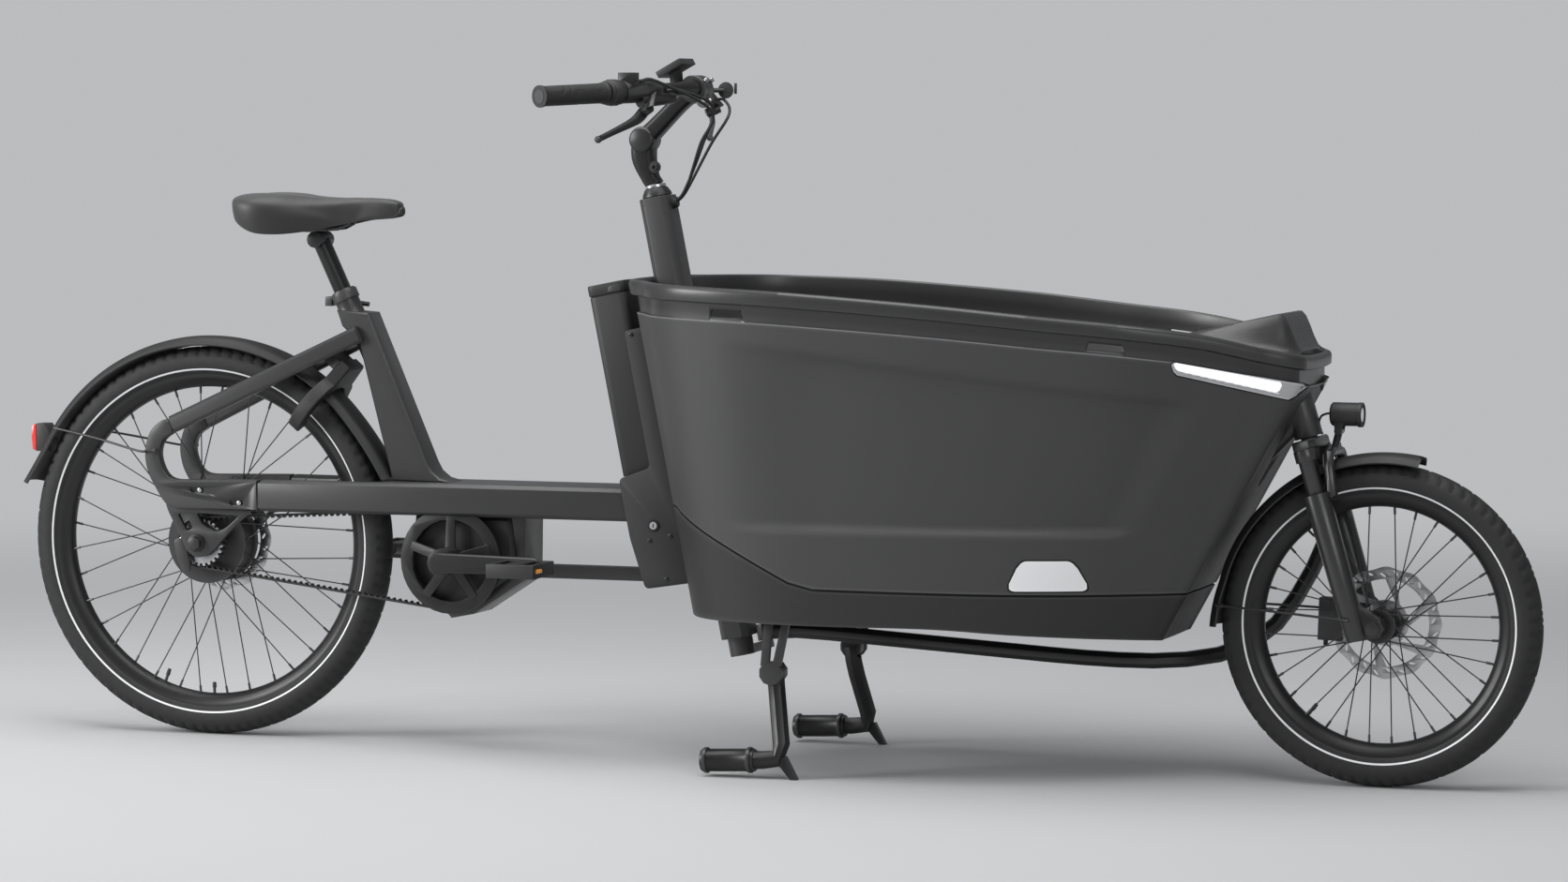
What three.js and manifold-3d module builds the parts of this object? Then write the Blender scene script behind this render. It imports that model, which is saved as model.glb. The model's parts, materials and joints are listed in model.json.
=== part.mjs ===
// Front-box electric cargo bike, built as an assembly of separate pieces.
// Millimetres. +X points forward, +Y to the rider's left, +Z up, the ground is z = 0.
// Places are worked out from the rear axle, and the whole is then moved so that
// the middle of its length stands over the origin.
import * as THREE from 'three';
import { mergeVertices } from 'three/addons/utils/BufferGeometryUtils.js';
import Module from 'manifold-3d';

const wasm = await Module();
wasm.setup();
const { Manifold, Mesh: SolidMesh } = wasm;

// Driving dimensions: wheels
const wheelBase = 2040;
const rearRadius = 334;
const frontRadius = 258;
const tyreWidth = 55;
const rimDepth = 25;
const rimWidth = 36;
const spokeRadius = 1.5;
const rearSpokes = 36;
const frontSpokes = 32;
const rearHubRadius = 66;
const frontHubRadius = 21;
const hubHalfWidth = 27;
const axleRadius = 7;
const discRadius = 90;
const discThickness = 2.4;

// Driving dimensions: frame
const stayHalfGap = 58;
const stayWidth = 19;
const beamRise = 112;
const beamDepth = 54;
const beamHalfWidth = 62;
const motorSetback = 130;
const crankDrop = 17;
const seatTubeWidth = 54;
const seatLean = THREE.MathUtils.degToRad(25.3);
const seatPostRadius = 15;

// Driving dimensions: drive
const beltPitch = 11;
const ringTeeth = 48;
const cogTeeth = 24;
const beltWidth = 12;
const crankLength = 170;
const crankWidth = 34;
const pedalLength = 84;
const pedalWidth = 92;
const pedalDepth = 23;

// Driving dimensions: steering column and handlebar
const columnTopX = 817;
const columnTopZ = 928;
const columnLean = THREE.MathUtils.degToRad(11.2);
const columnDepth = 50;
const columnWidth = 62;
const barHalfWidth = 335;
const barRadius = 15.9;
const gripRadius = 16.5;
const linkArm = 96;
const linkRadius = 13.5;

// Driving dimensions: fork
const forkLean = THREE.MathUtils.degToRad(16.5);
const forkOffset = 30;
const legHalfGap = 57;
const legRadius = 19;
const headTubeRadius = 23;
const headTubeLength = 76;

// Driving dimensions: battery tower
const packDepth = 60;
const packWidth = 116;
const packTopZ = 786;
const dockWall = 8;

// Driving dimensions: cargo box
const boxFloorZ = 318;
const boxBottomZ = 252;
const boxRimZ = 742;
const boxNoseZ = 640;
const boxHalfWidth = 300;
const boxBottomHalfWidth = 260;
const boxWall = 5;
const noseLean = THREE.MathUtils.degToRad(28.7);
const rimHeight = 44;

// Driving dimensions: stand
const standHalfWidth = 222;
const standPivotZ = 169;
const standTubeRadius = 16.5;

// Clearances
const seatGap = 0.4;
const runGap = 0.6;
const overrun = 3;

// Places worked out from the driving dimensions
const axleZ = rearRadius;
const beamTopZ = axleZ + beamRise;
const beamBottomZ = beamTopZ - beamDepth;
const crankX = rearRadius + motorSetback;
const crankZ = axleZ - crankDrop;
const forkTan = Math.tan(forkLean);
const crownZ = 2 * frontRadius + 32;
const crownX = wheelBase - forkOffset / Math.cos(forkLean) - (crownZ - frontRadius) * forkTan;
const columnX = (z) => columnTopX + (columnTopZ - z) * Math.tan(columnLean);

// Materials
const paint = (color, roughness, metalness = 0) =>
  new THREE.MeshStandardMaterial({ color, roughness, metalness });
const frameBlack = () => paint(0x2b2b2c, 0.5, 0.2);
const partBlack = () => paint(0x1b1b1c, 0.45, 0.2);
const plasticBlack = () => paint(0x232324, 0.65);
const panelGrey = () => paint(0x434344, 0.6);
const skirtGrey = () => paint(0x2c2c2d, 0.65);
const rubberBlack = () => paint(0x1d1d1d, 0.85);
const steelBright = () => paint(0xb4b4b2, 0.35, 0.9);
const lampWhite = () => paint(0xf2f2f0, 0.25);
const lampRed = () => paint(0xc01818, 0.3);

// Solids: geometry is turned into a closed solid, joined or cut, and turned back
function solid(geometry) {
  const bare = geometry.index ? geometry.toNonIndexed() : geometry.clone();
  bare.deleteAttribute('normal');
  bare.deleteAttribute('uv');
  const merged = mergeVertices(bare, weld);
  const triVerts = new Uint32Array(merged.index.array);
  const made = new Manifold(
    new SolidMesh({ numProp: 3, vertProperties: merged.attributes.position.array, triVerts }),
  );
  if (made.volume() >= 0) return made;
  for (let i = 0; i < triVerts.length; i += 3) {
    [triVerts[i + 1], triVerts[i + 2]] = [triVerts[i + 2], triVerts[i + 1]];
  }
  return new Manifold(
    new SolidMesh({ numProp: 3, vertProperties: merged.attributes.position.array, triVerts }),
  );
}
const weld = axleRadius / 5000;

function join(...parts) {
  return parts.reduce((sum, part) => sum.add(part));
}

function cut(body, ...tools) {
  return tools.reduce((rest, tool) => rest.subtract(tool), body);
}

function node(name, body, material, parent) {
  const raw = body.getMesh();
  const places = new Float32Array(raw.numVert * 3);
  for (let i = 0; i < raw.numVert; i += 1) {
    places.set(raw.vertProperties.subarray(i * raw.numProp, i * raw.numProp + 3), i * 3);
  }
  const geometry = new THREE.BufferGeometry();
  geometry.setAttribute('position', new THREE.BufferAttribute(places, 3));
  geometry.setIndex(new THREE.BufferAttribute(new Uint32Array(raw.triVerts), 1));
  geometry.computeVertexNormals();
  const mesh = new THREE.Mesh(geometry, material);
  mesh.name = name;
  parent.add(mesh);
  return mesh;
}

// Outlines: a list of points scaled along both directions, or a shape with holes
function outline(points, scaleA = 1, scaleB = 1) {
  return new THREE.Shape(points.map(([a, b]) => new THREE.Vector2(a * scaleA, b * scaleB)));
}

function ring(radius, sides = 24, centreA = 0, centreB = 0, turn = 0) {
  const points = [];
  for (let i = 0; i < sides; i += 1) {
    const angle = turn + (2 * Math.PI * i) / sides;
    points.push(new THREE.Vector2(centreA + radius * Math.cos(angle), centreB + radius * Math.sin(angle)));
  }
  return new THREE.Shape(points);
}

function extruded(shape, depth, bevel) {
  return new THREE.ExtrudeGeometry(shape, {
    depth: bevel ? depth - 2 * bevel : depth,
    bevelEnabled: Boolean(bevel),
    bevelSize: bevel,
    bevelThickness: bevel,
    bevelOffset: bevel ? -bevel : 0,
    bevelSegments: 1,
    curveSegments: 6,
    steps: 1,
  }).translate(0, 0, bevel || 0);
}

// A side outline (x, z) given width from y0 to y1
function side(shape, y0, y1, bevel = 0) {
  return solid(extruded(shape, y1 - y0, bevel).rotateX(Math.PI / 2).translate(0, y1, 0));
}

// A top outline (x, y) given height from z0 to z1
function plan(shape, z0, z1, bevel = 0) {
  return solid(extruded(shape, z1 - z0, bevel).translate(0, 0, z0));
}

// A front outline (y, z) given length from x0 to x1
function front(shape, x0, x1, bevel = 0) {
  return solid(extruded(shape, x1 - x0, bevel).rotateX(Math.PI / 2).rotateZ(Math.PI / 2).translate(x0, 0, 0));
}

function block(x0, x1, y0, y1, z0, z1) {
  return solid(
    new THREE.BoxGeometry(x1 - x0, y1 - y0, z1 - z0).translate((x0 + x1) / 2, (y0 + y1) / 2, (z0 + z1) / 2),
  );
}

const vec = (x, y, z) => new THREE.Vector3(x, y, z);

// A round bar between two points, with its own radius at each end
function bar(a, b, radius, sides = 12, endRadius = radius) {
  const length = a.distanceTo(b);
  const geometry = new THREE.CylinderGeometry(endRadius, radius, length, sides);
  const turn = new THREE.Quaternion().setFromUnitVectors(vec(0, 1, 0), b.clone().sub(a).normalize());
  geometry.applyQuaternion(turn);
  return solid(geometry.translate((a.x + b.x) / 2, (a.y + b.y) / 2, (a.z + b.z) / 2));
}

// A disc or barrel on an axle along Y
function barrel(radius, y0, y1, x = 0, z = 0, sides = 24) {
  return bar(vec(x, y0, z), vec(x, y1, z), radius, sides);
}

// A tube through points, with the corners rounded to the given radius
function bentPath(points, corner) {
  const path = new THREE.CurvePath();
  let from = points[0];
  for (let i = 1; i < points.length - 1; i += 1) {
    const into = points[i].clone().sub(points[i - 1]).normalize();
    const out = points[i + 1].clone().sub(points[i]).normalize();
    const enter = points[i].clone().addScaledVector(into, -corner);
    const leave = points[i].clone().addScaledVector(out, corner);
    path.add(new THREE.LineCurve3(from, enter));
    path.add(new THREE.QuadraticBezierCurve3(enter, points[i], leave));
    from = leave;
  }
  path.add(new THREE.LineCurve3(from, points[points.length - 1]));
  return path;
}

function pipe(path, radius, steps, sides = 10) {
  return solid(new THREE.ExtrudeGeometry(ring(radius, sides), { extrudePath: path, steps, bevelEnabled: false }));
}

// A solid through rings of points, closed at both ends
function loft(rings, mirrored = false) {
  const count = rings[0].length;
  const places = rings.flat().flatMap((p) => [p.x, p.y, p.z]);
  const faces = [];
  for (let r = 0; r < rings.length - 1; r += 1) {
    for (let i = 0; i < count; i += 1) {
      const a = r * count + i;
      const b = r * count + ((i + 1) % count);
      if (mirrored && i >= count / 2) faces.push(a, b, a + count, b, b + count, a + count);
      else faces.push(a, b, b + count, a, b + count, a + count);
    }
  }
  const capEnd = (ringIndex, reverse) => {
    const points = rings[ringIndex];
    const centre = points.reduce((sum, p) => sum.add(p), vec(0, 0, 0)).divideScalar(count);
    const normal = vec(0, 0, 0);
    points.forEach((p, i) => {
      const next = points[(i + 1) % count];
      normal.add(p.clone().sub(centre).cross(next.clone().sub(centre)));
    });
    normal.normalize();
    const across = points[0].clone().sub(centre);
    across.addScaledVector(normal, -across.dot(normal)).normalize();
    const up = normal.clone().cross(across);
    const flat = points.map((p) => {
      const d = p.clone().sub(centre);
      return new THREE.Vector2(d.dot(across), d.dot(up));
    });
    for (const [a, b, c] of THREE.ShapeUtils.triangulateShape(flat, [])) {
      const wound = THREE.ShapeUtils.area([flat[a], flat[b], flat[c]]) > 0;
      const face = [a, b, c].map((i) => ringIndex * count + i);
      faces.push(...(wound === reverse ? face.reverse() : face));
    }
  };
  capEnd(0, true);
  capEnd(rings.length - 1, false);
  const geometry = new THREE.BufferGeometry();
  geometry.setAttribute('position', new THREE.Float32BufferAttribute(places, 3));
  geometry.setIndex(faces);
  return solid(geometry);
}

// A round tube along a curve whose radius changes along its length
function taperPipe(curve, radiusAt, steps, sides = 8) {
  const frames = curve.computeFrenetFrames(steps, false);
  const rings = [];
  for (let i = 0; i <= steps; i += 1) {
    const centre = curve.getPointAt(i / steps);
    const radius = radiusAt(i / steps);
    const points = [];
    for (let k = 0; k < sides; k += 1) {
      const angle = (2 * Math.PI * (k + 0.5)) / sides;
      points.push(
        centre
          .clone()
          .addScaledVector(frames.normals[i], radius * Math.cos(angle))
          .addScaledVector(frames.binormals[i], radius * Math.sin(angle)),
      );
    }
    rings.push(points);
  }
  return loft(rings);
}

const smooth = (...points) => new THREE.CatmullRomCurve3(points);

// A mudguard blade: a crowned section swept round the axle from one angle to another
function blade(radiusAt, halfWidth, thickness, startDeg, endDeg, steps) {
  const crown = [[-1, -0.42], [-0.7, -0.09], [0, 0], [0.7, -0.09], [1, -0.42]];
  const rings = [];
  for (let i = 0; i <= steps; i += 1) {
    const share = i / steps;
    const angle = THREE.MathUtils.degToRad(startDeg + (endDeg - startDeg) * share);
    const radius = radiusAt(share);
    const at = (r, y) => vec(r * Math.cos(angle), y, r * Math.sin(angle));
    const outer = crown.map(([y, drop]) => at(radius + drop * halfWidth, y * halfWidth));
    const inner = crown.map(([y, drop]) => at(radius + drop * halfWidth - thickness, y * (halfWidth - thickness / 2)));
    rings.push([...outer, ...inner.reverse()]);
  }
  return loft(rings);
}

// A block or outline turned about the Y axis and moved to a place
const placedAt = (geometry, lean, x, z) => solid(geometry.rotateY(lean).translate(x, 0, z));

// A solid of a turned group's frame, moved to where the group stands
function placedAtGroup(body, place) {
  const degrees = THREE.MathUtils.radToDeg(place.rotation.y);
  return body.rotate([0, degrees, 0]).translate(place.position.toArray());
}

// A solid of the bike's frame, moved into a turned group's own frame
function takenIntoGroup(body, place) {
  const degrees = THREE.MathUtils.radToDeg(place.rotation.y);
  return body.translate(place.position.clone().negate().toArray()).rotate([0, -degrees, 0]);
}

// A turned piece about the Y axis from a profile of (radius, y) points
function turned(profile, segments = 32) {
  const points = profile.map(([r, y]) => new THREE.Vector2(r, y));
  return solid(new THREE.LatheGeometry(points, segments));
}

// A square-cornered box section between two side-view points, for frame tubes
function stay(from, to, depthFrom, depthTo, widthFrom, widthTo, grow = 0) {
  const along = to.clone().sub(from).normalize();
  const across = vec(0, 1, 0).cross(along).normalize();
  const chamferShare = 0.28;
  const ringAt = (centre, depth, width) => {
    const d = depth / 2 + grow;
    const w = width / 2 + grow;
    const c = Math.min(depth, width) * chamferShare;
    const corners = [[-d + c, -w], [d - c, -w], [d, -w + c], [d, w - c], [d - c, w], [-d + c, w], [-d, w - c], [-d, -w + c]];
    return corners.map(([a, y]) => centre.clone().addScaledVector(across, a).add(vec(0, y, 0)));
  };
  return loft([ringAt(from, depthFrom, widthFrom), ringAt(to, depthTo, widthTo)]);
}

// Two distances from the middle plane, on one side of it, in rising order
const span = (sign, near, far) => [sign * near, sign * far].sort((a, b) => a - b);

const bike = new THREE.Group();
const group = (x, y, z, lean = 0, parent = bike) => {
  const made = new THREE.Group();
  made.position.set(x, y, z);
  made.rotation.y = lean;
  parent.add(made);
  return made;
};

const driverRadius = 17;
const boreSides = 12;
// A bore whose flats stay clear of a pin of this radius at every turn
const clearBore = (radius, gap) => (radius + gap) / Math.cos(Math.PI / boreSides);

// Wheels: tyre, wheel built from rim, laced spokes and hub, and brake disc
function wheel(name, spec) {
  const place = group(spec.x, 0, spec.radius);
  const seatRadius = spec.radius - tyreWidth * 0.8;
  const innerRadius = seatRadius - rimDepth;
  const half = tyreWidth / 2;
  const bead = rimWidth / 2;
  const tyreShares = [[0, 0.62], [0.25, 0.93], [0.5, 1], [0.8, 0.76], [1, 0.22]];
  const wallDepth = spec.radius - seatRadius - seatGap;
  const wall = tyreShares.map(([up, out]) => [spec.radius - wallDepth * (1 - up), half * out]);
  const tyreProfile = [...wall, ...wall.slice().reverse().map(([r, y]) => [r, -y])];
  tyreProfile.push(tyreProfile[0]);
  node(`${name}_tyre`, turned(tyreProfile, spec.facets), rubberBlack(), place);

  const rimProfile = [
    [innerRadius, -bead * 0.5],
    [seatRadius - rimDepth * 0.45, -bead],
    [seatRadius, -bead],
    [seatRadius, bead],
    [seatRadius - rimDepth * 0.45, bead],
    [innerRadius, bead * 0.5],
  ];
  rimProfile.push(rimProfile[0]);
  const parts = [turned(rimProfile, spec.facets)];
  const flange = spec.hubRadius + spokeRadius * 4;
  const flangeWidth = spokeRadius * 4.4;
  const shell = [
    [0, -hubHalfWidth],
    [flange, -hubHalfWidth],
    [flange, -hubHalfWidth + flangeWidth],
    [spec.hubRadius, -hubHalfWidth + flangeWidth * 2],
    [spec.hubRadius, hubHalfWidth - flangeWidth * 2],
    [flange, hubHalfWidth - flangeWidth],
    [flange, hubHalfWidth],
    [0, hubHalfWidth],
  ];
  parts.push(turned(shell, 12));
  parts.push(barrel(axleRadius, -spec.axleHalf, spec.axleHalf, 0, 0, 10));
  parts.push(barrel(spec.bossRadius, hubHalfWidth - overrun, spec.discY + discThickness / 2 + seatGap, 0, 0, 12));
  if (spec.driver) parts.push(barrel(driverRadius, -hubHalfWidth - beltWidth * 1.9, -hubHalfWidth + overrun, 0, 0, 12));
  const spokeEnd = innerRadius + rimDepth * 0.3;
  for (let i = 0; i < spec.spokes; i += 1) {
    const sideSign = i % 2 ? 1 : -1;
    const lace = i % 4 < 2 ? 1 : -1;
    const rimAngle = (2 * Math.PI * (i + 0.5)) / spec.spokes;
    const hubAngle = rimAngle + lace * spec.laceAngle;
    const inner = spec.hubRadius + spokeRadius;
    const y = sideSign * (hubHalfWidth - flangeWidth * (0.5 - lace * 0.26));
    const from = vec(inner * Math.cos(hubAngle), y, inner * Math.sin(hubAngle));
    const to = vec(spokeEnd * Math.cos(rimAngle), sideSign * bead * 0.2, spokeEnd * Math.sin(rimAngle));
    parts.push(bar(from, to, spokeRadius, 3));
  }
  node(`${name}_wheel`, join(...parts), partBlack(), place);
  node(`${name}_disc`, brakeDisc(spec.bossRadius, spec.discY), steelBright(), place);
  return place;
}

// Brake disc with a wavy edge, a carrier of five arms and vents
function brakeDisc(boss, y) {
  const waves = 12;
  const edge = [];
  for (let i = 0; i < waves * 2; i += 1) {
    const angle = (2 * Math.PI * i) / (waves * 2);
    const radius = discRadius * (i % 2 === 0 ? 0.96 : 1);
    edge.push(new THREE.Vector2(radius * Math.cos(angle), radius * Math.sin(angle)));
  }
  const shape = new THREE.Shape(edge);
  shape.holes.push(ring(boss + seatGap, 12));
  const arms = 5;
  const armShare = 0.16;
  const windowIn = discRadius * 0.36;
  const windowOut = discRadius * 0.76;
  for (let i = 0; i < arms; i += 1) {
    const start = (2 * Math.PI * (i + armShare)) / arms;
    const end = (2 * Math.PI * (i + 1 - armShare)) / arms;
    const twist = Math.PI / arms / 2;
    const points = [];
    for (let k = 0; k <= 4; k += 1) {
      const angle = start + ((end - start) * k) / 4 + twist;
      points.push(new THREE.Vector2(windowOut * Math.cos(angle), windowOut * Math.sin(angle)));
    }
    for (let k = 2; k >= 0; k -= 1) {
      const angle = start + ((end - start) * k) / 2;
      points.push(new THREE.Vector2(windowIn * Math.cos(angle), windowIn * Math.sin(angle)));
    }
    shape.holes.push(new THREE.Shape(points));
  }
  for (let i = 0; i < waves; i += 2) {
    const angle = (2 * Math.PI * (i + 0.5)) / waves;
    const radius = discRadius * 0.87;
    shape.holes.push(ring(discRadius * 0.045, 4, radius * Math.cos(angle), radius * Math.sin(angle), angle));
  }
  return side(shape, y - discThickness / 2, y + discThickness / 2);
}

const rearDiscY = hubHalfWidth + 14;
const frontDiscY = hubHalfWidth + 8;
const rearPlace = wheel('rear', {
  x: 0,
  radius: rearRadius,
  facets: rearSpokes,
  spokes: rearSpokes,
  hubRadius: rearHubRadius,
  laceAngle: 0.42,
  bossRadius: 24,
  axleHalf: stayHalfGap + stayWidth * 0.4,
  driver: true,
  discY: rearDiscY,
});
wheel('front', {
  x: wheelBase,
  radius: frontRadius,
  facets: frontSpokes,
  spokes: frontSpokes,
  hubRadius: frontHubRadius,
  laceAngle: 0.95,
  bossRadius: 20,
  axleHalf: legHalfGap - legRadius * 0.2,
  driver: false,
  discY: frontDiscY,
});

// Belt drive: toothed belt, ring and cog, all from the same pitch
const ringRadius = (ringTeeth * beltPitch) / (2 * Math.PI);
const guardRingRadius = ringRadius + beltPitch * 0.55;
const cogRadius = (cogTeeth * beltPitch) / (2 * Math.PI);
const toothHeight = beltPitch * 0.34;
const beltBack = beltPitch * 0.22;
const toothGap = beltPitch * 0.09;
const beltY = -(hubHalfWidth + 16);

// Toothed wheel outline: a land between each pair of grooves
function cogOutline(teeth, radius) {
  const points = [];
  const lands = [[-0.5, 0], [-0.29, 0], [-0.17, 1], [0.17, 1], [0.29, 0]];
  for (let i = 0; i < teeth; i += 1) {
    for (const [share, down] of lands.slice(1)) {
      const angle = (2 * Math.PI * (i + share)) / teeth;
      const r = radius - toothGap - down * (toothHeight + toothGap);
      points.push(new THREE.Vector2(r * Math.cos(angle), r * Math.sin(angle)));
    }
  }
  return new THREE.Shape(points);
}

// Belt outline: the smooth back outside, trapezoid teeth inside, in step with both wheels
function beltSolid() {
  const dx = crankX;
  const dz = crankZ - axleZ;
  const centres = Math.hypot(dx, dz);
  const tilt = Math.atan2(dz, dx);
  const wrap = Math.asin((ringRadius - cogRadius) / centres);
  const upAngle = tilt + Math.PI / 2 + wrap;
  const downAngle = tilt - Math.PI / 2 - wrap;
  const ringCentre = new THREE.Vector2(crankX, crankZ);
  const cogCentre = new THREE.Vector2(0, axleZ);
  const inside = [];
  const outside = [];
  const on = (centre, radius, angle) =>
    new THREE.Vector2(centre.x + radius * Math.cos(angle), centre.y + radius * Math.sin(angle));
  const toothShares = [[-0.2, 0], [0, 1], [0.2, 0]];
  const arc = (centre, radius, teeth, startAngle, endAngle) => {
    const pitchAngle = (2 * Math.PI) / teeth;
    const first = Math.ceil(startAngle / pitchAngle);
    const last = Math.floor(endAngle / pitchAngle);
    for (let i = first; i <= last; i += 1) {
      for (const [share, down] of toothShares) {
        inside.push(on(centre, radius - down * toothHeight, (i + share) * pitchAngle));
      }
    }
    const steps = Math.round(teeth / 3);
    for (let i = 0; i <= steps; i += 1) {
      outside.push(on(centre, radius + beltBack, startAngle + ((endAngle - startAngle) * i) / steps));
    }
    return [first * pitchAngle, last * pitchAngle];
  };
  const straight = (from, to, inward) => {
    const span = from.distanceTo(to);
    const count = Math.round(span / beltPitch);
    const along = to.clone().sub(from).divideScalar(span);
    for (let i = 1; i < count; i += 1) {
      for (const [share, down] of toothShares) {
        const distance = ((i + share) * span) / count;
        inside.push(from.clone().addScaledVector(along, distance).addScaledVector(inward, down * toothHeight));
      }
    }
  };
  const ringTurns = arc(ringCentre, ringRadius, ringTeeth, downAngle, upAngle);
  const cogSpan = [upAngle, downAngle + 2 * Math.PI];
  const cogPitch = (2 * Math.PI) / cogTeeth;
  const cogFirst = Math.ceil(cogSpan[0] / cogPitch) * cogPitch;
  const ringEnd = on(ringCentre, ringRadius, ringTurns[1]);
  const topInward = new THREE.Vector2(-Math.cos(upAngle), -Math.sin(upAngle));
  straight(ringEnd, on(cogCentre, cogRadius, cogFirst), topInward);
  const cogTurns = arc(cogCentre, cogRadius, cogTeeth, cogSpan[0], cogSpan[1]);
  const lowInward = new THREE.Vector2(-Math.cos(downAngle), -Math.sin(downAngle));
  straight(on(cogCentre, cogRadius, cogTurns[1]), on(ringCentre, ringRadius, ringTurns[0]), lowInward);
  const shape = new THREE.Shape(outside);
  shape.holes.push(new THREE.Path(inside));
  return side(shape, beltY - beltWidth / 2, beltY + beltWidth / 2);
}

node('belt', beltSolid(), rubberBlack(), bike);

const cogShape = cogOutline(cogTeeth, cogRadius);
cogShape.holes.push(ring(clearBore(driverRadius, seatGap), boreSides));
node('rear_cog', side(cogShape, beltY - beltWidth / 2, beltY + beltWidth / 2), steelBright(), rearPlace);

// Rear frame: points are shares of the rear wheel's radius, measured from its axle
const stayOuter = stayHalfGap + stayWidth;
const fromAxle = (points) => points.map(([a, b]) => [a * rearRadius, axleZ + b * rearRadius]);
const stayDepth = 29;
const plateThickness = 8;
const loopShares = [
  [-0.145, 0.646], [-0.213, 0.606], [-0.253, 0.56], [-0.279, 0.461], [-0.26, 0.356], [-0.213, 0.278],
  [-0.165, 0.2], [-0.11, 0.176], [0.36, 0.174], [0.36, 0.335], [-0.12, 0.325], [-0.165, 0.36],
  [-0.198, 0.445], [-0.182, 0.515], [-0.152, 0.545], [-0.107, 0.568],
];
const plateShares = [
  [-0.18, 0.23], [0.335, 0.19], [0.228, 0.11], [0.108, -0.02], [0.06, -0.06], [0, -0.078], [-0.055, -0.045],
  [-0.09, 0.03], [-0.165, 0.17],
];
const slotShares = [[-0.105, 0.15], [-0.06, 0.15], [-0.02, 0.075], [-0.055, 0.06]];
const windowShares = [[0, 0.155], [0.24, 0.145], [0.17, 0.085], [0.115, 0.06], [0.065, 0.08], [0.03, 0.1]];
const guardShares = [[-0.135, 0.015], [-0.07, 0.03], [-0.04, -0.15], [-0.08, -0.155], [-0.12, -0.075]];

function stayCasting(name, sign) {
  const loopY = span(sign, stayHalfGap, stayOuter);
  const plateY = span(sign, stayHalfGap, stayHalfGap + plateThickness);
  const loop = side(outline(fromAxle(loopShares)), loopY[0], loopY[1]);
  const openings = [slotShares, windowShares].map((shares) =>
    side(outline(fromAxle(shares)), plateY[0] - overrun, plateY[1] + overrun),
  );
  const plate = cut(side(outline(fromAxle(plateShares)), plateY[0], plateY[1]), ...openings);
  const nutLength = 13;
  const nutEnd = stayHalfGap + plateThickness + nutLength;
  const nut = bar(vec(0, sign * stayHalfGap, axleZ), vec(0, sign * nutEnd, axleZ), axleRadius * 1.9, 6);
  const washer = barrel(axleRadius * 2.4, sign * stayHalfGap, sign * (nutEnd - nutLength * 0.6), 0, axleZ, 12);
  const boreEnd = stayHalfGap + plateThickness + seatGap;
  const bore = barrel(axleRadius + seatGap, sign * (stayHalfGap - overrun), sign * boreEnd, 0, axleZ, 12);
  const parts = [loop, plate, nut, washer];
  if (sign < 0) parts.push(side(outline(fromAxle(guardShares)), plateY[0], plateY[1]));
  const slotBolts = [[0.02, 0.275], [0.24, 0.215]];
  let body = join(...parts);
  for (const [a, b] of slotBolts) {
    const x = a * rearRadius;
    const z = axleZ + b * rearRadius;
    const slotLength = 26;
    const slotRadius = 5;
    const slotY = span(sign, stayOuter - slotRadius, stayOuter + overrun);
    const slot = block(x - slotLength / 2, x + slotLength / 2, slotY[0], slotY[1], z - slotRadius, z + slotRadius);
    body = join(cut(body, slot), barrel(slotRadius * 0.7, sign * stayHalfGap, sign * (stayOuter - 1), x + slotRadius, z, 8));
  }
  node(name, cut(body, bore), frameBlack(), bike);
}
stayCasting('stay_casting_right', -1);
stayCasting('stay_casting_left', 1);

// Main beam: forked round the rear wheel, with the motor cradle and the lower brace welded on
const tower = { lean: -columnLean, x: 0, z: 0 };
tower.z = beamTopZ + 16;
const wallOffset = columnDepth / 2 + boxWall + 1;
const rearWallX = (z) => columnX(z) - wallOffset;
const dockFront = packDepth / 2 + seatGap + 34;
tower.x = rearWallX(tower.z) - (dockFront + seatGap) / Math.cos(columnLean);
const dockRear = -(packDepth / 2 + dockWall);
const seamX = rearRadius * 0.36;
const beamStartX = seamX + seatGap;
const forkEndX = rearRadius + 19;
const beamEndX = tower.x;
const motorShares = [
  [-0.82, 0.84], [1.13, 0.84], [1.22, 0.12], [1.15, -0.3], [0.36, -0.84], [0, -0.94], [-0.47, -0.8],
  [-0.8, -0.41], [-0.92, 0],
];
const cradleShares = [[0.9, 0.95], [1.42, 0.95], [1.4, -0.35], [0.35, -1.03], [-0.1, -1.12], [-0.3, -0.9], [0.3, -0.4]];
const motorSize = beamBottomZ - crankZ - seatGap;
const motorUnit = motorSize / 0.84;
const motorOutline = (grow = 0) =>
  outline(motorShares.map(([a, b]) => {
    const k = motorUnit * (1 + grow / motorUnit);
    return [crankX + a * k, crankZ + b * k];
  }));
const motorRight = -(hubHalfWidth + 7);
const motorLeft = beamHalfWidth - 4;

function towerCutter() {
  const reach = packTopZ;
  return placedAt(
    new THREE.BoxGeometry(reach, reach, reach * 2).translate(dockRear - seatGap + reach / 2, 0, 0),
    tower.lean,
    tower.x,
    tower.z,
  );
}

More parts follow.
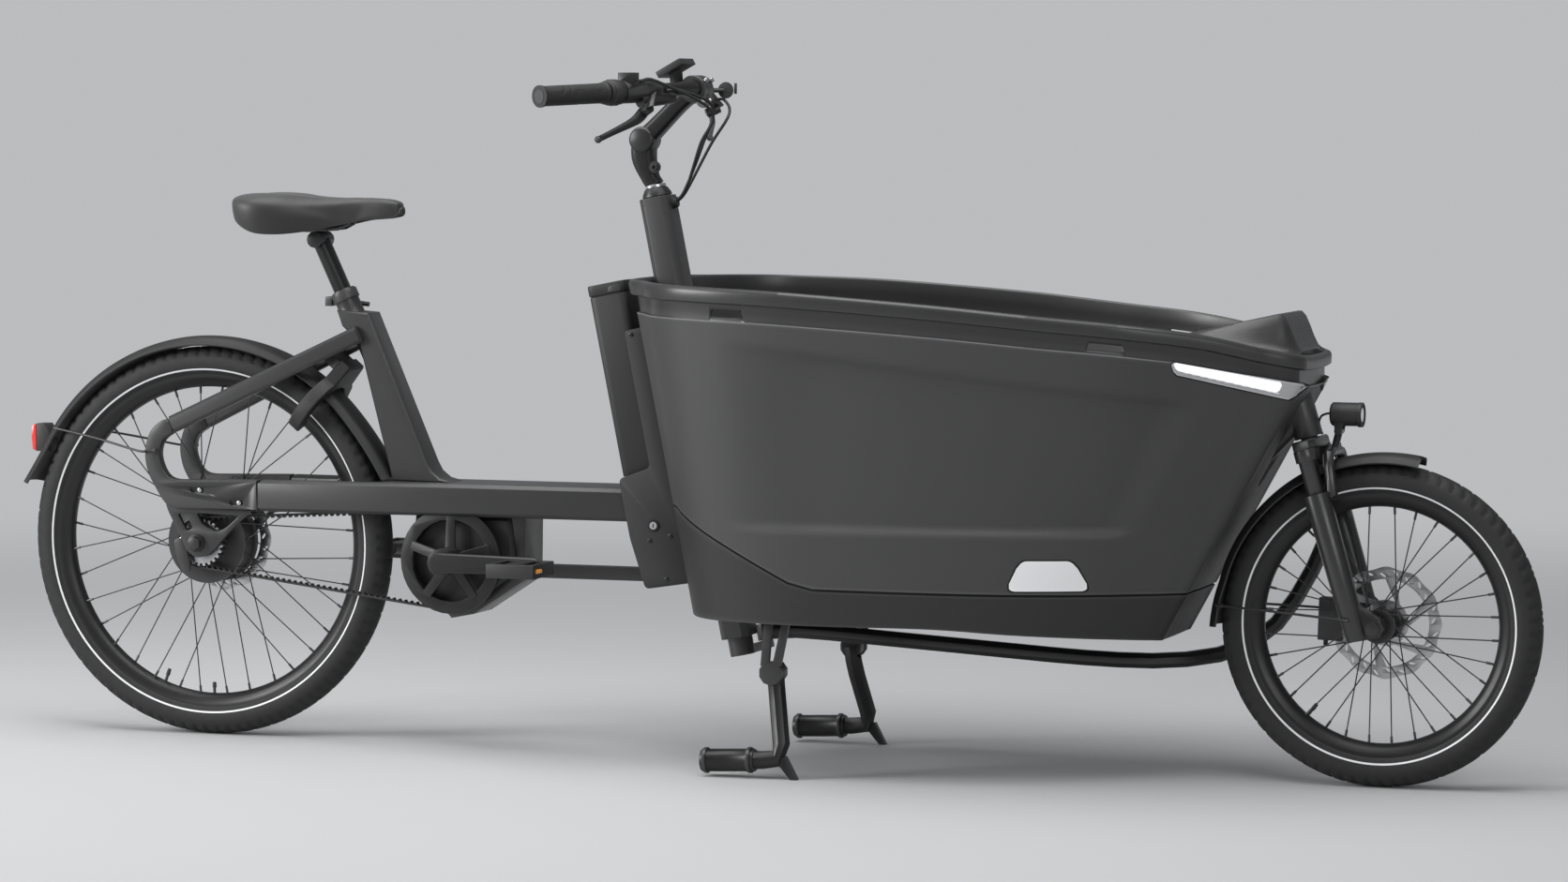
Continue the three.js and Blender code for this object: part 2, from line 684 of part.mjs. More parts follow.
function mainBeam() {
  const taperX = crankX - beamHalfWidth * 0.7;
  const slotHalf = tyreWidth / 2 + 18;
  const half = [
    [beamEndX, beamHalfWidth], [taperX, beamHalfWidth], [beamStartX, stayOuter], [beamStartX, stayHalfGap],
    [forkEndX - slotHalf * 0.9, slotHalf], [forkEndX - slotHalf * 0.35, slotHalf * 0.8], [forkEndX, slotHalf * 0.35],
  ];
  const points = [...half, ...half.slice().reverse().map(([x, y]) => [x, -y])];
  const bevel = 6;
  const beam = plan(outline(points), beamBottomZ, beamTopZ, bevel);
  const grooveInset = 14;
  const grooveWidth = 3;
  const grooveDepth = 2;
  const grooves = [-1, 1].map((sign) => {
    const y = sign * (beamHalfWidth - grooveInset);
    return block(taperX, beamEndX, y - grooveWidth / 2, y + grooveWidth / 2, beamTopZ - grooveDepth, beamTopZ + overrun);
  });
  const cradleSolid = side(
    outline(cradleShares.map(([a, b]) => [crankX + a * motorUnit, crankZ + b * motorUnit])),
    motorRight + bevel,
    motorLeft - bevel,
  );
  const motorRoom = side(motorOutline(seatGap * 2), motorRight - overrun, motorLeft + overrun);
  const braceDepth = 21;
  const braceWidth = 34;
  const braceZ = crankZ - crankDrop;
  const braceStart = crankX + motorUnit * 1.3;
  const brace = block(braceStart, beamEndX + packDepth, -braceWidth / 2, braceWidth / 2, braceZ - braceDepth / 2, braceZ + braceDepth / 2);
  const frame = join(beam, cut(cradleSolid, motorRoom), brace);
  const beltSide = beltWidth / 2 + overrun;
  const beltRoom = side(
    outline([
      [0, axleZ], [0, axleZ + cogRadius + overrun * 3], [crankX, crankZ + guardRingRadius + overrun],
      [crankX, crankZ],
    ]),
    beltY - beltSide, beltY + beltSide,
  );
  const guardRoom = barrel(guardRingRadius + overrun, beltY - beltSide - 6, beltY + beltSide, crankX, crankZ, 36);
  return cut(frame, ...grooves, towerCutter(), beltRoom, guardRoom);
}
node('main_beam', mainBeam(), frameBlack(), bike);

// Motor with its side covers
const axleBore = 12;
function motor() {
  const bevel = 7;
  const core = side(motorOutline(), motorRight, motorLeft, bevel);
  const cover = turned(
    [[0, 0], [motorUnit * 0.62, 0], [motorUnit * 0.62, bevel], [motorUnit * 0.5, bevel + overrun], [0, bevel + overrun]],
    20,
  );
  const leftCover = cover.translate([crankX, motorLeft - bevel / 2, crankZ]);
  const bore = barrel(axleBore, motorRight - beamHalfWidth, motorLeft + beamHalfWidth, crankX, crankZ, 12);
  return cut(join(core, leftCover), bore);
}
node('motor_housing', motor(), plasticBlack(), bike);

// Seat tube: two straight faces, a fillet into the beam, and the collar round the post
const seatBaseX = forkEndX - 6;
const seatTubeHeight = 288;
const seatBaseZ = beamTopZ + seatGap;
const seatShares = [
  [0, 0], [0.375, 0], [0.3, 0.02], [0.25, 0.06], [0.222, 0.11], [-0.152, 0.985], [-0.352, 1], [-0.317, 0.905],
  [-0.21, 0.81],
];
const collarAt = { x: seatBaseX - seatTubeHeight * 0.281, z: seatBaseZ + seatTubeHeight * 0.965 };
const seatPoint = (t, y = 0) => vec(collarAt.x - t * Math.sin(seatLean), y, collarAt.z + t * Math.cos(seatLean));
const collarTop = 46;
const postInside = 180;
const postTravelDown = 50;

function seatTube(grow = 0) {
  const points = seatShares.map(([a, b]) => [seatBaseX + a * seatTubeHeight, seatBaseZ + b * seatTubeHeight]);
  return side(outline(points), -seatTubeWidth / 2 - grow, seatTubeWidth / 2 + grow, 3);
}

function seatTubeWithCollar() {
  const collarWall = 5.5;
  const sleeve = bar(seatPoint(-20), seatPoint(collarTop), seatPostRadius + collarWall, 12);
  const band = bar(seatPoint(collarTop - 18), seatPoint(collarTop - 2), seatPostRadius + collarWall + 2.5, 12);
  const earX = 12;
  const ear = block(-earX / 2, earX / 2, -9, 9, -8, 8)
    .translate(seatPoint(collarTop - 10).add(vec(-seatPostRadius - collarWall - 7, 0, -9)).toArray());
  const bore = bar(seatPoint(-postInside - postTravelDown - overrun), seatPoint(collarTop + overrun), seatPostRadius + seatGap, 12);
  return cut(join(seatTube(), sleeve, band, ear), bore);
}
node('seat_tube', seatTubeWithCollar(), frameBlack(), bike);

// Upper seat stays, from the loop castings to the sides of the seat tube
function seatStay(sign, grow = 0) {
  const seam = fromAxle([[-0.126, 0.607]])[0];
  const topX = seatBaseX - seatTubeHeight * 0.2;
  const topZ = seatBaseZ + seatTubeHeight * 0.86;
  const from = vec(seam[0], sign * (stayHalfGap + stayWidth / 2), seam[1]);
  const to = vec(topX, sign * (seatTubeWidth / 2 + 4), topZ);
  const along = to.clone().sub(from).normalize();
  from.addScaledVector(along, grow ? -overrun : seatGap * 2);
  return stay(from, to, stayDepth, stayDepth, stayWidth, stayWidth, grow);
}
for (const [name, sign] of [['seat_stay_right', -1], ['seat_stay_left', 1]]) {
  const shape = seatTube(seatGap);
  node(name, cut(seatStay(sign), shape), frameBlack(), bike);
}

// Seat post, clamp, rails and saddle
const saddleLength = 303;
const saddleWidth = 186;
const saddleHeight = 62;
const railRadius = 3.6;
const headT = 138;
const saddleRise = 83;
const saddleAhead = 153;
const saddleTopZ = seatPoint(headT).z + saddleRise;
const saddleNoseX = seatPoint(headT).x + saddleAhead;
const postBody = () => {
  const tube = bar(seatPoint(-postInside), seatPoint(headT), seatPostRadius, 12);
  const head = seatPoint(headT + 4);
  const clampHalf = 26;
  const jaw = barrel(14, -clampHalf, clampHalf, head.x, head.z, 12);
  return join(tube, jaw);
};
const railY = 19;
const railPath = (sign) => {
  const head = seatPoint(headT + 4);
  const railZ = head.z + 21;
  const tail = saddleNoseX - saddleLength;
  return smooth(
    vec(saddleNoseX - saddleLength * 0.26, sign * 8, saddleTopZ - saddleHeight * 0.36),
    vec(saddleNoseX - saddleLength * 0.33, sign * 12, railZ + 5),
    vec(head.x + 30, sign * railY, railZ - 2),
    vec(head.x - 24, sign * railY, railZ - 2),
    vec(tail + saddleLength * 0.22, sign * railY * 1.2, railZ + 4),
    vec(tail + saddleLength * 0.16, sign * railY * 1.5, saddleTopZ - saddleHeight * 0.38),
  );
};
function saddleRails() {
  const head = seatPoint(headT + 4);
  const rails = [-1, 1].map((sign) => pipe(railPath(sign), railRadius, 12, 6));
  const plate = block(head.x - 22, head.x + 22, -railY - 6, railY + 6, head.z + 14 + seatGap, head.z + 22);
  return join(...rails, plate);
}
const saddleStations = [
  [0, 0.42, 0.22, -0.14], [0.06, 0.8, 0.72, -0.06], [0.18, 0.99, 1.08, -0.01], [0.32, 0.92, 1.12, -0.03],
  [0.46, 0.66, 0.98, -0.1], [0.6, 0.4, 0.8, -0.14], [0.75, 0.27, 0.66, -0.13], [0.9, 0.22, 0.56, -0.16],
  [0.98, 0.15, 0.42, -0.22], [1, 0.07, 0.2, -0.3],
];
function saddle() {
  const tail = saddleNoseX - saddleLength;
  const section = [
    [-1, -0.36], [-0.86, -0.12], [-0.5, 0], [0, -0.03], [0.5, 0], [0.86, -0.12], [1, -0.36], [0.96, -0.8], [0.84, -1],
    [0.62, -0.5], [0, -0.46], [-0.62, -0.5], [-0.84, -1], [-0.96, -0.8],
  ];
  const rings = saddleStations.map(([along, wide, deep, drop]) =>
    section.map(([y, z]) =>
      vec(tail + saddleLength * along, (y * wide * saddleWidth) / 2, saddleTopZ + drop * saddleHeight + z * deep * saddleHeight),
    ),
  );
  return loft(rings);
}
const railsSolid = saddleRails();
node('seat_post', postBody(), partBlack(), bike);
node('saddle_rails', railsSolid, partBlack(), bike);
{
  const railRoom = [-1, 1].map((sign) => pipe(railPath(sign), railRadius + seatGap, 12, 6));
  node('saddle', cut(saddle(), ...railRoom), rubberBlack(), bike);
}

// Quick-release lever on the seat collar
const leverHinge = seatPoint(collarTop - 10).add(vec(-seatPostRadius - 12.5, 0, -9));
{
  const leverLength = 56;
  const pin = bar(leverHinge.clone().add(vec(0, 9.4, 0)), leverHinge.clone().add(vec(0, 36, 0)), 6, 10);
  const handle = bar(leverHinge.clone().add(vec(0, 31, 0)), leverHinge.clone().add(vec(leverLength, 35, -6)), 5.5, 8, 4);
  node('seat_lever', join(pin, handle), partBlack(), bike);
}

// Rear mudguard with its wire stays and lamp housing
const guardGap = 16;
const guardThickness = 2.4;
const rearGuardRadius = rearRadius + guardGap + guardThickness;
const frontGuardRadius = frontRadius + guardGap;
const guardHalfWidth = tyreWidth / 2 + 6;
const wireRadius = 2.2;
const lampHeight = 48;
const lampWidth = 34;
const lampAngle = THREE.MathUtils.degToRad(151);
function rearMudguard() {
  const flare = 15;
  const radiusAt = (share) => {
    const head = Math.max(0, 0.16 - share) / 0.16;
    const tail = Math.max(0, share - 0.9) / 0.1;
    return rearGuardRadius + flare * (head * head * 0.8 + tail * tail);
  };
  const guard = blade(radiusAt, guardHalfWidth, guardThickness, 19, 165, 17);
  const x = rearGuardRadius * Math.cos(lampAngle);
  const z = rearGuardRadius * Math.sin(lampAngle);
  const housing = block(x - 22, x + 4, -lampWidth / 2, lampWidth / 2, z - lampHeight / 2, z + lampHeight / 2);
  const wires = [-1, 1].map((sign) => {
    const from = vec(x + 20, sign * (guardHalfWidth - 4), z + 18);
    const to = vec(-rearRadius * 0.21, sign * (stayOuter + wireRadius + seatGap), rearRadius * 0.47);
    const eye = to.clone().setX(-rearRadius * 0.31);
    const wire = bar(from, eye, wireRadius, 5);
    return join(wire, bar(eye, to, wireRadius, 5));
  });
  return join(guard, housing, ...wires);
}
const rearAxleGroup = group(0, 0, axleZ);
node('rear_mudguard', rearMudguard(), plasticBlack(), rearAxleGroup);
{
  const x = rearGuardRadius * Math.cos(lampAngle) - 22 - seatGap;
  const z = rearGuardRadius * Math.sin(lampAngle);
  const lensDepth = 9;
  const inset = 3;
  const points = [
    [x, z - lampHeight / 2], [x, z + lampHeight / 2], [x - lensDepth, z + lampHeight / 2 - inset],
    [x - lensDepth, z - lampHeight / 2 + inset],
  ];
  node('tail_lens', side(outline(points), -lampWidth / 2, lampWidth / 2), lampRed(), rearAxleGroup);
}

// Ring lock: a horseshoe case astride the mudguard and a shackle that turns inside it
const lockAngle = THREE.MathUtils.degToRad(49.5);
const lockGroup = group(0, 0, axleZ, Math.PI / 2 - lockAngle);
const lockRadius = 56;
const lockWall = 10;
const lockThickness = 24;
const lockCentre = rearRadius - 20;
const shackleHalf = 4.5;
function arcBand(inner, outer, startDeg, endDeg, steps) {
  const points = [];
  const at = (radius, share) => {
    const angle = THREE.MathUtils.degToRad(startDeg + (endDeg - startDeg) * share);
    return [radius * Math.cos(angle), lockCentre + radius * Math.sin(angle)];
  };
  for (let i = 0; i <= steps; i += 1) points.push(at(outer, i / steps));
  for (let i = steps; i >= 0; i -= 1) points.push(at(inner, i / steps));
  return outline(points);
}
{
  const half = lockThickness / 2;
  const horseshoe = front(arcBand(lockRadius - lockWall, lockRadius + lockWall, -50, 230, 12), -half, half, 2);
  const shoulder = front(
    outline([[-38, 0], [38, 0], [30, 44], [-30, 44]].map(([y, z]) => [y, lockCentre + lockRadius + z - 8])),
    -half, half, 3,
  );
  const lugHalf = seatTubeWidth / 2 + 2;
  const lugLow = lockCentre + lockRadius + lockWall + 4;
  const lug = block(-52, -6, -lugHalf, lugHalf, lugLow, lugLow + 18);
  const stayRooms = [-1, 1].map((sign) => takenIntoGroup(seatStay(sign, seatGap), lockGroup));
  const channel = front(arcBand(lockRadius - shackleHalf - runGap * 2, lockRadius + shackleHalf + runGap * 2, -60, 240, 18), -half - overrun, -half + shackleHalf * 2 + runGap * 2);
  const shackle = front(arcBand(lockRadius - shackleHalf, lockRadius + shackleHalf, 129, 227, 7), -half + runGap * 1.5, -half + shackleHalf * 2 + runGap);
  node('ring_lock', cut(join(cut(join(horseshoe, shoulder), channel), lug), ...stayRooms), plasticBlack(), lockGroup);
  node('lock_shackle', shackle, steelBright(), lockGroup);
}

// Battery tower: dock with a cup and cheeks, and the pack that slides up out of it
const towerGroup = group(tower.x, 0, tower.z, tower.lean);
const packUp = (packTopZ - tower.z) / Math.cos(columnLean);
const dockDown = (tower.z - boxFloorZ + 34) / Math.cos(columnLean);
const dockHalf = packWidth / 2 + dockWall + 4;
const cheekTop = packUp * 0.75;
const packBottom = -dockDown * 0.91;
{
  const cheekEdge = packDepth * 0.33;
  const dockOutline = [
    [dockRear, dockDown * 0.05], [dockRear, -dockDown * 0.5], [dockRear * 0.72, -dockDown * 0.98], [dockFront * 0.86, -dockDown],
    [dockFront, -dockDown * 0.9], [dockFront, cheekTop * 0.95], [dockFront * 0.9, cheekTop], [cheekEdge, cheekTop],
    [cheekEdge, dockDown * 0.1],
  ];
  const body = side(outline(dockOutline), -dockHalf, dockHalf, dockWall * 0.6);
  const roomX = packDepth / 2 + seatGap;
  const room = block(-roomX, roomX, -packWidth / 2 - seatGap, packWidth / 2 + seatGap, packBottom - seatGap, cheekTop + overrun);
  const screws = [[0.72, 0.93], [0.5, -0.12]].map(([a, b]) =>
    barrel(5, -dockHalf - 1.6, -dockHalf + overrun, dockFront * a, b > 0 ? cheekTop * b : dockDown * b, 10),
  );
  const lockBarrel = barrel(9, -dockHalf - overrun, -dockHalf + overrun, dockFront * 0.1, -dockDown * 0.42, 12);
  node('battery_dock', join(cut(body, room), lockBarrel, ...screws), plasticBlack(), towerGroup);
}
{
  const radius = packDepth * 0.22;
  const shape = [];
  for (const [sx, sy, start] of [[1, 1, 0], [-1, 1, 1], [-1, -1, 2], [1, -1, 3]]) {
    for (let k = 0; k <= 2; k += 1) {
      const angle = (start + k / 2) * (Math.PI / 2);
      shape.push([
        sx * (packDepth / 2 - radius) + radius * Math.cos(angle),
        sy * (packWidth / 2 - radius) + radius * Math.sin(angle),
      ]);
    }
  }
  const capBottom = packUp * 0.91;
  const body = plan(outline(shape), packBottom, packUp * 0.96);
  const cap = side(
    outline([
      [-packDepth * 0.62, capBottom], [packDepth * 0.55, capBottom + packUp * 0.02], [packDepth * 0.74, packUp],
      [-packDepth * 0.3, packUp * 1.01], [-packDepth * 0.92, packUp * 0.99], [-packDepth * 0.9, packUp * 0.965],
    ]),
    -packWidth * 0.47, packWidth * 0.47, packDepth * 0.06,
  );
  node('battery_pack', join(body, cap), plasticBlack(), towerGroup);
}

// Steering column sleeve, standing inside the rear wall of the box
const columnGroup = group(columnTopX, 0, columnTopZ, -columnLean);
const sleeveLength = (columnTopZ - standPivotZ - 32) / Math.cos(columnLean);
const steererRadius = 14;
const linkLift = linkRadius * 2 - 3;
const armThickness = 13;
const armZ = -sleeveLength - linkLift;
const armTurn = THREE.MathUtils.degToRad(8);
const armEnd = { x: linkArm * Math.sin(armTurn), y: linkArm * Math.cos(armTurn) };
function sleeveSolid(grow = 0) {
  const half = columnDepth / 2 + grow;
  const wide = columnWidth / 2 + grow;
  const corner = columnDepth * 0.2;
  const shape = [
    [half - corner, -wide], [half, -wide + corner], [half, wide - corner], [half - corner, wide],
    [corner - half, wide], [-half, wide - corner], [-half, corner - wide], [corner - half, -wide],
  ];
  return plan(outline(shape), -sleeveLength, 0);
}
{
  const bore = bar(vec(0, 0, -sleeveLength - overrun), vec(0, 0, overrun), steererRadius + runGap, 12);
  node('column_sleeve', cut(sleeveSolid(), bore), frameBlack(), columnGroup);
}

// Box outline: stations from the rear wall to the nose, at the rim and at the bottom edge
const noseX = (z) => crownX - headTubeRadius * 1.85 + (z - crownZ) * Math.tan(noseLean);
const seamZ = boxFloorZ - 6;
const noseDrop = 21;
const rimShares = [
  [0, 0.37, 1], [0.025, 0.52, 0.994], [0.055, 0.7, 0.987], [0.1, 0.84, 0.976], [0.165, 0.93, 0.955],
  [0.25, 0.985, 0.925], [0.383, 1, 0.84], [0.518, 0.983, 0.735],
  [0.653, 0.917, 0.6], [0.775, 0.817, 0.48], [0.877, 0.617, 0.32], [0.949, 0.45, 0.12], [1, 0.3, 0],
];
const footShares = [
  [0, 0.4, 0], [0.02, 0.58, 0], [0.05, 0.73, 0], [0.095, 0.85, 0], [0.16, 0.93, 0], [0.24, 0.98, 0], [0.35, 1, 0],
  [0.578, 0.96, 0],
  [0.725, 0.865, 0.34], [0.85, 0.69, 0.64], [0.9375, 0.52, 0.84], [0.981, 0.42, 0.94], [1, 0.346, 1],
];
function boxStations(grow) {
  const along = (shares, rear, nose, half, low, high) =>
    shares.map(([x, w, z]) => vec(rear - grow + x * (nose - rear + 2 * grow), half * w + grow, low + z * (high - low)));
  const top = along(rimShares, rearWallX(boxRimZ), noseX(boxNoseZ), boxHalfWidth, boxNoseZ, boxRimZ);
  const footFront = boxBottomZ - noseDrop;
  const foot = along(footShares, rearWallX(boxBottomZ), noseX(footFront), boxBottomHalfWidth, boxBottomZ, footFront);
  return { top, foot };
}
const bothSides = (stations) => [...stations, ...stations.slice().reverse().map((p) => p.clone().setY(-p.y))];
function boxSolid(grow, above = 0, below = 0) {
  const { top, foot } = boxStations(grow);
  const lift = top.map((p, i) => p.clone().addScaledVector(p.clone().sub(foot[i]), above));
  const drop = foot.map((p, i) => p.clone().addScaledVector(top[i].clone().sub(p), -below));
  const rings = [bothSides(foot), bothSides(top)];
  if (below) rings.unshift(bothSides(drop));
  if (above) rings.push(bothSides(lift));
  return loft(rings, true);
}
const rimLine = (shift) => {
  const points = boxStations(0).top.map((p) => [p.x, p.z + shift]);
  const [first, last] = [points[0], points[points.length - 1]];
  return [[first[0] - boxHalfWidth, first[1]], ...points, [last[0] + boxHalfWidth, last[1]]];
};
const seamPoints = (shift) => [
  [rearWallX(boxRimZ) - boxHalfWidth, boxRimZ * 0.58 + shift],
  [rearWallX(seamZ) + boxHalfWidth * 0.02, boxRimZ * 0.58 + shift],
  [rearWallX(seamZ) + boxHalfWidth * 0.76, seamZ + 10 + shift],
  [rearWallX(seamZ) + boxHalfWidth * 0.9, seamZ + shift],
  [crownX + boxHalfWidth, seamZ - 6 + shift],
];
const reachY = boxHalfWidth * 1.2;
const aboveSeam = side(
  outline([...seamPoints(seatGap / 2), [crownX + boxHalfWidth, boxRimZ * 2], [rearWallX(boxRimZ) - boxHalfWidth, boxRimZ * 2]]),
  -reachY, reachY,
);
const belowSeam = side(
  outline([...seamPoints(-seatGap / 2), [crownX + boxHalfWidth, -seamZ], [rearWallX(boxRimZ) - boxHalfWidth, -seamZ]]),
  -reachY, reachY,
);
const rimEnds = [rearWallX(boxRimZ) - boxHalfWidth, noseX(boxNoseZ) + boxHalfWidth];
const belowRim = side(outline([...rimLine(-seatGap / 2), [rimEnds[1], -boxRimZ], [rimEnds[0], -boxRimZ]]), -reachY, reachY);
const aboveRim = side(
  outline([...rimLine(seatGap / 2), [rimEnds[1], boxRimZ * 2], [rimEnds[0], boxRimZ * 2]]),
  -reachY, reachY,
);

// Front frame: two rails under the floor, cross tubes, stand brackets, down tube and head tube
const railTube = 17;
const railY0 = boxBottomHalfWidth * 0.365;
const railTubeZ = seamZ - railTube - 1;
const standPivotX = rearWallX(seamZ) + 184;
const plateHalf = 4;
const standBracketY = standHalfWidth - plateHalf;
const forkGroup = group(crownX, 0, crownZ, -forkLean);
const forkPoint = (x, y, z) => vec(x, y, z).applyAxisAngle(vec(0, 1, 0), -forkLean).add(vec(crownX, 0, crownZ));
const headLow = 6;
const headTube = (grow) =>
  bar(forkPoint(0, 0, headLow - grow * 2), forkPoint(0, 0, headLow + headTubeLength + grow * 2), headTubeRadius + grow, 16);
const downFoot = vec(noseX(railTubeZ) - headTubeRadius * 5, 0, railTubeZ);
const downTube = (grow) => bar(downFoot, forkPoint(-headTubeRadius * 0.5, 0, headLow + headTubeLength * 0.42), railTube + grow, 12);
const crossX = [columnX(railTubeZ) + columnDepth * 0.95, standPivotX + 18];
{
  const rails = [-1, 1].map((sign) =>
    pipe(
      bentPath(
        [
          vec(columnX(railTubeZ) + 6, sign * railY0, railTubeZ),
          vec(downFoot.x - 90, sign * railY0, railTubeZ),
          vec(downFoot.x - 8, sign * railTube * 0.7, railTubeZ),
          vec(downFoot.x + 6, sign * railTube * 0.5, railTubeZ),
        ],
        6,
      ),
      railTube, 7, 8,
    ),
  );
  const crossZ = railTubeZ - 8;
  const crosses = crossX.map((x, i) => {
    const reach = i ? standBracketY : boxBottomHalfWidth * 0.78;
    return barrel(railTube * 0.85, -reach, reach, x, crossZ, 8);
  });
  const brackets = [-1, 1].map((sign) => {
    const y = span(sign, standBracketY - plateHalf, standBracketY + plateHalf);
    const top = crossZ + railTube * 0.7;
    const legs = [[-18, -10], [18, 10]].map(([topX, footX]) =>
      side(
        outline([
          [crossX[1] + topX - 6, top], [crossX[1] + topX + 6, top], [standPivotX + footX + 7, standPivotZ + 12],
          [standPivotX + footX - 7, standPivotZ + 12],
        ]),
        y[0], y[1],
      ),
    );
    const eye = barrel(standTubeRadius * 1.2, y[0], y[1], standPivotX, standPivotZ, 10);
    return join(...legs, eye);
  });
  const cheeks = [-1, 1].map((sign) => {
    const y = span(sign, columnWidth / 2 + seatGap, columnWidth / 2 + 9);
    const x = columnX(crossZ);
    return block(x - 18, crossX[0], y[0], y[1], crossZ - 22, crossZ + 22);
  });
  const bore = bar(forkPoint(0, 0, -headTubeLength), forkPoint(0, 0, headTubeLength * 2), steererRadius + runGap, 12);
  const body = join(...rails, ...crosses, ...brackets, ...cheeks, downTube(0), headTube(0));
  node('front_frame', cut(body, bore), frameBlack(), bike);
}

// Box shell: walls and floor in one, with recessed side panels and slots
{
  const outer = boxSolid(0, 0.2).intersect(belowRim);
  const inner = boxSolid(-boxWall, 0.3, 0.2);
  const skirtWall = 3;
  const floorInset = boxSolid(-skirtWall - runGap, 0.2, 0.2);
  const walls = cut(outer.intersect(aboveSeam), inner);
  const floorSlab = floorInset.intersect(block(-reachY, wheelBase * 2, -reachY, reachY, seamZ, boxFloorZ));
  const panelDepth = 1.8;
  const panelShares = [[0.349, 0.885], [0.815, 0.73], [0.843, 0.68], [0.764, 0.32], [0.329, 0.325]];
  const boxLength = noseX(boxNoseZ) - rearWallX(boxRimZ);
  const onBox = (shares) => shares.map(([a, b]) => [rearWallX(boxRimZ) + a * boxLength, boxBottomZ + b * (boxRimZ - boxBottomZ)]);
  const skin = cut(boxSolid(overrun), boxSolid(-panelDepth));
  const panels = side(outline(onBox(panelShares)), -reachY, reachY).intersect(skin);
  const sleeveRoom = placedAtGroup(sleeveSolid(runGap), columnGroup);
  const walled = cut(join(walls, floorSlab), panels, sleeveRoom, downTube(runGap * 2), headTube(runGap * 2));
  node('box_shell', walled, panelGrey(), bike);

  const skirt = cut(outer.intersect(belowSeam), boxSolid(-skirtWall, 0.2, 0.2));
  node('box_skirt', skirt, skirtGrey(), bike);

  const windowShares = [[0.617, 0.224], [0.703, 0.23], [0.718, 0.127], [0.6, 0.127]];
  const barShares = [[0.836, 0.878], [0.93, 0.845], [1.004, 0.79], [0.998, 0.747], [0.92, 0.8], [0.832, 0.829]];
  const strip = cut(boxSolid(overrun, 0.2), boxSolid(seatGap * 2, 0.3, 0.1)).intersect(belowRim);
  for (const [name, sign] of [['right', -1], ['left', 1]]) {
    const lightY = span(sign, boxHalfWidth * 0.3, reachY);
    node(`light_bar_${name}`, side(outline(onBox(barShares)), lightY[0], lightY[1]).intersect(strip), lampWhite(), bike);
    node(`window_${name}`, side(outline(onBox(windowShares)), lightY[0], lightY[1]).intersect(strip), partBlack(), bike);
  }
}

// Rim: a set-back band and a lip that stands out, round the whole top edge, with the nose hump
{
  const bandHeight = rimHeight * 0.5;
  const lipTop = rimHeight * 1.25;
  const ringAt = (grow, rise) => {
    const { top } = boxStations(grow);
    const slack = rise * 0.09;
    return bothSides(
      top.map((p, i) => {
        const lean = i < 2 ? -Math.tan(columnLean) : 0;
        return p.clone().add(vec(rise * lean, 0, rise - (slack * i) / top.length));
      }),
    );
  };
  const out = loft([ringAt(-2, -overrun * 4), ringAt(-2, bandHeight), ringAt(4, bandHeight + 3), ringAt(5, lipTop - 5), ringAt(0, lipTop)]);
  const room = loft([ringAt(-boxWall, -overrun * 5), ringAt(-boxWall, lipTop + overrun)]);
  const noseTopX = noseX(boxNoseZ);
  const humpHalf = boxHalfWidth * 0.36;
  const hump = side(
    outline([
      [noseTopX - 196, boxNoseZ + 76], [noseTopX - 60, boxNoseZ + 112], [noseTopX - 48, boxNoseZ + 106],
      [noseTopX - 10, boxNoseZ + rimHeight], [noseTopX - 12, boxNoseZ + 26], [noseTopX - 60, boxNoseZ + 60],
    ]),
    -humpHalf, humpHalf, 5,
  );
  node('box_rim', join(cut(out, room), hump).intersect(aboveRim), panelGrey(), bike);
}

// Fork upper part: steerer, crown, stanchions and the steering arm with its pin
const stanchionRadius = 14.5;
const crownBottom = -13;
const lowersTop = -84;
const linkZ = -48;
const pinRadius = 4.5;
const looseGap = 6;
{
  const steerer = bar(vec(0, 0, crownBottom), vec(0, 0, headLow + headTubeLength + 12), steererRadius, 12);
  const capTop = bar(vec(0, 0, headLow + headTubeLength + runGap), vec(0, 0, headLow + headTubeLength + 14), headTubeRadius * 0.8, 12);
  const lobe = 19;
  const crownShape = [];
  for (const sign of [1, -1]) {
    for (let k = 0; k <= 4; k += 1) {
      const angle = (sign > 0 ? 0 : Math.PI) + (Math.PI * k) / 4;
      crownShape.push([lobe * 0.9 * Math.cos(angle), sign * legHalfGap + lobe * Math.sin(angle)]);
    }
  }
  const crown = plan(outline(crownShape), crownBottom, headLow - 2, 3);
  const legs = [-1, 1].map((sign) =>
    bar(vec(0, sign * legHalfGap, crownBottom + 2), vec(0, sign * legHalfGap, lowersTop - legRadius * 3), stanchionRadius, 12),
  );
  const lugs = [-1, 1].map((sign) => bar(vec(0, sign * legHalfGap, crownBottom + 2), vec(0, sign * legHalfGap, -30), lobe - 1, 12));
  const armRoom = plan(
    outline([[-8, legHalfGap], [armEnd.x - 10, armEnd.y + 6], [armEnd.x + 10, armEnd.y + 6], [16, legHalfGap]]),
    -28, -15,
  );
  const pin = bar(vec(armEnd.x, armEnd.y, -20), vec(armEnd.x, armEnd.y, linkZ - 8), pinRadius, 10);
  node('fork_upper', join(steerer, capTop, crown, ...legs, ...lugs, armRoom, pin), partBlack(), forkGroup);
}

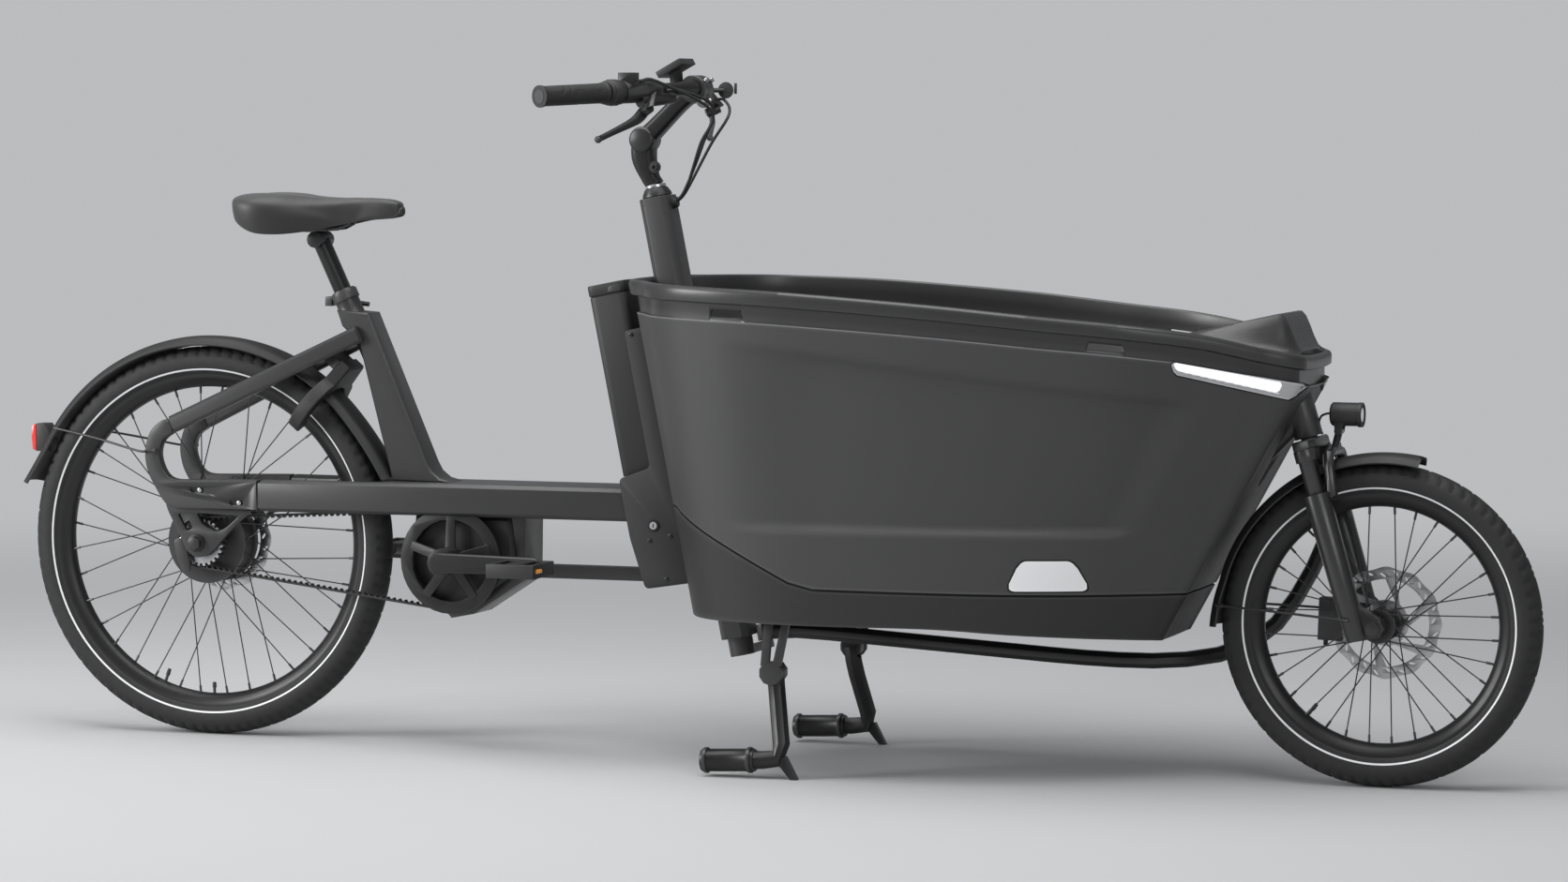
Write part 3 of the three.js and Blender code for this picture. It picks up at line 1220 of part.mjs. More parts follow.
// Fork lower part: sliding legs, arch, dropouts and the lamp bracket
const lampCentre = { x: 69, z: 25 };
const lampLength = 50;
const lampRadius = 19;
const lampPin = { x: 50, z: 3 };
const lampPinRadius = 6;
const lampPinHalf = 9;
const axleLocal = {
  x: forkOffset,
  z: -((wheelBase - crownX) * Math.sin(forkLean) + (crownZ - frontRadius) * Math.cos(forkLean)),
};
{
  const legTop = legRadius + 2.5;
  const bottom = axleLocal.z - 12;
  const legs = [-1, 1].map((sign) =>
    bar(vec(0, sign * legHalfGap, bottom), vec(0, sign * legHalfGap, lowersTop), legRadius - 1, 14, legTop),
  );
  const droplets = [-1, 1].map((sign) => {
    const y = span(sign, legHalfGap - legRadius + 1.5, legHalfGap + 8);
    return side(
      outline([[-10, bottom], [axleLocal.x + 4, axleLocal.z - 16], [axleLocal.x + 15, axleLocal.z - 6],
        [axleLocal.x + 12, axleLocal.z + 14], [4, axleLocal.z + 52], [-10, axleLocal.z + 40]]),
      y[0], y[1],
    );
  });
  const archX = 33;
  const archRadius = 9;
  const archZ = axleLocal.z + frontGuardRadius + guardThickness + archRadius + runGap;
  const arch = pipe(
    bentPath(
      [
        vec(legTop + overrun, -legHalfGap, lowersTop - archRadius),
        vec(archX, -legHalfGap + archRadius * 0.6, archZ),
        vec(archX, legHalfGap - archRadius * 0.6, archZ),
        vec(legTop + overrun, legHalfGap, lowersTop - archRadius),
      ],
      archRadius * 2.6,
    ),
    archRadius, 10, 8,
  );
  const bracket = join(
    bar(vec(archX, 0, archZ), vec(lampPin.x, 0, lampPin.z), lampPinRadius, 8),
    barrel(lampPinRadius, -lampPinHalf, lampPinHalf, lampPin.x, lampPin.z, 10),
  );
  const bores = [-1, 1].map((sign) =>
    bar(vec(0, sign * legHalfGap, lowersTop - legRadius * 4.5), vec(0, sign * legHalfGap, lowersTop + overrun), stanchionRadius + seatGap, 12),
  );
  const axleHalf = legHalfGap - legRadius * 0.2 + seatGap;
  const axleBoreTool = barrel(axleRadius + seatGap, -axleHalf, axleHalf, axleLocal.x, axleLocal.z, 12);
  const caps = [-1, 1].map((sign) => {
    const y = span(sign, legHalfGap + 6, legHalfGap + 13);
    return barrel(11, y[0], y[1], axleLocal.x, axleLocal.z, 10);
  });
  const ear = side(outline([[-50, axleLocal.z + 60], [0, axleLocal.z + 66], [0, axleLocal.z + 14], [-46, axleLocal.z + 18]]),
    legHalfGap - 2, legHalfGap + 6);
  node('fork_lower', cut(join(...legs, ...droplets, arch, bracket, ...caps, ear), ...bores, axleBoreTool), partBlack(), forkGroup);
}
// Headlight: a round housing that lies level, on two lugs astride the bracket's pin
{
  const level = vec(Math.cos(forkLean), 0, -Math.sin(forkLean));
  const middle = vec(lampCentre.x, 0, lampCentre.z);
  const on = (share) => middle.clone().addScaledVector(level, lampLength * share);
  const housing = bar(on(-0.44), on(0.5), lampRadius, 16);
  const back = bar(on(-0.5), on(-0.44), lampRadius * 0.84, 16, lampRadius);
  const lugThickness = 4;
  const lugs = [-1, 1].map((sign) => {
    const y = span(sign, lampPinHalf + runGap, lampPinHalf + runGap + lugThickness);
    const foot = barrel(lampPinRadius, y[0], y[1], lampPin.x, lampPin.z, 10);
    const web = side(
      outline([
        [lampPin.x - lampPinRadius * 0.8, lampPin.z], [lampPin.x + lampPinRadius, lampPin.z],
        [lampCentre.x, lampCentre.z], [lampCentre.x - lampRadius, lampCentre.z + lampPinRadius],
      ]),
      y[0], y[1],
    );
    return join(foot, web);
  });
  node('headlight', join(housing, back, ...lugs), partBlack(), forkGroup);
}

// Front mudguard with its flap and stays
{
  const place = group(wheelBase, 0, frontRadius);
  const tuck = 7;
  const flare = 8;
  const radiusAt = (share) => {
    const behind = Math.min(1, share / 0.55);
    const tail = Math.max(0, share - 0.85) / 0.15;
    return frontGuardRadius + guardThickness - tuck * behind + flare * tail;
  };
  const guard = blade(radiusAt, guardHalfWidth, guardThickness, 76, 182, 13);
  const tipX = frontGuardRadius * Math.cos(THREE.MathUtils.degToRad(76));
  const notch = plan(
    outline([[tipX - 18, 0], [tipX + overrun * 2, -11], [tipX + overrun * 2, 11]]),
    frontGuardRadius * 0.8, frontGuardRadius * 1.1,
  );
  const stays = [-1, 1].map((sign) =>
    bar(
      vec(-(frontGuardRadius - tuck) * 0.985, sign * (guardHalfWidth - 3), frontRadius * 0.1),
      vec(-forkOffset * 1.2, sign * (legHalfGap + legRadius - 0.5 + wireRadius), frontRadius * 0.05),
      wireRadius, 5,
    ),
  );
  node('front_mudguard', join(cut(guard, notch), ...stays), plasticBlack(), place);
}

// Brake calipers astride the discs
function caliper(name, x, z, angle, discY, jawIn, jawOut, reach, place) {
  const size = 34;
  const body = block(-size * 0.55, size * 0.6, discY - jawIn, discY + jawOut, -size, size);
  const slot = block(-size, size * 0.42, discY - discThickness / 2 - runGap, discY + discThickness / 2 + runGap, -size * 2, size * 2);
  const hose = bar(vec(size * 0.3, discY + jawOut * 0.5, size - 2), vec(size * 0.3, discY + jawOut * 0.5, size + 10), 4, 8);
  const turned = join(cut(body, slot), hose).rotate([0, (-angle * 180) / Math.PI, 0]).translate([
    x + reach * Math.cos(angle), 0, z + reach * Math.sin(angle),
  ]);
  node(name, turned, partBlack(), place);
}
caliper('rear_caliper', 0, rearRadius, THREE.MathUtils.degToRad(58), rearDiscY, 12, stayHalfGap - rearDiscY - seatGap, discRadius * 0.96, bike);
caliper('front_caliper', wheelBase, frontRadius, THREE.MathUtils.degToRad(178), frontDiscY, 7, legHalfGap - 2 - frontDiscY - seatGap, discRadius * 0.98, bike);

// Cranks: axle, right arm with spider, toothed ring and guard, left arm
const armRight = -(beamHalfWidth + 33);
const crankThickness = 12;
function crankArm(sign) {
  const x0 = crankX;
  const x1 = crankX - sign * crankLength;
  const y = span(sign, beamHalfWidth + 33, beamHalfWidth + 33 + crankThickness);
  const half = crankWidth / 2;
  const points = [];
  for (let k = 0; k <= 6; k += 1) {
    const angle = Math.PI / 2 + (Math.PI * k) / 6;
    points.push([x0 + sign * -1 * half * Math.cos(angle), crankZ + half * Math.sin(angle)]);
  }
  for (let k = 0; k <= 6; k += 1) {
    const angle = -Math.PI / 2 + (Math.PI * k) / 6;
    points.push([x1 + sign * -1 * half * 0.8 * Math.cos(angle), crankZ + half * 0.8 * Math.sin(angle)]);
  }
  return side(outline(points), y[0], y[1], 2.5);
}
const pedalAxleRadius = 6;
{
  const ringShape = cogOutline(ringTeeth, ringRadius);
  ringShape.holes.push(ring(ringRadius - beltPitch * 1.3, 24));
  const guardY = beltY - beltWidth / 2;
  const toothed = side(ringShape, guardY - 2, beltY + beltWidth / 2);
  const guardShape = ring(guardRingRadius, 36);
  guardShape.holes.push(ring(ringRadius - beltPitch * 1.3, 24));
  const guard = side(guardShape, guardY - 5, guardY - 1);
  const move = (body) => body.translate([crankX, 0, crankZ]);
  const hub = barrel(24, -(beamHalfWidth + 34), guardY - 1, crankX, crankZ, 12);
  const arms = [0, 1, 2, 3, 4].map((k) => {
    const angle = (2 * Math.PI * k) / 5 + 0.3;
    const tip = ringRadius - beltPitch * 0.85;
    const tipPoint = vec(crankX + tip * Math.cos(angle), guardY - 3.5, crankZ + tip * Math.sin(angle));
    return stay(vec(crankX, guardY - 6, crankZ), tipPoint, 20, 16, 6, 5);
  });
  const axle = barrel(axleBore - runGap, -(beamHalfWidth + 34), beamHalfWidth + 33 + crankThickness * 0.5, crankX, crankZ, 12);
  const pedalBore = barrel(pedalAxleRadius + seatGap, armRight * 2, 0, crankX + crankLength, crankZ, 12);
  const arm = cut(crankArm(-1), pedalBore);
  node('crank_right', join(move(toothed), move(guard), hub, ...arms, axle, arm), partBlack(), bike);
  const leftBore = barrel(axleBore - runGap + seatGap, 0, beamHalfWidth + 33 + crankThickness * 0.5 + seatGap, crankX, crankZ, 12);
  const leftPedalBore = barrel(pedalAxleRadius + seatGap, 0, -armRight * 2, crankX - crankLength, crankZ, 12);
  const boss = barrel(20, motorLeft + overrun * 3, beamHalfWidth + 34, crankX, crankZ, 12);
  node('crank_left', cut(join(crankArm(1), boss), leftBore, leftPedalBore), partBlack(), bike);
}

// Pedals on their own axles
for (const [name, sign] of [['right', -1], ['left', 1]]) {
  const x = crankX - sign * crankLength;
  const start = beamHalfWidth + 33 + crankThickness + 8;
  const y = span(sign, start, start + pedalWidth);
  const body = block(x - pedalLength / 2, x + pedalLength / 2, y[0], y[1], crankZ - pedalDepth / 2, crankZ + pedalDepth / 2);
  const windows = [-1, 1].map((end) => {
    const xs = span(end, axleRadius * 2, pedalLength / 2 - 9);
    return block(x + xs[0], x + xs[1], y[0] + 12, y[1] - 12, crankZ - pedalDepth, crankZ + pedalDepth);
  });
  const axleY = span(sign, beamHalfWidth + 34, start + overrun);
  const axle = barrel(pedalAxleRadius, axleY[0], axleY[1], x, crankZ, 12);
  node(`pedal_${name}`, join(cut(body, ...windows), axle), plasticBlack(), bike);
}

// Two-legged stand: each leg splays out and forward, then bends back into its rubber foot
const standSplay = 34;
const standForward = 24;
for (const [name, sign] of [['right', -1], ['left', 1]]) {
  const yMid = standBracketY - plateHalf - runGap - standTubeRadius;
  const at = (x, out, z) => vec(standPivotX + x, sign * (yMid + out), z);
  const hub = barrel(
    standTubeRadius * 1.12, ...span(sign, yMid - standTubeRadius * 0.6, standBracketY - plateHalf - runGap),
    standPivotX, standPivotZ, 10,
  );
  const heelZ = standTubeRadius * 1.9;
  const footX = -standPivotZ * 0.62;
  const path = bentPath(
    [
      at(0, 0, standPivotZ), at(standForward * 0.1, 0, standPivotZ - standTubeRadius * 1.7),
      at(standForward, standSplay, heelZ), at(footX, standSplay, heelZ - standTubeRadius * 0.35),
    ],
    standTubeRadius * 1.2,
  );
  const leg = pipe(path, standTubeRadius * 0.9, 11, 8);
  const along = (share) => at(standForward + (footX - standForward) * share, standSplay, heelZ - standTubeRadius * 0.35 * share);
  const rubber = bar(along(0.36), along(1.06), standTubeRadius * 1.12, 10);
  const ribs = [0.4, 0.98].map((share) => bar(along(share), along(share + 0.05), standTubeRadius * 1.28, 10));
  const tabY = span(sign, yMid + standSplay - standTubeRadius * 0.4, yMid + standSplay + standTubeRadius * 0.4);
  const tab = side(
    outline([[standForward - 12, heelZ], [standForward + 6, heelZ + 6], [standForward + 26, 0], [standForward + 15, 0]]
      .map(([x, z]) => [standPivotX + x, z])),
    tabY[0], tabY[1],
  );
  node(`stand_${name}`, join(hub, leg, rubber, ...ribs, tab), partBlack(), bike);
}

// Steering column inside the sleeve, stem and lower steering arm, in the column's own frame
const barReach = 69;
const barRise = 179;
const barLocal = {
  x: barReach * Math.cos(columnLean) + barRise * Math.sin(columnLean),
  z: barRise * Math.cos(columnLean) - barReach * Math.sin(columnLean),
};
const stemBend = barRise * 0.63;
const stemRadius = 21;
const linkPinRadius = 6;
const armTop = armZ + armThickness / 2;
// The stem's neck: straight up from the collar, then swept forward to the clamp
function stemNeck(grow) {
  const path = smooth(
    vec(0, 0, runGap * 3),
    vec(0, 0, stemBend * 0.45),
    vec(stemRadius * 0.08, 0, stemBend * 0.8),
    vec(barLocal.x * 0.34, 0, barLocal.z * 0.8),
    vec(barLocal.x - barRadius * 0.5, 0, barLocal.z - barRadius * 0.4),
  );
  return taperPipe(path, (share) => stemRadius * (1 - 0.14 * share) + grow, 9, 12);
}
{
  const steerer = bar(vec(0, 0, armZ - armThickness / 2), vec(0, 0, runGap * 4), steererRadius, 12);
  const collar = bar(vec(0, 0, runGap), vec(0, 0, stemRadius), stemRadius * 1.35, 18, stemRadius);
  const clamp = barrel(barRadius + 7, -stemRadius, stemRadius, barLocal.x, barLocal.z, 16);
  const bore = barrel(barRadius + seatGap, -stemRadius * 2, stemRadius * 2, barLocal.x, barLocal.z, 16);
  const hub = bar(vec(0, 0, armZ - armThickness / 2), vec(0, 0, -sleeveLength - runGap), steererRadius * 1.5, 12);
  const armWide = linkPinRadius * 2.4;
  const arm = plan(
    outline([
      [-armWide, 0], [armEnd.x - armWide * 0.8, armEnd.y], [armEnd.x - armWide * 0.5, armEnd.y + armWide * 0.8],
      [armEnd.x + armWide * 0.4, armEnd.y + armWide * 0.7], [armEnd.x + armWide * 0.5, armEnd.y], [armWide * 1.2, 0],
    ]),
    armZ - armThickness / 2, armTop,
  );
  const pin = bar(vec(armEnd.x, armEnd.y, armZ), vec(armEnd.x, armEnd.y, armTop + linkRadius * 2 + 6), linkPinRadius, 10);
  node('stem', join(cut(join(steerer, collar, stemNeck(0), clamp), bore), hub, arm, pin), partBlack(), columnGroup);
}

// Handlebar: a straight clamp area and two swept ends; places are measured from the clamp
const barGroup = group(columnTopX + barReach, 0, columnTopZ + barRise);
const barTube = gripRadius * 0.68;
const barEnd = (sign) => vec(-0.433 * barHalfWidth, sign * barHalfWidth, -0.039 * barHalfWidth);
const barCorner = (sign) => vec(0, sign * 0.165 * barHalfWidth, 0);
const barAlong = (sign, share) => barCorner(sign).lerp(barEnd(sign), share);
{
  const sweep = pipe(bentPath([barEnd(-1), barCorner(-1), barCorner(1), barEnd(1)], barHalfWidth * 0.06), barTube, 17, 8);
  const centre = barrel(barRadius, -barHalfWidth * 0.09, barHalfWidth * 0.09, 0, 0, 16);
  node('handlebar', join(sweep, centre), partBlack(), barGroup);
}
const barBore = (sign) => bar(barAlong(sign, 0.05), barAlong(sign, 1.1), barTube * 1.02 + seatGap, 12);
for (const [name, sign, start] of [['right', -1, 0.56], ['left', 1, 0.4]]) {
  const flange = bar(barAlong(sign, start), barAlong(sign, start + 0.02), gripRadius * 1.2, 12);
  const grip = bar(barAlong(sign, start), barAlong(sign, 0.995), gripRadius, 14, gripRadius * 1.03);
  node(`grip_${name}`, cut(join(grip, flange), barBore(sign)), rubberBlack(), barGroup);
}
{
  const sleeve = bar(barAlong(-1, 0.455), barAlong(-1, 0.55), gripRadius * 1.22, 12);
  const rib = bar(barAlong(-1, 0.48), barAlong(-1, 0.53), gripRadius * 1.32, 12);
  node('twist_shifter', cut(join(sleeve, rib), barBore(-1)), rubberBlack(), barGroup);
}

// Brake levers: clamp and body on the bar, lever turning below it
const leverPivot = (sign) => vec(-30, sign * 160, -36);
const leverTip = (sign) => vec(-71, sign * 270, -82);
const leverAxis = (sign) => {
  const away = leverTip(sign).sub(leverPivot(sign));
  const toGrip = barAlong(sign, 0.75).sub(leverTip(sign));
  return away.cross(toGrip).normalize();
};
const hubRadius = 8;
for (const [name, sign] of [['right', -1], ['left', 1]]) {
  const axis = leverAxis(sign).multiplyScalar(sign);
  const pivot = leverPivot(sign);
  const clamp = bar(barAlong(sign, 0.2), barAlong(sign, 0.31), gripRadius * 1.08, 12);
  const arm = stay(barAlong(sign, 0.25).add(vec(4, 0, -4)), pivot.clone().addScaledVector(axis, 13), 25, 16, 22, 14);
  const end = bar(pivot.clone(), pivot.clone().addScaledVector(axis, 12), hubRadius + 1, 12);
  const parts = [clamp, arm, end];
  if (sign < 0) {
    parts.push(bar(barAlong(sign, 0.3), barAlong(sign, 0.445), gripRadius * 1.15, 12));
    const podAt = barAlong(sign, 0.39);
    parts.push(block(podAt.x - 14, podAt.x + 12, podAt.y - 14, podAt.y + 14, podAt.z + 4, podAt.z + 31));
  }
  node(`brake_mount_${name}`, cut(join(...parts), barBore(sign)), partBlack(), barGroup);

  const low = pivot.clone().addScaledVector(axis, -runGap * 1.5);
  const hubEnd = pivot.clone().addScaledVector(axis, -runGap - 11);
  const mid = low.clone().lerp(hubEnd, 0.5);
  const tip = leverTip(sign).addScaledVector(axis, -runGap - 4);
  const bend = mid.clone().lerp(tip, 0.35).add(vec(9, 0, -5));
  const lever = join(
    bar(low, hubEnd, hubRadius, 12),
    stay(mid, bend, 11, 10, 9, 9),
    stay(bend, tip, 10, 9, 9, 8),
    bar(tip.clone().add(vec(0, -3 * sign, 0)), tip.clone().add(vec(0, 4 * sign, 0)), 6.5, 8),
  );
  node(`brake_lever_${name}`, lever, partBlack(), barGroup);
}

// Display on a foot above the stem, and the bell with its striker
{
  const tilt = -THREE.MathUtils.degToRad(29);
  const plate = placedAt(new THREE.BoxGeometry(48, 66, 11), tilt, -37, 34);
  const foot = bar(vec(-37, 0, 34), vec(-34, 0, -6), 11, 10);
  const neckRoom = takenIntoGroup(placedAtGroup(stemNeck(seatGap), columnGroup), barGroup);
  node('display', join(plate, cut(foot, neckRoom)), partBlack(), barGroup);
}
const bellAt = vec(10, 118, -2);
{
  const band = bar(barAlong(1, 0.13), barAlong(1, 0.18), barTube * 1.4, 12);
  const reach = bar(barAlong(1, 0.155), bellAt.clone().add(vec(-4, -4, 0)), 4, 8);
  const dome = bar(bellAt.clone().add(vec(0, -4, 0)), bellAt.clone().add(vec(0, 8, 0)), 14, 16, 9);
  node('bell', cut(join(band, reach, dome), barBore(1)), partBlack(), barGroup);
  const knob = bar(bellAt.clone().add(vec(17, -3, -6)), bellAt.clone().add(vec(17, -3, 12)), 2.6, 8);
  node('bell_striker', knob, steelBright(), barGroup);
}

// Steering rod: eyes at both ends and one bent tube that passes outside the front wheel
const columnPoint = (x, y, z) => vec(x, y, z).applyAxisAngle(vec(0, 1, 0), -columnLean).add(columnGroup.position);
{
  const eyeRadius = 17;
  const rearEye = columnPoint(armEnd.x, armEnd.y, armTop + runGap * 2 + linkRadius);
  const frontEye = forkPoint(armEnd.x, armEnd.y, linkZ);
  const span3 = frontEye.clone().sub(rearEye);
  const at = (share, y, z) => vec(rearEye.x + span3.x * share, y, z);
  const out = linkArm;
  const path = smooth(
    rearEye,
    rearEye.clone().add(vec(linkArm * 0.5, 0, linkRadius * 0.25)),
    at(0.3, out, frontRadius * 0.74),
    at(0.6, out * 1.05, frontRadius * 0.68),
    at(0.69, out * 1.3, frontRadius * 0.672),
    at(0.78, out * 1.77, frontRadius * 0.705),
    at(0.848, out * 2.06, frontRadius * 0.82),
    at(0.908, out * 2.12, frontRadius * 1.1),
    at(0.955, out * 1.9, frontRadius * 1.43),
    at(0.99, out * 1.45, frontRadius * 1.75),
    frontEye,
  );
  const tube = taperPipe(path, () => linkRadius, 22, 8);
  const columnUp = columnPoint(0, 0, 1).sub(columnGroup.position);
  const forkUp = vec(0, 0, 1).applyAxisAngle(vec(0, 1, 0), -forkLean);
  const ends = [[rearEye, columnUp, linkRadius], [frontEye, forkUp, 9]];
  const eyes = ends.map(([p, up, h]) => bar(p.clone().addScaledVector(up, -h), p.clone().addScaledVector(up, h), eyeRadius, 12));
  const rearBore = bar(rearEye.clone().addScaledVector(columnUp, -40), rearEye.clone().addScaledVector(columnUp, 40), linkPinRadius + seatGap, 12);
  const frontBore = bar(frontEye.clone().addScaledVector(forkUp, -40), frontEye.clone().addScaledVector(forkUp, 40), pinRadius + looseGap, 12);
  node('steering_rod', cut(join(tube, ...eyes), rearBore, frontBore), partBlack(), bike);
}

// Cables: two brake hoses and the shift cable, from the controls to the grommet on the column
{
  const cableRadius = 3;
  const grommetZ = -14;
  const grommet = columnPoint(columnDepth / 2 + seatGap, 0, grommetZ).sub(barGroup.position);
  const inward = columnPoint(columnDepth / 2 + 14, 0, grommetZ).sub(barGroup.position);
  const starts = [
    [barAlong(-1, 0.22).add(vec(24, 8, 0)), -26],
    [barAlong(-1, 0.39).add(vec(21, 8, 20)), -44],
    [barAlong(1, 0.26).add(vec(26, 6, -14)), 30],
  ];
  const tubes = starts.map(([start, y], i) => {
    const path = smooth(
      start,
      start.clone().add(vec(20, -start.y * 0.1, -4)),
      vec(30 + i * 4, y, -32 - i * 6),
      vec(10, y * 0.7, -90),
      inward.clone().add(vec(9, (i - 1) * 6, 12)),
      inward.clone().add(vec(-2, (i - 1) * 6, 0)),
    );
    return taperPipe(path, () => cableRadius, 13, 6);
  });
  const plug = bar(grommet, inward, 12, 14, 9);
  node('cables', join(plug, ...tubes), rubberBlack(), barGroup);
}

// The whole bike, moved so that the middle of its length stands over the origin
const part = new THREE.Group();
bike.updateMatrixWorld(true);
const reachBox = new THREE.Box3().setFromObject(bike);
bike.position.x = -(reachBox.min.x + reachBox.max.x) / 2;
part.add(bike);

export default part;
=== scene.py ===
# %% [markdown]
# # Dressing a front-box cargo bike
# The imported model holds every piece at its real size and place, and how each one moves. This lesson gives
# those pieces the look of the photographed bike: rounded edges, moulded panels, rubber, wire and lamps.
# Everything is in metres, with +X forward, +Y to the rider's left and +Z up from the floor.
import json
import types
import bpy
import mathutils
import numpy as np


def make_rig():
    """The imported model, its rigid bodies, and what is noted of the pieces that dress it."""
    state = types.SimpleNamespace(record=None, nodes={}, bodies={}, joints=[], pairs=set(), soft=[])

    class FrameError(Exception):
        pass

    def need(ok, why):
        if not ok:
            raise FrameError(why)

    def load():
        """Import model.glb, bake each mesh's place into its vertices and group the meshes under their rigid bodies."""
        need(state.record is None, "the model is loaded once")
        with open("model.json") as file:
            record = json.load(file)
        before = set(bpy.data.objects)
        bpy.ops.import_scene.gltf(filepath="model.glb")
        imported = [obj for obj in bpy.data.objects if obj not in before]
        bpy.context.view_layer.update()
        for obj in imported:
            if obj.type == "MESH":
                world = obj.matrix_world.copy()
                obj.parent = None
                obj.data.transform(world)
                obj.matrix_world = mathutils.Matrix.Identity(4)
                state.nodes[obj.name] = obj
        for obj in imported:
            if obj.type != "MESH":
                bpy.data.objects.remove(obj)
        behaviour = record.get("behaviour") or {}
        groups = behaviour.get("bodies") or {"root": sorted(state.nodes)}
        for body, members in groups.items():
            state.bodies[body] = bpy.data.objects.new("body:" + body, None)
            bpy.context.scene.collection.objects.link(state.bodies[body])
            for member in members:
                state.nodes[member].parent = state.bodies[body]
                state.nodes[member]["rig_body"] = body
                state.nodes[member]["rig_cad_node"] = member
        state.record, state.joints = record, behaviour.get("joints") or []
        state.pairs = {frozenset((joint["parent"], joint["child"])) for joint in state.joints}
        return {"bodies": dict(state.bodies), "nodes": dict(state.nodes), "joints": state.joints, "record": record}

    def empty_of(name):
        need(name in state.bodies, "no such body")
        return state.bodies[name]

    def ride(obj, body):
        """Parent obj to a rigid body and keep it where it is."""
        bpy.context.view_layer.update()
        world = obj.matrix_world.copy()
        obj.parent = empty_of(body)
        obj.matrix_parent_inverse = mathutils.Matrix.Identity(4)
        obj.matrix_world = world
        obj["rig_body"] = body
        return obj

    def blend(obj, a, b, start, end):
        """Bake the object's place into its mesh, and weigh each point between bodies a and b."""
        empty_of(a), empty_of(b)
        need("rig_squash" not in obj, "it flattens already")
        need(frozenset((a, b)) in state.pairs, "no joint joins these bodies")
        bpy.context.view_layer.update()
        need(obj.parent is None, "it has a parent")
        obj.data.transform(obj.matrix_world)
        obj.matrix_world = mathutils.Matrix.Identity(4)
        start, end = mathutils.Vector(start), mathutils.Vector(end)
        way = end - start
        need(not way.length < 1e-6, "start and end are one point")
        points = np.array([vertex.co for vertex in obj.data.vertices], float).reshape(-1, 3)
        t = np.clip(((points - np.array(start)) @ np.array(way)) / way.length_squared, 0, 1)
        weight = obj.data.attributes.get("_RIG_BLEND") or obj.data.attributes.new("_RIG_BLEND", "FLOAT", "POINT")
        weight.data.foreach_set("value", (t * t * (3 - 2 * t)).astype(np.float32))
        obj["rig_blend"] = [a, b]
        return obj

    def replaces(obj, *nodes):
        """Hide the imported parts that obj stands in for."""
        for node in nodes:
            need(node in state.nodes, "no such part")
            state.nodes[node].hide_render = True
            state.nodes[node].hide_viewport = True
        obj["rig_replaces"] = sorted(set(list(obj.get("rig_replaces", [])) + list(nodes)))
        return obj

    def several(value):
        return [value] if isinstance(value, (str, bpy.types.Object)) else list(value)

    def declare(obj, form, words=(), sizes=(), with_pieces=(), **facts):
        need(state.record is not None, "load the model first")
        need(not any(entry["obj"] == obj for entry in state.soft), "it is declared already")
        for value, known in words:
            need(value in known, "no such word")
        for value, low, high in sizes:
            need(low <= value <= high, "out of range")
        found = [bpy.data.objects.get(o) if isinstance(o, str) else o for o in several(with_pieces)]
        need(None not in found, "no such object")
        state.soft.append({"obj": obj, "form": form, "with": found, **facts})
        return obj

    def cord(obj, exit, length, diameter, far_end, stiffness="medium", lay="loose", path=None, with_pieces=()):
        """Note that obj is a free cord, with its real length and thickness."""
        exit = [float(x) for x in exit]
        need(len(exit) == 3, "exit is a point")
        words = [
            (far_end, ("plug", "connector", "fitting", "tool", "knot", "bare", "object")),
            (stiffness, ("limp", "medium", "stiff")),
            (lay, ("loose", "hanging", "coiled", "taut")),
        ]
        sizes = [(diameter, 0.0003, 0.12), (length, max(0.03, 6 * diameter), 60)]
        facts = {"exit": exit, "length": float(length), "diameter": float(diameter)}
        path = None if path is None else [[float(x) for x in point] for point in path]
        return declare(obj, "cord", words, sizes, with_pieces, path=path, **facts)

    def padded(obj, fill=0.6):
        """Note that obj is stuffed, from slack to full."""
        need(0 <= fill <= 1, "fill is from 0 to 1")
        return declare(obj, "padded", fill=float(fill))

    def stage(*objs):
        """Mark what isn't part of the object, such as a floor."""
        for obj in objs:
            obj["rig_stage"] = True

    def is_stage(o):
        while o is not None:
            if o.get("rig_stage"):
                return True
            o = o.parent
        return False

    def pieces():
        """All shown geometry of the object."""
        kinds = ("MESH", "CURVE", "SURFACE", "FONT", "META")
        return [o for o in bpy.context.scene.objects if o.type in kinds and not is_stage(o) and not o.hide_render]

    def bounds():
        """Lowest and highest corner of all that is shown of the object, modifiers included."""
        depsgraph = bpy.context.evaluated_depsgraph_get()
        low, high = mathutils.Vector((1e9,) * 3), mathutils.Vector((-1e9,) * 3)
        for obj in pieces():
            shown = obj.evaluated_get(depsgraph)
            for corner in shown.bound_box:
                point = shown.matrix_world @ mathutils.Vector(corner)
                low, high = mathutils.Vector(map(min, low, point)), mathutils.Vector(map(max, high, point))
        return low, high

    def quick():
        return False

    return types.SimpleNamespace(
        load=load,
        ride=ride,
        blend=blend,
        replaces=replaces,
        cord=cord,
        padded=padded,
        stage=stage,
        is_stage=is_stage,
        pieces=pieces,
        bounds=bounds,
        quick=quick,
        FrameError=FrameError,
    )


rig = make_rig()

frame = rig.load()

import json
import math

import bpy
from mathutils import Matrix, Vector

solid_low, solid_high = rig.bounds()
solid_size = [round(high - low, 3) for low, high in zip(solid_low, solid_high)]
print("packed pieces:", len(frame["nodes"]), "size:", solid_size)

# %% [markdown]
# The camera comes first, because everything is judged through it. The photograph was taken with a long
# lens from the right side, a little ahead of the bike and just above handlebar height. The long lens keeps
# the two wheels at nearly the same scale.

# %% Camera
FOCAL_LENGTH, SENSOR_WIDTH = 111.96, 36.0
CAMERA_PLACE = (2.6904, -7.574, 1.078)
LOOKS_DOWN, TURNED_LEFT = 3.926, 19.105


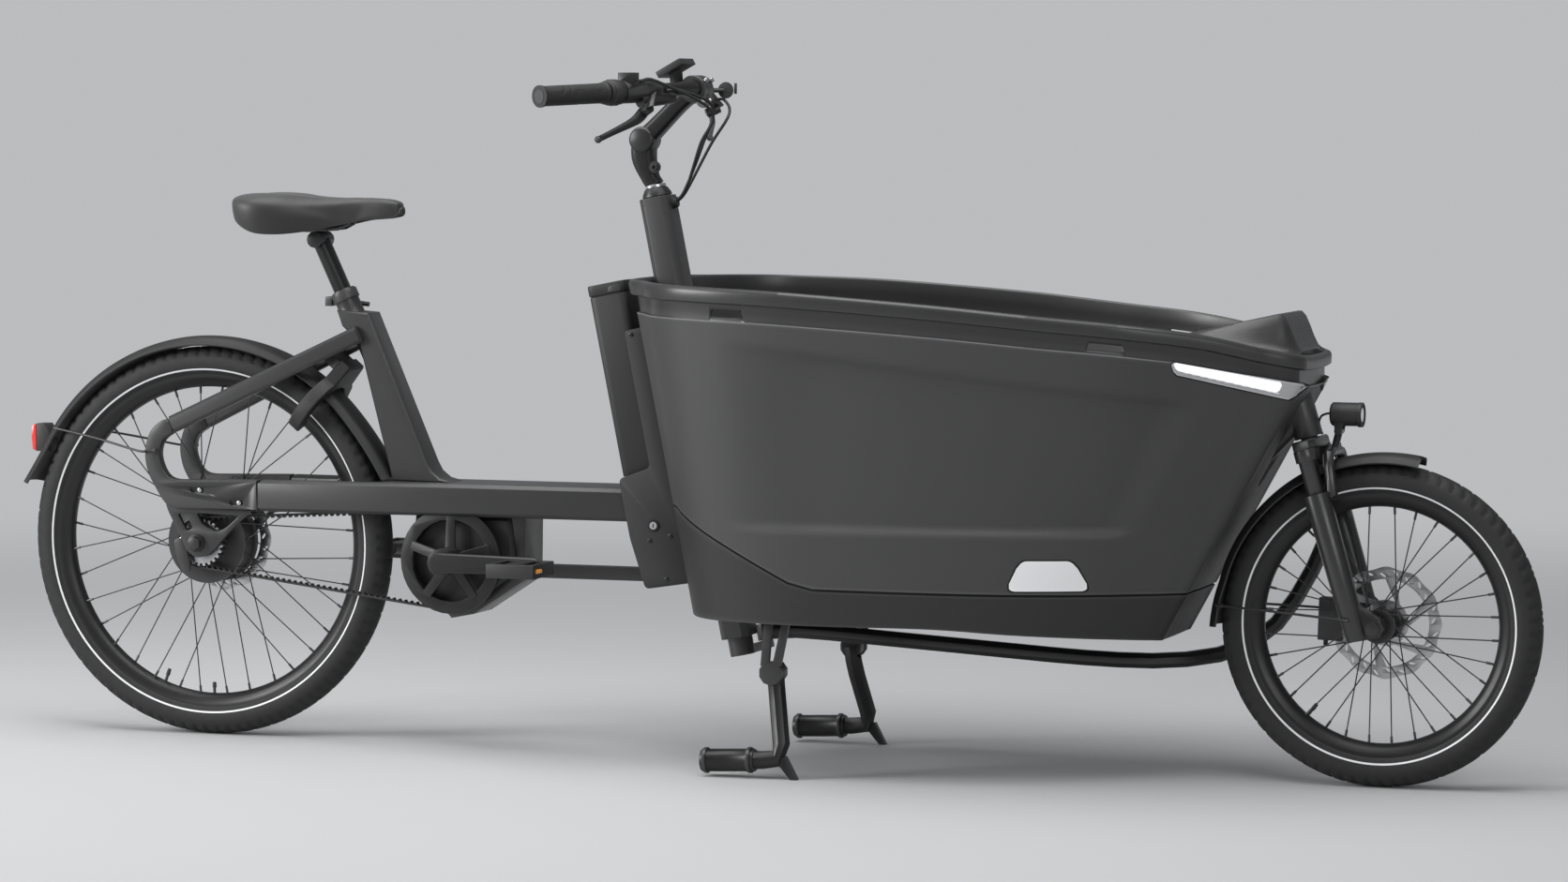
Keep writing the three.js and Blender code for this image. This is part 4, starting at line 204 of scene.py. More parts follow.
def make_camera():
    lens = bpy.data.cameras.new("long_lens")
    lens.lens = FOCAL_LENGTH
    lens.sensor_width = SENSOR_WIDTH
    lens.clip_end = 200.0
    camera = bpy.data.objects.new("photo_camera", lens)
    bpy.context.scene.collection.objects.link(camera)
    camera.location = CAMERA_PLACE
    camera.rotation_euler = (math.radians(90.0 - LOOKS_DOWN), 0.0, math.radians(TURNED_LEFT))
    bpy.context.scene.camera = camera
    return camera


photo_camera = make_camera()
print("camera at", [round(v, 3) for v in photo_camera.location])

# %% [markdown]
# A studio has a pale floor and big soft boxes. The floor fades into a plain grey backdrop, so no horizon
# cuts through the picture. One wide box hangs over the bike, a second stands ahead of it and to its right,
# and a third behind it draws light along the edges of the dark tubes.

# %% Studio
BACKDROP = (0.50, 0.505, 0.515, 1.0)
FLOOR_TONE = (0.50, 0.502, 0.508, 1.0)
FILL_TONE, FILL_STRENGTH = (0.55, 0.56, 0.58, 1.0), 0.40
FADE_START, FADE_END = 3.4, 7.5
FADE_CENTRE = (-0.6, 2.2, 0.0)


def studio_world():
    world = bpy.data.worlds.new("studio")
    bpy.context.scene.world = world
    world.use_nodes = True
    nodes, links = world.node_tree.nodes, world.node_tree.links
    nodes.clear()
    out = nodes.new("ShaderNodeOutputWorld")
    seen = nodes.new("ShaderNodeBackground")
    seen.inputs["Color"].default_value = BACKDROP
    fill = nodes.new("ShaderNodeBackground")
    fill.inputs["Color"].default_value = FILL_TONE
    fill.inputs["Strength"].default_value = FILL_STRENGTH
    path = nodes.new("ShaderNodeLightPath")
    choose = nodes.new("ShaderNodeMixShader")
    links.new(path.outputs["Is Camera Ray"], choose.inputs["Fac"])
    links.new(fill.outputs["Background"], choose.inputs[1])
    links.new(seen.outputs["Background"], choose.inputs[2])
    links.new(choose.outputs["Shader"], out.inputs["Surface"])


def studio_floor():
    bpy.ops.mesh.primitive_plane_add(size=120.0, location=(0.0, 0.0, 0.0))
    floor = bpy.context.object
    floor.name = "studio_floor"
    paper = bpy.data.materials.new("floor_finish")
    paper.use_nodes = True
    nodes, links = paper.node_tree.nodes, paper.node_tree.links
    surface = nodes["Principled BSDF"]
    surface.inputs["Base Color"].default_value = FLOOR_TONE
    surface.inputs["Roughness"].default_value = 0.65
    far = nodes.new("ShaderNodeEmission")
    far.inputs["Color"].default_value = BACKDROP
    place = nodes.new("ShaderNodeTexCoord")
    away = nodes.new("ShaderNodeVectorMath")
    away.operation = "LENGTH"
    fade = nodes.new("ShaderNodeMapRange")
    fade.interpolation_type = "SMOOTHSTEP"
    fade.inputs["From Min"].default_value = FADE_START
    fade.inputs["From Max"].default_value = FADE_END
    blend = nodes.new("ShaderNodeMixShader")
    out = nodes["Material Output"]
    ahead = nodes.new("ShaderNodeVectorMath")
    ahead.inputs[1].default_value = FADE_CENTRE
    links.new(place.outputs["Object"], ahead.inputs[0])
    links.new(ahead.outputs["Vector"], away.inputs[0])
    links.new(away.outputs["Value"], fade.inputs["Value"])
    links.new(fade.outputs["Result"], blend.inputs["Fac"])
    links.new(surface.outputs["BSDF"], blend.inputs[1])
    links.new(far.outputs["Emission"], blend.inputs[2])
    links.new(blend.outputs["Shader"], out.inputs["Surface"])
    floor.data.materials.append(paper)
    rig.stage(floor)


def soft_box(name, place, aim, width, height, power):
    data = bpy.data.lights.new(name, "AREA")
    data.shape = "RECTANGLE"
    data.size = width
    data.size_y = height
    data.energy = power
    lamp = bpy.data.objects.new(name, data)
    bpy.context.scene.collection.objects.link(lamp)
    lamp.location = place
    lamp.rotation_mode = "QUATERNION"
    lamp.rotation_quaternion = (Vector(aim) - Vector(place)).to_track_quat("-Z", "Y")
    return lamp


bpy.context.scene.view_settings.view_transform = "Standard"
studio_world()
studio_floor()
soft_box("box_above", (-0.2, -0.5, 3.6), (0.0, 0.0, 0.4), 4.6, 2.6, 150.0)
soft_box("box_ahead", (4.2, -4.6, 2.4), (0.2, 0.0, 0.5), 2.6, 2.2, 62.0)
soft_box("box_behind", (-4.6, -2.9, 2.2), (0.2, 0.0, 0.5), 2.0, 2.6, 230.0)
print("studio lit with 3 soft boxes")

# %% [markdown]
# Most effects in the finishes come back on several materials, so each is a shader group built once: a fine
# moulded grain, a slow variation in tone as on a surface that has been handled, and a mask for the lighter
# line painted along an edge as its highlight, with a little wear. A group gives out values only. The shader
# itself stays in the material, with its plain values on its own sockets.

# %% Shader groups
def new_group(name, inputs, outputs):
    tree = bpy.data.node_groups.new(name, "ShaderNodeTree")
    for label, value in inputs:
        socket = tree.interface.new_socket(name=label, in_out="INPUT", socket_type="NodeSocketFloat")
        socket.default_value = value
    for label in outputs:
        tree.interface.new_socket(name=label, in_out="OUTPUT", socket_type="NodeSocketFloat")
    return tree, tree.nodes.new("NodeGroupInput"), tree.nodes.new("NodeGroupOutput")


def moulded_grain_group():
    tree, given, made = new_group("moulded_grain", [("Scale", 900.0)], ["Height"])
    place = tree.nodes.new("ShaderNodeTexCoord")
    pebbles = tree.nodes.new("ShaderNodeTexVoronoi")
    pebbles.feature = "SMOOTH_F1"
    fine = tree.nodes.new("ShaderNodeTexNoise")
    fine.inputs["Detail"].default_value = 2.0
    both = tree.nodes.new("ShaderNodeMath")
    both.operation = "ADD"
    tree.links.new(place.outputs["Object"], pebbles.inputs["Vector"])
    tree.links.new(place.outputs["Object"], fine.inputs["Vector"])
    tree.links.new(given.outputs["Scale"], pebbles.inputs["Scale"])
    tree.links.new(given.outputs["Scale"], fine.inputs["Scale"])
    tree.links.new(pebbles.outputs["Distance"], both.inputs[0])
    tree.links.new(fine.outputs["Fac"], both.inputs[1])
    tree.links.new(both.outputs["Value"], made.inputs["Height"])
    return tree


def tone_group():
    tree, given, made = new_group("handled_tone", [("Scale", 6.0)], ["Mask", "Fine"])
    place = tree.nodes.new("ShaderNodeTexCoord")
    slow = tree.nodes.new("ShaderNodeTexNoise")
    slow.inputs["Detail"].default_value = 5.0
    slow.inputs["Roughness"].default_value = 0.6
    quick_noise = tree.nodes.new("ShaderNodeTexNoise")
    quick_noise.inputs["Detail"].default_value = 3.0
    times = tree.nodes.new("ShaderNodeMath")
    times.operation = "MULTIPLY"
    times.inputs[1].default_value = 14.0
    tree.links.new(place.outputs["Object"], slow.inputs["Vector"])
    tree.links.new(place.outputs["Object"], quick_noise.inputs["Vector"])
    tree.links.new(given.outputs["Scale"], slow.inputs["Scale"])
    tree.links.new(given.outputs["Scale"], times.inputs[0])
    tree.links.new(times.outputs["Value"], quick_noise.inputs["Scale"])
    tree.links.new(slow.outputs["Fac"], made.inputs["Mask"])
    tree.links.new(quick_noise.outputs["Fac"], made.inputs["Fine"])
    return tree


# This mask rises on pointed edges and paints a lighter highlight along them, with a little wear.
def edge_group():
    tree, given, made = new_group("edge_highlight_and_wear", [("Start", 0.515), ("End", 0.60)], ["Mask"])
    shape = tree.nodes.new("ShaderNodeNewGeometry")
    ramp = tree.nodes.new("ShaderNodeMapRange")
    ramp.interpolation_type = "SMOOTHSTEP"
    tree.links.new(shape.outputs["Pointiness"], ramp.inputs["Value"])
    tree.links.new(given.outputs["Start"], ramp.inputs["From Min"])
    tree.links.new(given.outputs["End"], ramp.inputs["From Max"])
    tree.links.new(ramp.outputs["Result"], made.inputs["Mask"])
    return tree


moulded_grain = moulded_grain_group()
handled_tone = tone_group()
edge_highlight_and_wear = edge_group()
print("shader groups:", [g.name for g in bpy.data.node_groups])

# %% [markdown]
# One recipe makes every plain finish: two close tones mixed by the slow noise, a lighter third tone painted on
# edges as their highlight with a little wear, a roughness that wanders a little, and a bump of grain. What
# differs between powder coat, moulded panel, anodised alloy and rubber is only the numbers.

# %% Finishes
GRAIN_DEPTH = 0.0002


def put_group(nodes, tree, **values):
    holder = nodes.new("ShaderNodeGroup")
    holder.node_tree = tree
    for label, value in values.items():
        holder.inputs[label].default_value = value
    return holder


def colour(tone):
    if isinstance(tone, float):
        return (tone, tone, tone * 1.02, 1.0)
    return (*tone, 1.0)


def two_tone(nodes, links, factor, one, two):
    mix = nodes.new("ShaderNodeMix")
    mix.data_type = "RGBA"
    links.new(factor, mix.inputs["Factor"])
    if isinstance(one, bpy.types.NodeSocket):
        links.new(one, mix.inputs["A"])
    else:
        mix.inputs["A"].default_value = one
    mix.inputs["B"].default_value = two
    return mix.outputs["Result"]


def finish(name, tones, rough, swing=0.06, metal=0.0, grain=900.0, bump=0.1, coat=0.0, sheen=0.0):
    made = bpy.data.materials.new(name)
    made.use_nodes = True
    nodes, links = made.node_tree.nodes, made.node_tree.links
    dark, light, edge = [colour(tone) for tone in tones]
    shader = nodes["Principled BSDF"]
    shader.inputs["Metallic"].default_value = metal
    shader.inputs["Coat Weight"].default_value = coat
    shader.inputs["Coat Roughness"].default_value = 0.25
    shader.inputs["Sheen Weight"].default_value = sheen
    tone = put_group(nodes, handled_tone)
    # The third tone goes on edges through this mask: a painted highlight, with a little wear.
    edge_highlight_mask = put_group(nodes, edge_highlight_and_wear)
    body = two_tone(nodes, links, tone.outputs["Mask"], dark, light)
    links.new(two_tone(nodes, links, edge_highlight_mask.outputs["Mask"], body, edge), shader.inputs["Base Color"])
    wander = nodes.new("ShaderNodeMapRange")
    wander.inputs["To Min"].default_value = rough - swing
    wander.inputs["To Max"].default_value = rough + swing
    links.new(tone.outputs["Fine"], wander.inputs["Value"])
    links.new(wander.outputs["Result"], shader.inputs["Roughness"])
    relief = put_group(nodes, moulded_grain, Scale=grain)
    raised = nodes.new("ShaderNodeBump")
    raised.inputs["Strength"].default_value = bump
    raised.inputs["Distance"].default_value = GRAIN_DEPTH
    links.new(relief.outputs["Height"], raised.inputs["Height"])
    links.new(raised.outputs["Normal"], shader.inputs["Normal"])
    return made


# The third tone of each finish is its painted edge highlight, with a little wear.
powder_coat = finish("powder_coat", (0.021, 0.027, 0.05), 0.42, grain=1400.0, bump=0.12, coat=0.12)
gloss_paint = finish("gloss_paint", (0.010, 0.013, 0.03), 0.32, grain=600.0, bump=0.015, coat=0.25)
anodised = finish("anodised_alloy", (0.016, 0.021, 0.06), 0.36, metal=0.35, grain=2200.0, bump=0.06)
moulded_black = finish("moulded_black", (0.011, 0.015, 0.028), 0.55, grain=1100.0, bump=0.25)
panel_plastic = finish("panel_plastic", (0.041, 0.048, 0.075), 0.52, grain=1300.0, bump=0.22)
skirt_plastic = finish("skirt_plastic", (0.013, 0.017, 0.035), 0.56, grain=1300.0, bump=0.25)
rim_plastic = finish("rim_plastic", (0.024, 0.030, 0.06), 0.36, grain=1300.0, bump=0.15, coat=0.1)
tyre_rubber = finish("tyre_rubber", (0.013, 0.019, 0.032), 0.72, swing=0.1, grain=500.0, bump=0.2)
soft_rubber = finish("soft_rubber", (0.014, 0.018, 0.03), 0.6, grain=1500.0, bump=0.2)
saddle_cover = finish("saddle_cover", (0.016, 0.021, 0.034), 0.5, grain=1000.0, bump=0.35, sheen=0.15)
bare_steel = finish("bare_steel", (0.42, 0.5, 0.7), 0.3, metal=1.0, grain=2500.0, bump=0.08)
spoke_steel = finish("spoke_steel", (0.010, 0.014, 0.03), 0.5, metal=0.2, grain=2500.0, bump=0.05)
lamp_lens = finish("lamp_lens", (0.86, 0.92, 0.95), 0.2, grain=300.0, bump=0.05, coat=0.6)
clear_frame = finish("clear_frame", (0.40, 0.46, 0.6), 0.16, grain=200.0, bump=0.05, coat=0.8)
screen_glass = finish("screen_glass", (0.004, 0.005, 0.008), 0.08, swing=0.02, grain=200.0, bump=0.0,
                      coat=1.0)
# A near-black finish: where it is set into gaps and the key slot, it is painted shade.
dark_gap = finish("dark_gap", (0.005, 0.007, 0.010), 0.8, grain=800.0, bump=0.1)
# A light tone for the bead along the shell's top edge: a painted highlight, with a little wear.
bead_highlight_and_wear = finish("bead_highlight_and_wear", (0.11, 0.13, 0.18), 0.4, grain=1300.0, bump=0.1)
reflex_white = finish("reflex_white", (0.75, 0.85, 0.9), 0.5, grain=2600.0, bump=0.2)
RED_TONES = ((0.55, 0.008, 0.008), (0.68, 0.012, 0.012), (0.8, 0.05, 0.05))
AMBER_TONES = ((0.75, 0.22, 0.01), (0.85, 0.3, 0.02), (0.9, 0.4, 0.05))
red_lens = finish("red_lens", RED_TONES, 0.18, grain=260.0, bump=0.3, coat=0.8)
amber_lens = finish("amber_lens", AMBER_TONES, 0.2, grain=700.0, bump=0.5, coat=0.6)
lit_strip = finish("lit_strip", (0.9, 0.94, 0.96), 0.25, grain=300.0, bump=0.02)
glow = lit_strip.node_tree.nodes["Principled BSDF"]
glow.inputs["Emission Color"].default_value = (1.0, 1.0, 1.0, 1.0)
glow.inputs["Emission Strength"].default_value = 0.45
print("finishes:", len(bpy.data.materials))

# %% [markdown]
# The imported solids are sharp-edged, and no real edge is sharp. A copy of each one is welded, its edges are
# rounded with a small bevel, and faces that meet at a low angle are shaded as one surface. The copy rides
# on the body that its solid belongs to. This way the shape stays exactly the imported one, and the
# light still finds an edge to run along. The pieces that aren't listed here are modelled afresh further on.

# %% Round and dress the solids
EDGE_WIDTH, SMOOTH_ANGLE = 0.0008, 38.0


def choose_none():
    bpy.ops.object.select_all(action="DESELECT")


def choose_only(piece):
    choose_none()
    piece.select_set(True)
    bpy.context.view_layer.objects.active = piece


def apply_modifier(piece, modifier):
    choose_only(piece)
    bpy.ops.object.modifier_apply(modifier=modifier.name)


def shade(piece, degrees):
    choose_only(piece)
    bpy.ops.object.shade_smooth_by_angle(angle=math.radians(degrees))


def copy_of(node, name):
    piece = bpy.data.objects.new(name, frame["nodes"][node].data.copy())
    bpy.context.scene.collection.objects.link(piece)
    piece.data.materials.clear()
    choose_only(piece)
    bpy.ops.object.mode_set(mode="EDIT")
    bpy.ops.mesh.select_all(action="SELECT")
    bpy.ops.mesh.remove_doubles(threshold=0.00001)
    bpy.ops.mesh.dissolve_limited(angle_limit=math.radians(0.6))
    bpy.ops.object.mode_set(mode="OBJECT")
    return piece


def round_edges(piece, width, angle):
    soften = piece.modifiers.new("rounded", "BEVEL")
    soften.width = width
    soften.segments = 2
    soften.limit_method = "ANGLE"
    soften.angle_limit = math.radians(angle)
    apply_modifier(piece, soften)


def body_of(node):
    return frame["nodes"][node]["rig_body"]


def install(piece, body, *nodes):
    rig.ride(piece, body)
    if nodes:
        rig.replaces(piece, *nodes)
    return piece


def dress(node, material):
    piece = copy_of(node, node + "_finished")
    round_edges(piece, EDGE_WIDTH, SMOOTH_ANGLE + 2.0)
    shade(piece, SMOOTH_ANGLE)
    piece.data.materials.append(material)
    return install(piece, body_of(node), node)


plain_pieces = {
    powder_coat: [
        "seat_tube", "main_beam", "seat_stay_right", "seat_stay_left", "column_sleeve", "front_frame",
    ],
    gloss_paint: ["steering_rod", "fork_upper", "fork_lower"],
    anodised: [
        "seat_post", "saddle_rails", "seat_lever", "brake_mount_right", "brake_mount_left", "bell",
        "bell_striker", "crank_right", "crank_left", "rear_caliper", "front_caliper", "stand_right",
        "stand_left",
    ],
    moulded_black: [
        "motor_housing", "ring_lock", "pedal_right", "pedal_left", "display", "headlight", "twist_shifter",
    ],
    soft_rubber: ["belt"],
    bare_steel: ["rear_cog", "lock_shackle"],
}
for material, names in plain_pieces.items():
    for node in names:
        dress(node, material)
print("dressed", sum(len(names) for names in plain_pieces.values()), "pieces")

# %% [markdown]
# The photograph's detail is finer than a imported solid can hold, so many pieces are modelled again here, each
# in the place of its solid. One helper serves most of them: a grid is added and every vertex is moved to its
# place on the surface, which gives walls, tubes and turned shapes alike. Places are given in millimetres from
# the rear axle and the floor, as a bike builder would measure them.

# %% Grids, turned shapes and rods
REAR_AXLE = 971.559
REAR_RADIUS, FRONT_RADIUS, WHEELBASE = 334.0, 258.0, 2040.0
ORIGIN = Vector((0.0, 0.0, 0.0))
# The steering column, the battery and the rear of the rim lean back by one angle.
LEAN = math.radians(11.2)


def at(x, y, z):
    return Vector(((x - REAR_AXLE) * 0.001, y * 0.001, z * 0.001))


def close_up(piece, smooth):
    choose_only(piece)
    bpy.ops.object.mode_set(mode="EDIT")
    bpy.ops.mesh.select_all(action="SELECT")
    bpy.ops.mesh.remove_doubles(threshold=0.000005)
    bpy.ops.mesh.fill_holes(sides=0)
    bpy.ops.mesh.select_all(action="SELECT")
    bpy.ops.mesh.normals_make_consistent(inside=False)
    bpy.ops.object.mode_set(mode="OBJECT")
    shade(piece, smooth)


def shaped_grid(name, columns, rows, place, material, smooth=40.0):
    choose_none()
    bpy.ops.mesh.primitive_grid_add(x_subdivisions=columns, y_subdivisions=rows, size=1.0)
    piece = bpy.context.object
    piece.name = name
    for vertex in piece.data.vertices:
        vertex.co = place(vertex.co.x + 0.5, vertex.co.y + 0.5)
    close_up(piece, smooth)
    piece.data.materials.append(material)
    return piece


def round_hub(centre, reach, across, turn):
    return centre + Vector((reach * math.cos(turn), across, reach * math.sin(turn))) * 0.001


def turned(name, profile, centre, material, steps=96, smooth=35.0):
    count = len(profile)

    def place(u, v):
        radius, across = profile[round(v * count) % count]
        return round_hub(centre, radius, across, 2.0 * math.pi * u)

    return shaped_grid(name, steps, count, place, material, smooth)


def between(start, end):
    turn = (end - start).to_track_quat("Z", "Y").to_matrix().to_4x4()
    return Matrix.Translation((start + end) / 2.0) @ turn


def rod(name, start, end, radius, material, sides=12, end_radius=None, bevel=0.0):
    choose_none()
    tip = radius if end_radius is None else end_radius
    bpy.ops.mesh.primitive_cone_add(
        vertices=sides, radius1=radius * 0.001, radius2=tip * 0.001, depth=(end - start).length)
    piece = bpy.context.object
    piece.name = name
    piece.data.transform(between(start, end))
    if bevel:
        round_edges(piece, bevel * 0.001, 40.0)
    shade(piece, 40.0)
    piece.data.materials.append(material)
    return piece


def joined(pieces, name):
    choose_none()
    for piece in pieces:
        piece.select_set(True)
    bpy.context.view_layer.objects.active = pieces[0]
    bpy.ops.object.join()
    pieces[0].name = name
    return pieces[0]


print("grids, turned shapes and rods are ready")

# %% [markdown]
# A tyre's section is close to a circle that the rim pinches. Its shoulders carry small lugs, so the grid has
# six columns to each lug and pushes the grooves in between them. The pale reflex line is a narrow band of
# the side wall's own faces, as it is moulded into the rubber on the real tyre.

# %% Tyres
TYRE_HALF = 27.5


def tyre_section():
    outer = [math.radians(-137.0 + 274.0 * i / 42) for i in range(43)]
    inner = [math.radians(130.0 - 260.0 * i / 6) for i in range(7)]
    return [(TYRE_HALF, a) for a in outer] + [(TYRE_HALF - 3.4, a) for a in inner]


def tyre(name, node, centre, radius, lugs):
    section = tyre_section()
    count = len(section)

    def place(u, v):
        k = round(v * count) % count
        size, lean = section[k]
        phase = (u * lugs + 0.22 * math.copysign(1.0, lean) + abs(lean) * 0.35) % 1.0
        tilt = abs(math.degrees(lean))
        outside = k < 43
        groove = 0.0
        if outside and 26.0 < tilt < 64.0 and phase > 0.64:
            groove = 2.0
        elif outside and tilt < 22.0 and (u * lugs * 2.0) % 1.0 > 0.7:
            groove = 1.3
        elif outside and 22.0 <= tilt <= 26.0:
            groove = 1.6
        reach = radius - TYRE_HALF + (size - groove) * math.cos(lean)
        across = (size - groove) * math.sin(lean)
        return round_hub(centre, reach, across, 2.0 * math.pi * u)

    piece = shaped_grid(name, lugs * 6, count, place, tyre_rubber, 32.0)
    piece.data.materials.append(reflex_white)
    low, high = (radius - 39.4) * 0.001, (radius - 36.2) * 0.001
    for face in piece.data.polygons:
        away = face.center - centre
        reach = math.hypot(away.x, away.z)
        if low < reach < high and abs(away.y) > 0.0225:
            face.material_index = 1
    return install(piece, body_of(node), node)


REAR_HUB = at(0.0, 0.0, REAR_RADIUS)
FRONT_HUB = at(WHEELBASE, 0.0, FRONT_RADIUS)
tyre("rear_tyre_shown", "rear_tyre", REAR_HUB, REAR_RADIUS, 96)
tyre("front_tyre_shown", "front_tyre", FRONT_HUB, FRONT_RADIUS, 74)
print("tyres made")

# %% [markdown]
# A laced wheel is a rim, a hub and crossed spokes, each with a nipple at the rim. One spoke is modelled at
# each place from the same rule of lacing, so that the lock's shackle still finds its gap between them.

# %% Wheels
HUB_HALF = 27.0


def rim_profile(seat):
    wall = [(3.0, 18.5), (-1.0, 18.9), (-9.0, 18.2), (-10.0, 17.6), (-16.0, 15.0), (-22.0, 9.5), (-25.0, 5.0),
            (-25.6, 0.0)]
    right = [(seat + a, -b) for a, b in wall]
    left = [(seat + a, b) for a, b in reversed(wall[:-1])]
    inside = [(3.0, 16.0), (-5.0, 13.0), (-7.0, 0.0), (-5.0, -13.0), (3.0, -16.0)]
    return right + left + [(seat + a, b) for a, b in inside]


def hub_profile(drum, flange):
    half = HUB_HALF
    shape = [(8.0, -half - 2.0), (flange * 0.5, -half - 2.0), (flange * 0.55, -half), (flange, -half),
             (flange, -half + 4.5), (drum + 1.5, -half + 7.5), (drum, -half + 11.0), (drum * 0.985, 0.0)]
    return shape + [(r, -y) for r, y in reversed(shape[:-1])]


def lacing(centre, seat, count, drum, lace_angle):
    parts = []
    for i in range(count):
        side = 1.0 if i % 2 else -1.0
        lace = 1.0 if i % 4 < 2 else -1.0
        rim_turn = 2.0 * math.pi * (i + 0.5) / count
        out = side * (HUB_HALF - 6.6 * (0.5 - lace * 0.26))
        start = round_hub(centre, drum + 1.5, out, rim_turn + lace * lace_angle)
        end = round_hub(centre, seat - 19.0, side * 3.6, rim_turn)
        along = (end - start).normalized()
        parts.append(rod("spoke", start, end, 1.05, spoke_steel, 8))
        parts.append(rod("nipple", end - along * 0.018, end, 2.1, anodised, 8))
    return parts


def valve(centre, seat, turn, length):
    foot = round_hub(centre, seat - 24.0, 0.0, turn)
    tip = round_hub(centre, seat - 24.0 - length, 0.0, turn)
    stub = rod("valve", foot, tip, 2.6, anodised, 12)
    return [stub, rod("valve_cap", tip + (foot - tip) * 0.45, tip, 3.7, soft_rubber, 12, 3.0)]


def laced_wheel(name, centre, radius, count, drum, lace_angle, boss, valves):
    seat = radius - 44.0
    axle = [(0.0, -64.0), (7.0, -64.0), (7.0, 64.0), (0.0, 64.0)]
    collar = [(0.0, 26.0), (boss, 26.0), (boss, 40.0), (boss - 3.0, 42.0), (0.0, 42.0)]
    parts = [turned(name, rim_profile(seat), centre, anodised, 160)]
    parts.append(turned("hub_shell", hub_profile(drum, drum + 6.0), centre, anodised, 72))
    parts.append(turned("hub_axle", axle, centre, bare_steel, 20))
    parts.append(turned("hub_boss", collar, centre, anodised, 40))
    parts += lacing(centre, seat, count, drum, lace_angle)
    for turn, length in valves:
        parts += valve(centre, seat, math.radians(turn), length)
    return joined(parts, name)


rear_valves = [(-110.6, 24.0), (-90.0, 20.0)]
rear_shown = laced_wheel("rear_wheel_shown", REAR_HUB, REAR_RADIUS, 36, 66.0, 0.42, 24.0, rear_valves)
driver_line = [(0.0, -50.5), (17.0, -50.5), (17.0, -26.0), (0.0, -26.0)]
driver = turned("driver", driver_line, REAR_HUB, anodised, 32)
install(joined([rear_shown, driver], "rear_wheel_shown"), "rear_rolling", "rear_wheel")
front_valves = [(-128.4, 24.0)]
front_shown = laced_wheel(
    "front_wheel_shown", FRONT_HUB, FRONT_RADIUS, 32, 21.0, 0.95, 20.0, front_valves)
install(front_shown, "front_rolling", "front_wheel")
print("wheels laced:", len(rear_shown.data.polygons), len(front_shown.data.polygons), "faces")

# %% [markdown]
# Plates, castings and boxes start as a flat outline that is given a thickness and rounded edges. Where one
# needs an opening, a second piece is cut out of it and then dropped.

# %% Flat outlines and cuts
SIDE_VIEW = Matrix.Rotation(math.radians(90.0), 4, "X")


def flat_cut(name, outlines, thickness, material, place, bevel=0.4, smooth=40.0):
    data = bpy.data.curves.new(name, "CURVE")
    data.dimensions = "2D"
    data.fill_mode = "BOTH"
    for points in outlines:
        line = data.splines.new("POLY")
        line.points.add(len(points) - 1)
        for spot, (a, b) in zip(line.points, points):
            spot.co = (a * 0.001, b * 0.001, 0.0, 1.0)
        line.use_cyclic_u = True
    data.extrude = (thickness / 2.0 - bevel) * 0.001
    data.bevel_depth = bevel * 0.001
    data.bevel_resolution = 1
    data.offset = -bevel * 0.001
    piece = bpy.data.objects.new(name, data)
    bpy.context.scene.collection.objects.link(piece)
    choose_only(piece)
    bpy.ops.object.convert(target="MESH")
    piece = bpy.context.object
    piece.data.materials.clear()
    piece.data.transform(place)
    close_up(piece, smooth)
    piece.data.materials.append(material)
    return piece


def beside(y, x=0.0, z=0.0):
    return Matrix.Translation(at(x, y, z)) @ SIDE_VIEW


def less(piece, *tools):
    for tool in tools:
        cutter = piece.modifiers.new("cut", "BOOLEAN")
        cutter.operation = "DIFFERENCE"
        cutter.solver = "EXACT"
        cutter.object = tool
        apply_modifier(piece, cutter)


def drop(*pieces):
    for piece in pieces:
        bpy.data.objects.remove(piece)


print("outlines can be thickened and cut")

# %% [markdown]
# A brake disc is punched from thin steel. Its edge is wavy, oval vents run round the braking band, and slim
# arms lean back from the band to the carrier. A flat curve with holes is the natural way to draw it.

# %% Brake discs
def ring_points(radius, count, wave=0.0, waves=0):
    made = []
    for i in range(count):
        angle = 2.0 * math.pi * i / count
        reach = radius + wave * math.cos(waves * angle)
        made.append((reach * math.cos(angle), reach * math.sin(angle)))
    return made


def oval_points(x, y, long, short, turn):
    made = []
    for i in range(14):
        angle = 2.0 * math.pi * i / 14
        a, b = long * math.cos(angle), short * math.sin(angle)
        across = a * math.cos(turn) - b * math.sin(turn)
        made.append((x + across, y + a * math.sin(turn) + b * math.cos(turn)))
    return made


def arc_points(radius, start, end, steps):
    angles = [start + (end - start) * k / steps for k in range(steps + 1)]
    return [(radius * math.cos(angle), radius * math.sin(angle)) for angle in angles]


def disc(name, node, centre, across, boss):
    cuts = [ring_points(88.4, 240, 1.6, 12), ring_points(boss + 0.6, 48)]
    lean = math.radians(24.0)
    for i in range(6):
        start, end = math.radians(60.0 * i + 7.0), math.radians(60.0 * i + 53.0)
        cuts.append(arc_points(70.0, start + lean, end + lean, 12) + arc_points(37.0, end, start, 8))
    for i in range(24):
        turn = math.radians(15.0 * i + 4.0)
        reach = 81.5 if i % 2 else 76.5
        lay = turn + math.radians(52.0)
        cuts.append(oval_points(reach * math.cos(turn), reach * math.sin(turn), 5.6, 1.9, lay))
    place = Matrix.Translation(centre + Vector((0.0, across * 0.001, 0.0))) @ SIDE_VIEW
    piece = flat_cut(name, cuts, 2.0, bare_steel, place, 0.2)
    return install(piece, body_of(node), node)


disc("rear_disc_shown", "rear_disc", REAR_HUB, 41.0, 24.0)
disc("front_disc_shown", "front_disc", FRONT_HUB, 35.0, 20.0)
print("discs cut")

# %% [markdown]
# The box is the largest surface, so its curve has to be clean. Its outline is known at a few stations along
# the rim and the foot. A smooth closed line through each set, joined by straight walls, gives the moulding.
# The nose is nearly flat, because the fork turns and the wheel rises close in front of it.
# The soft recess in each side fades in over a hand's width at the rear and has a sharper slope elsewhere.

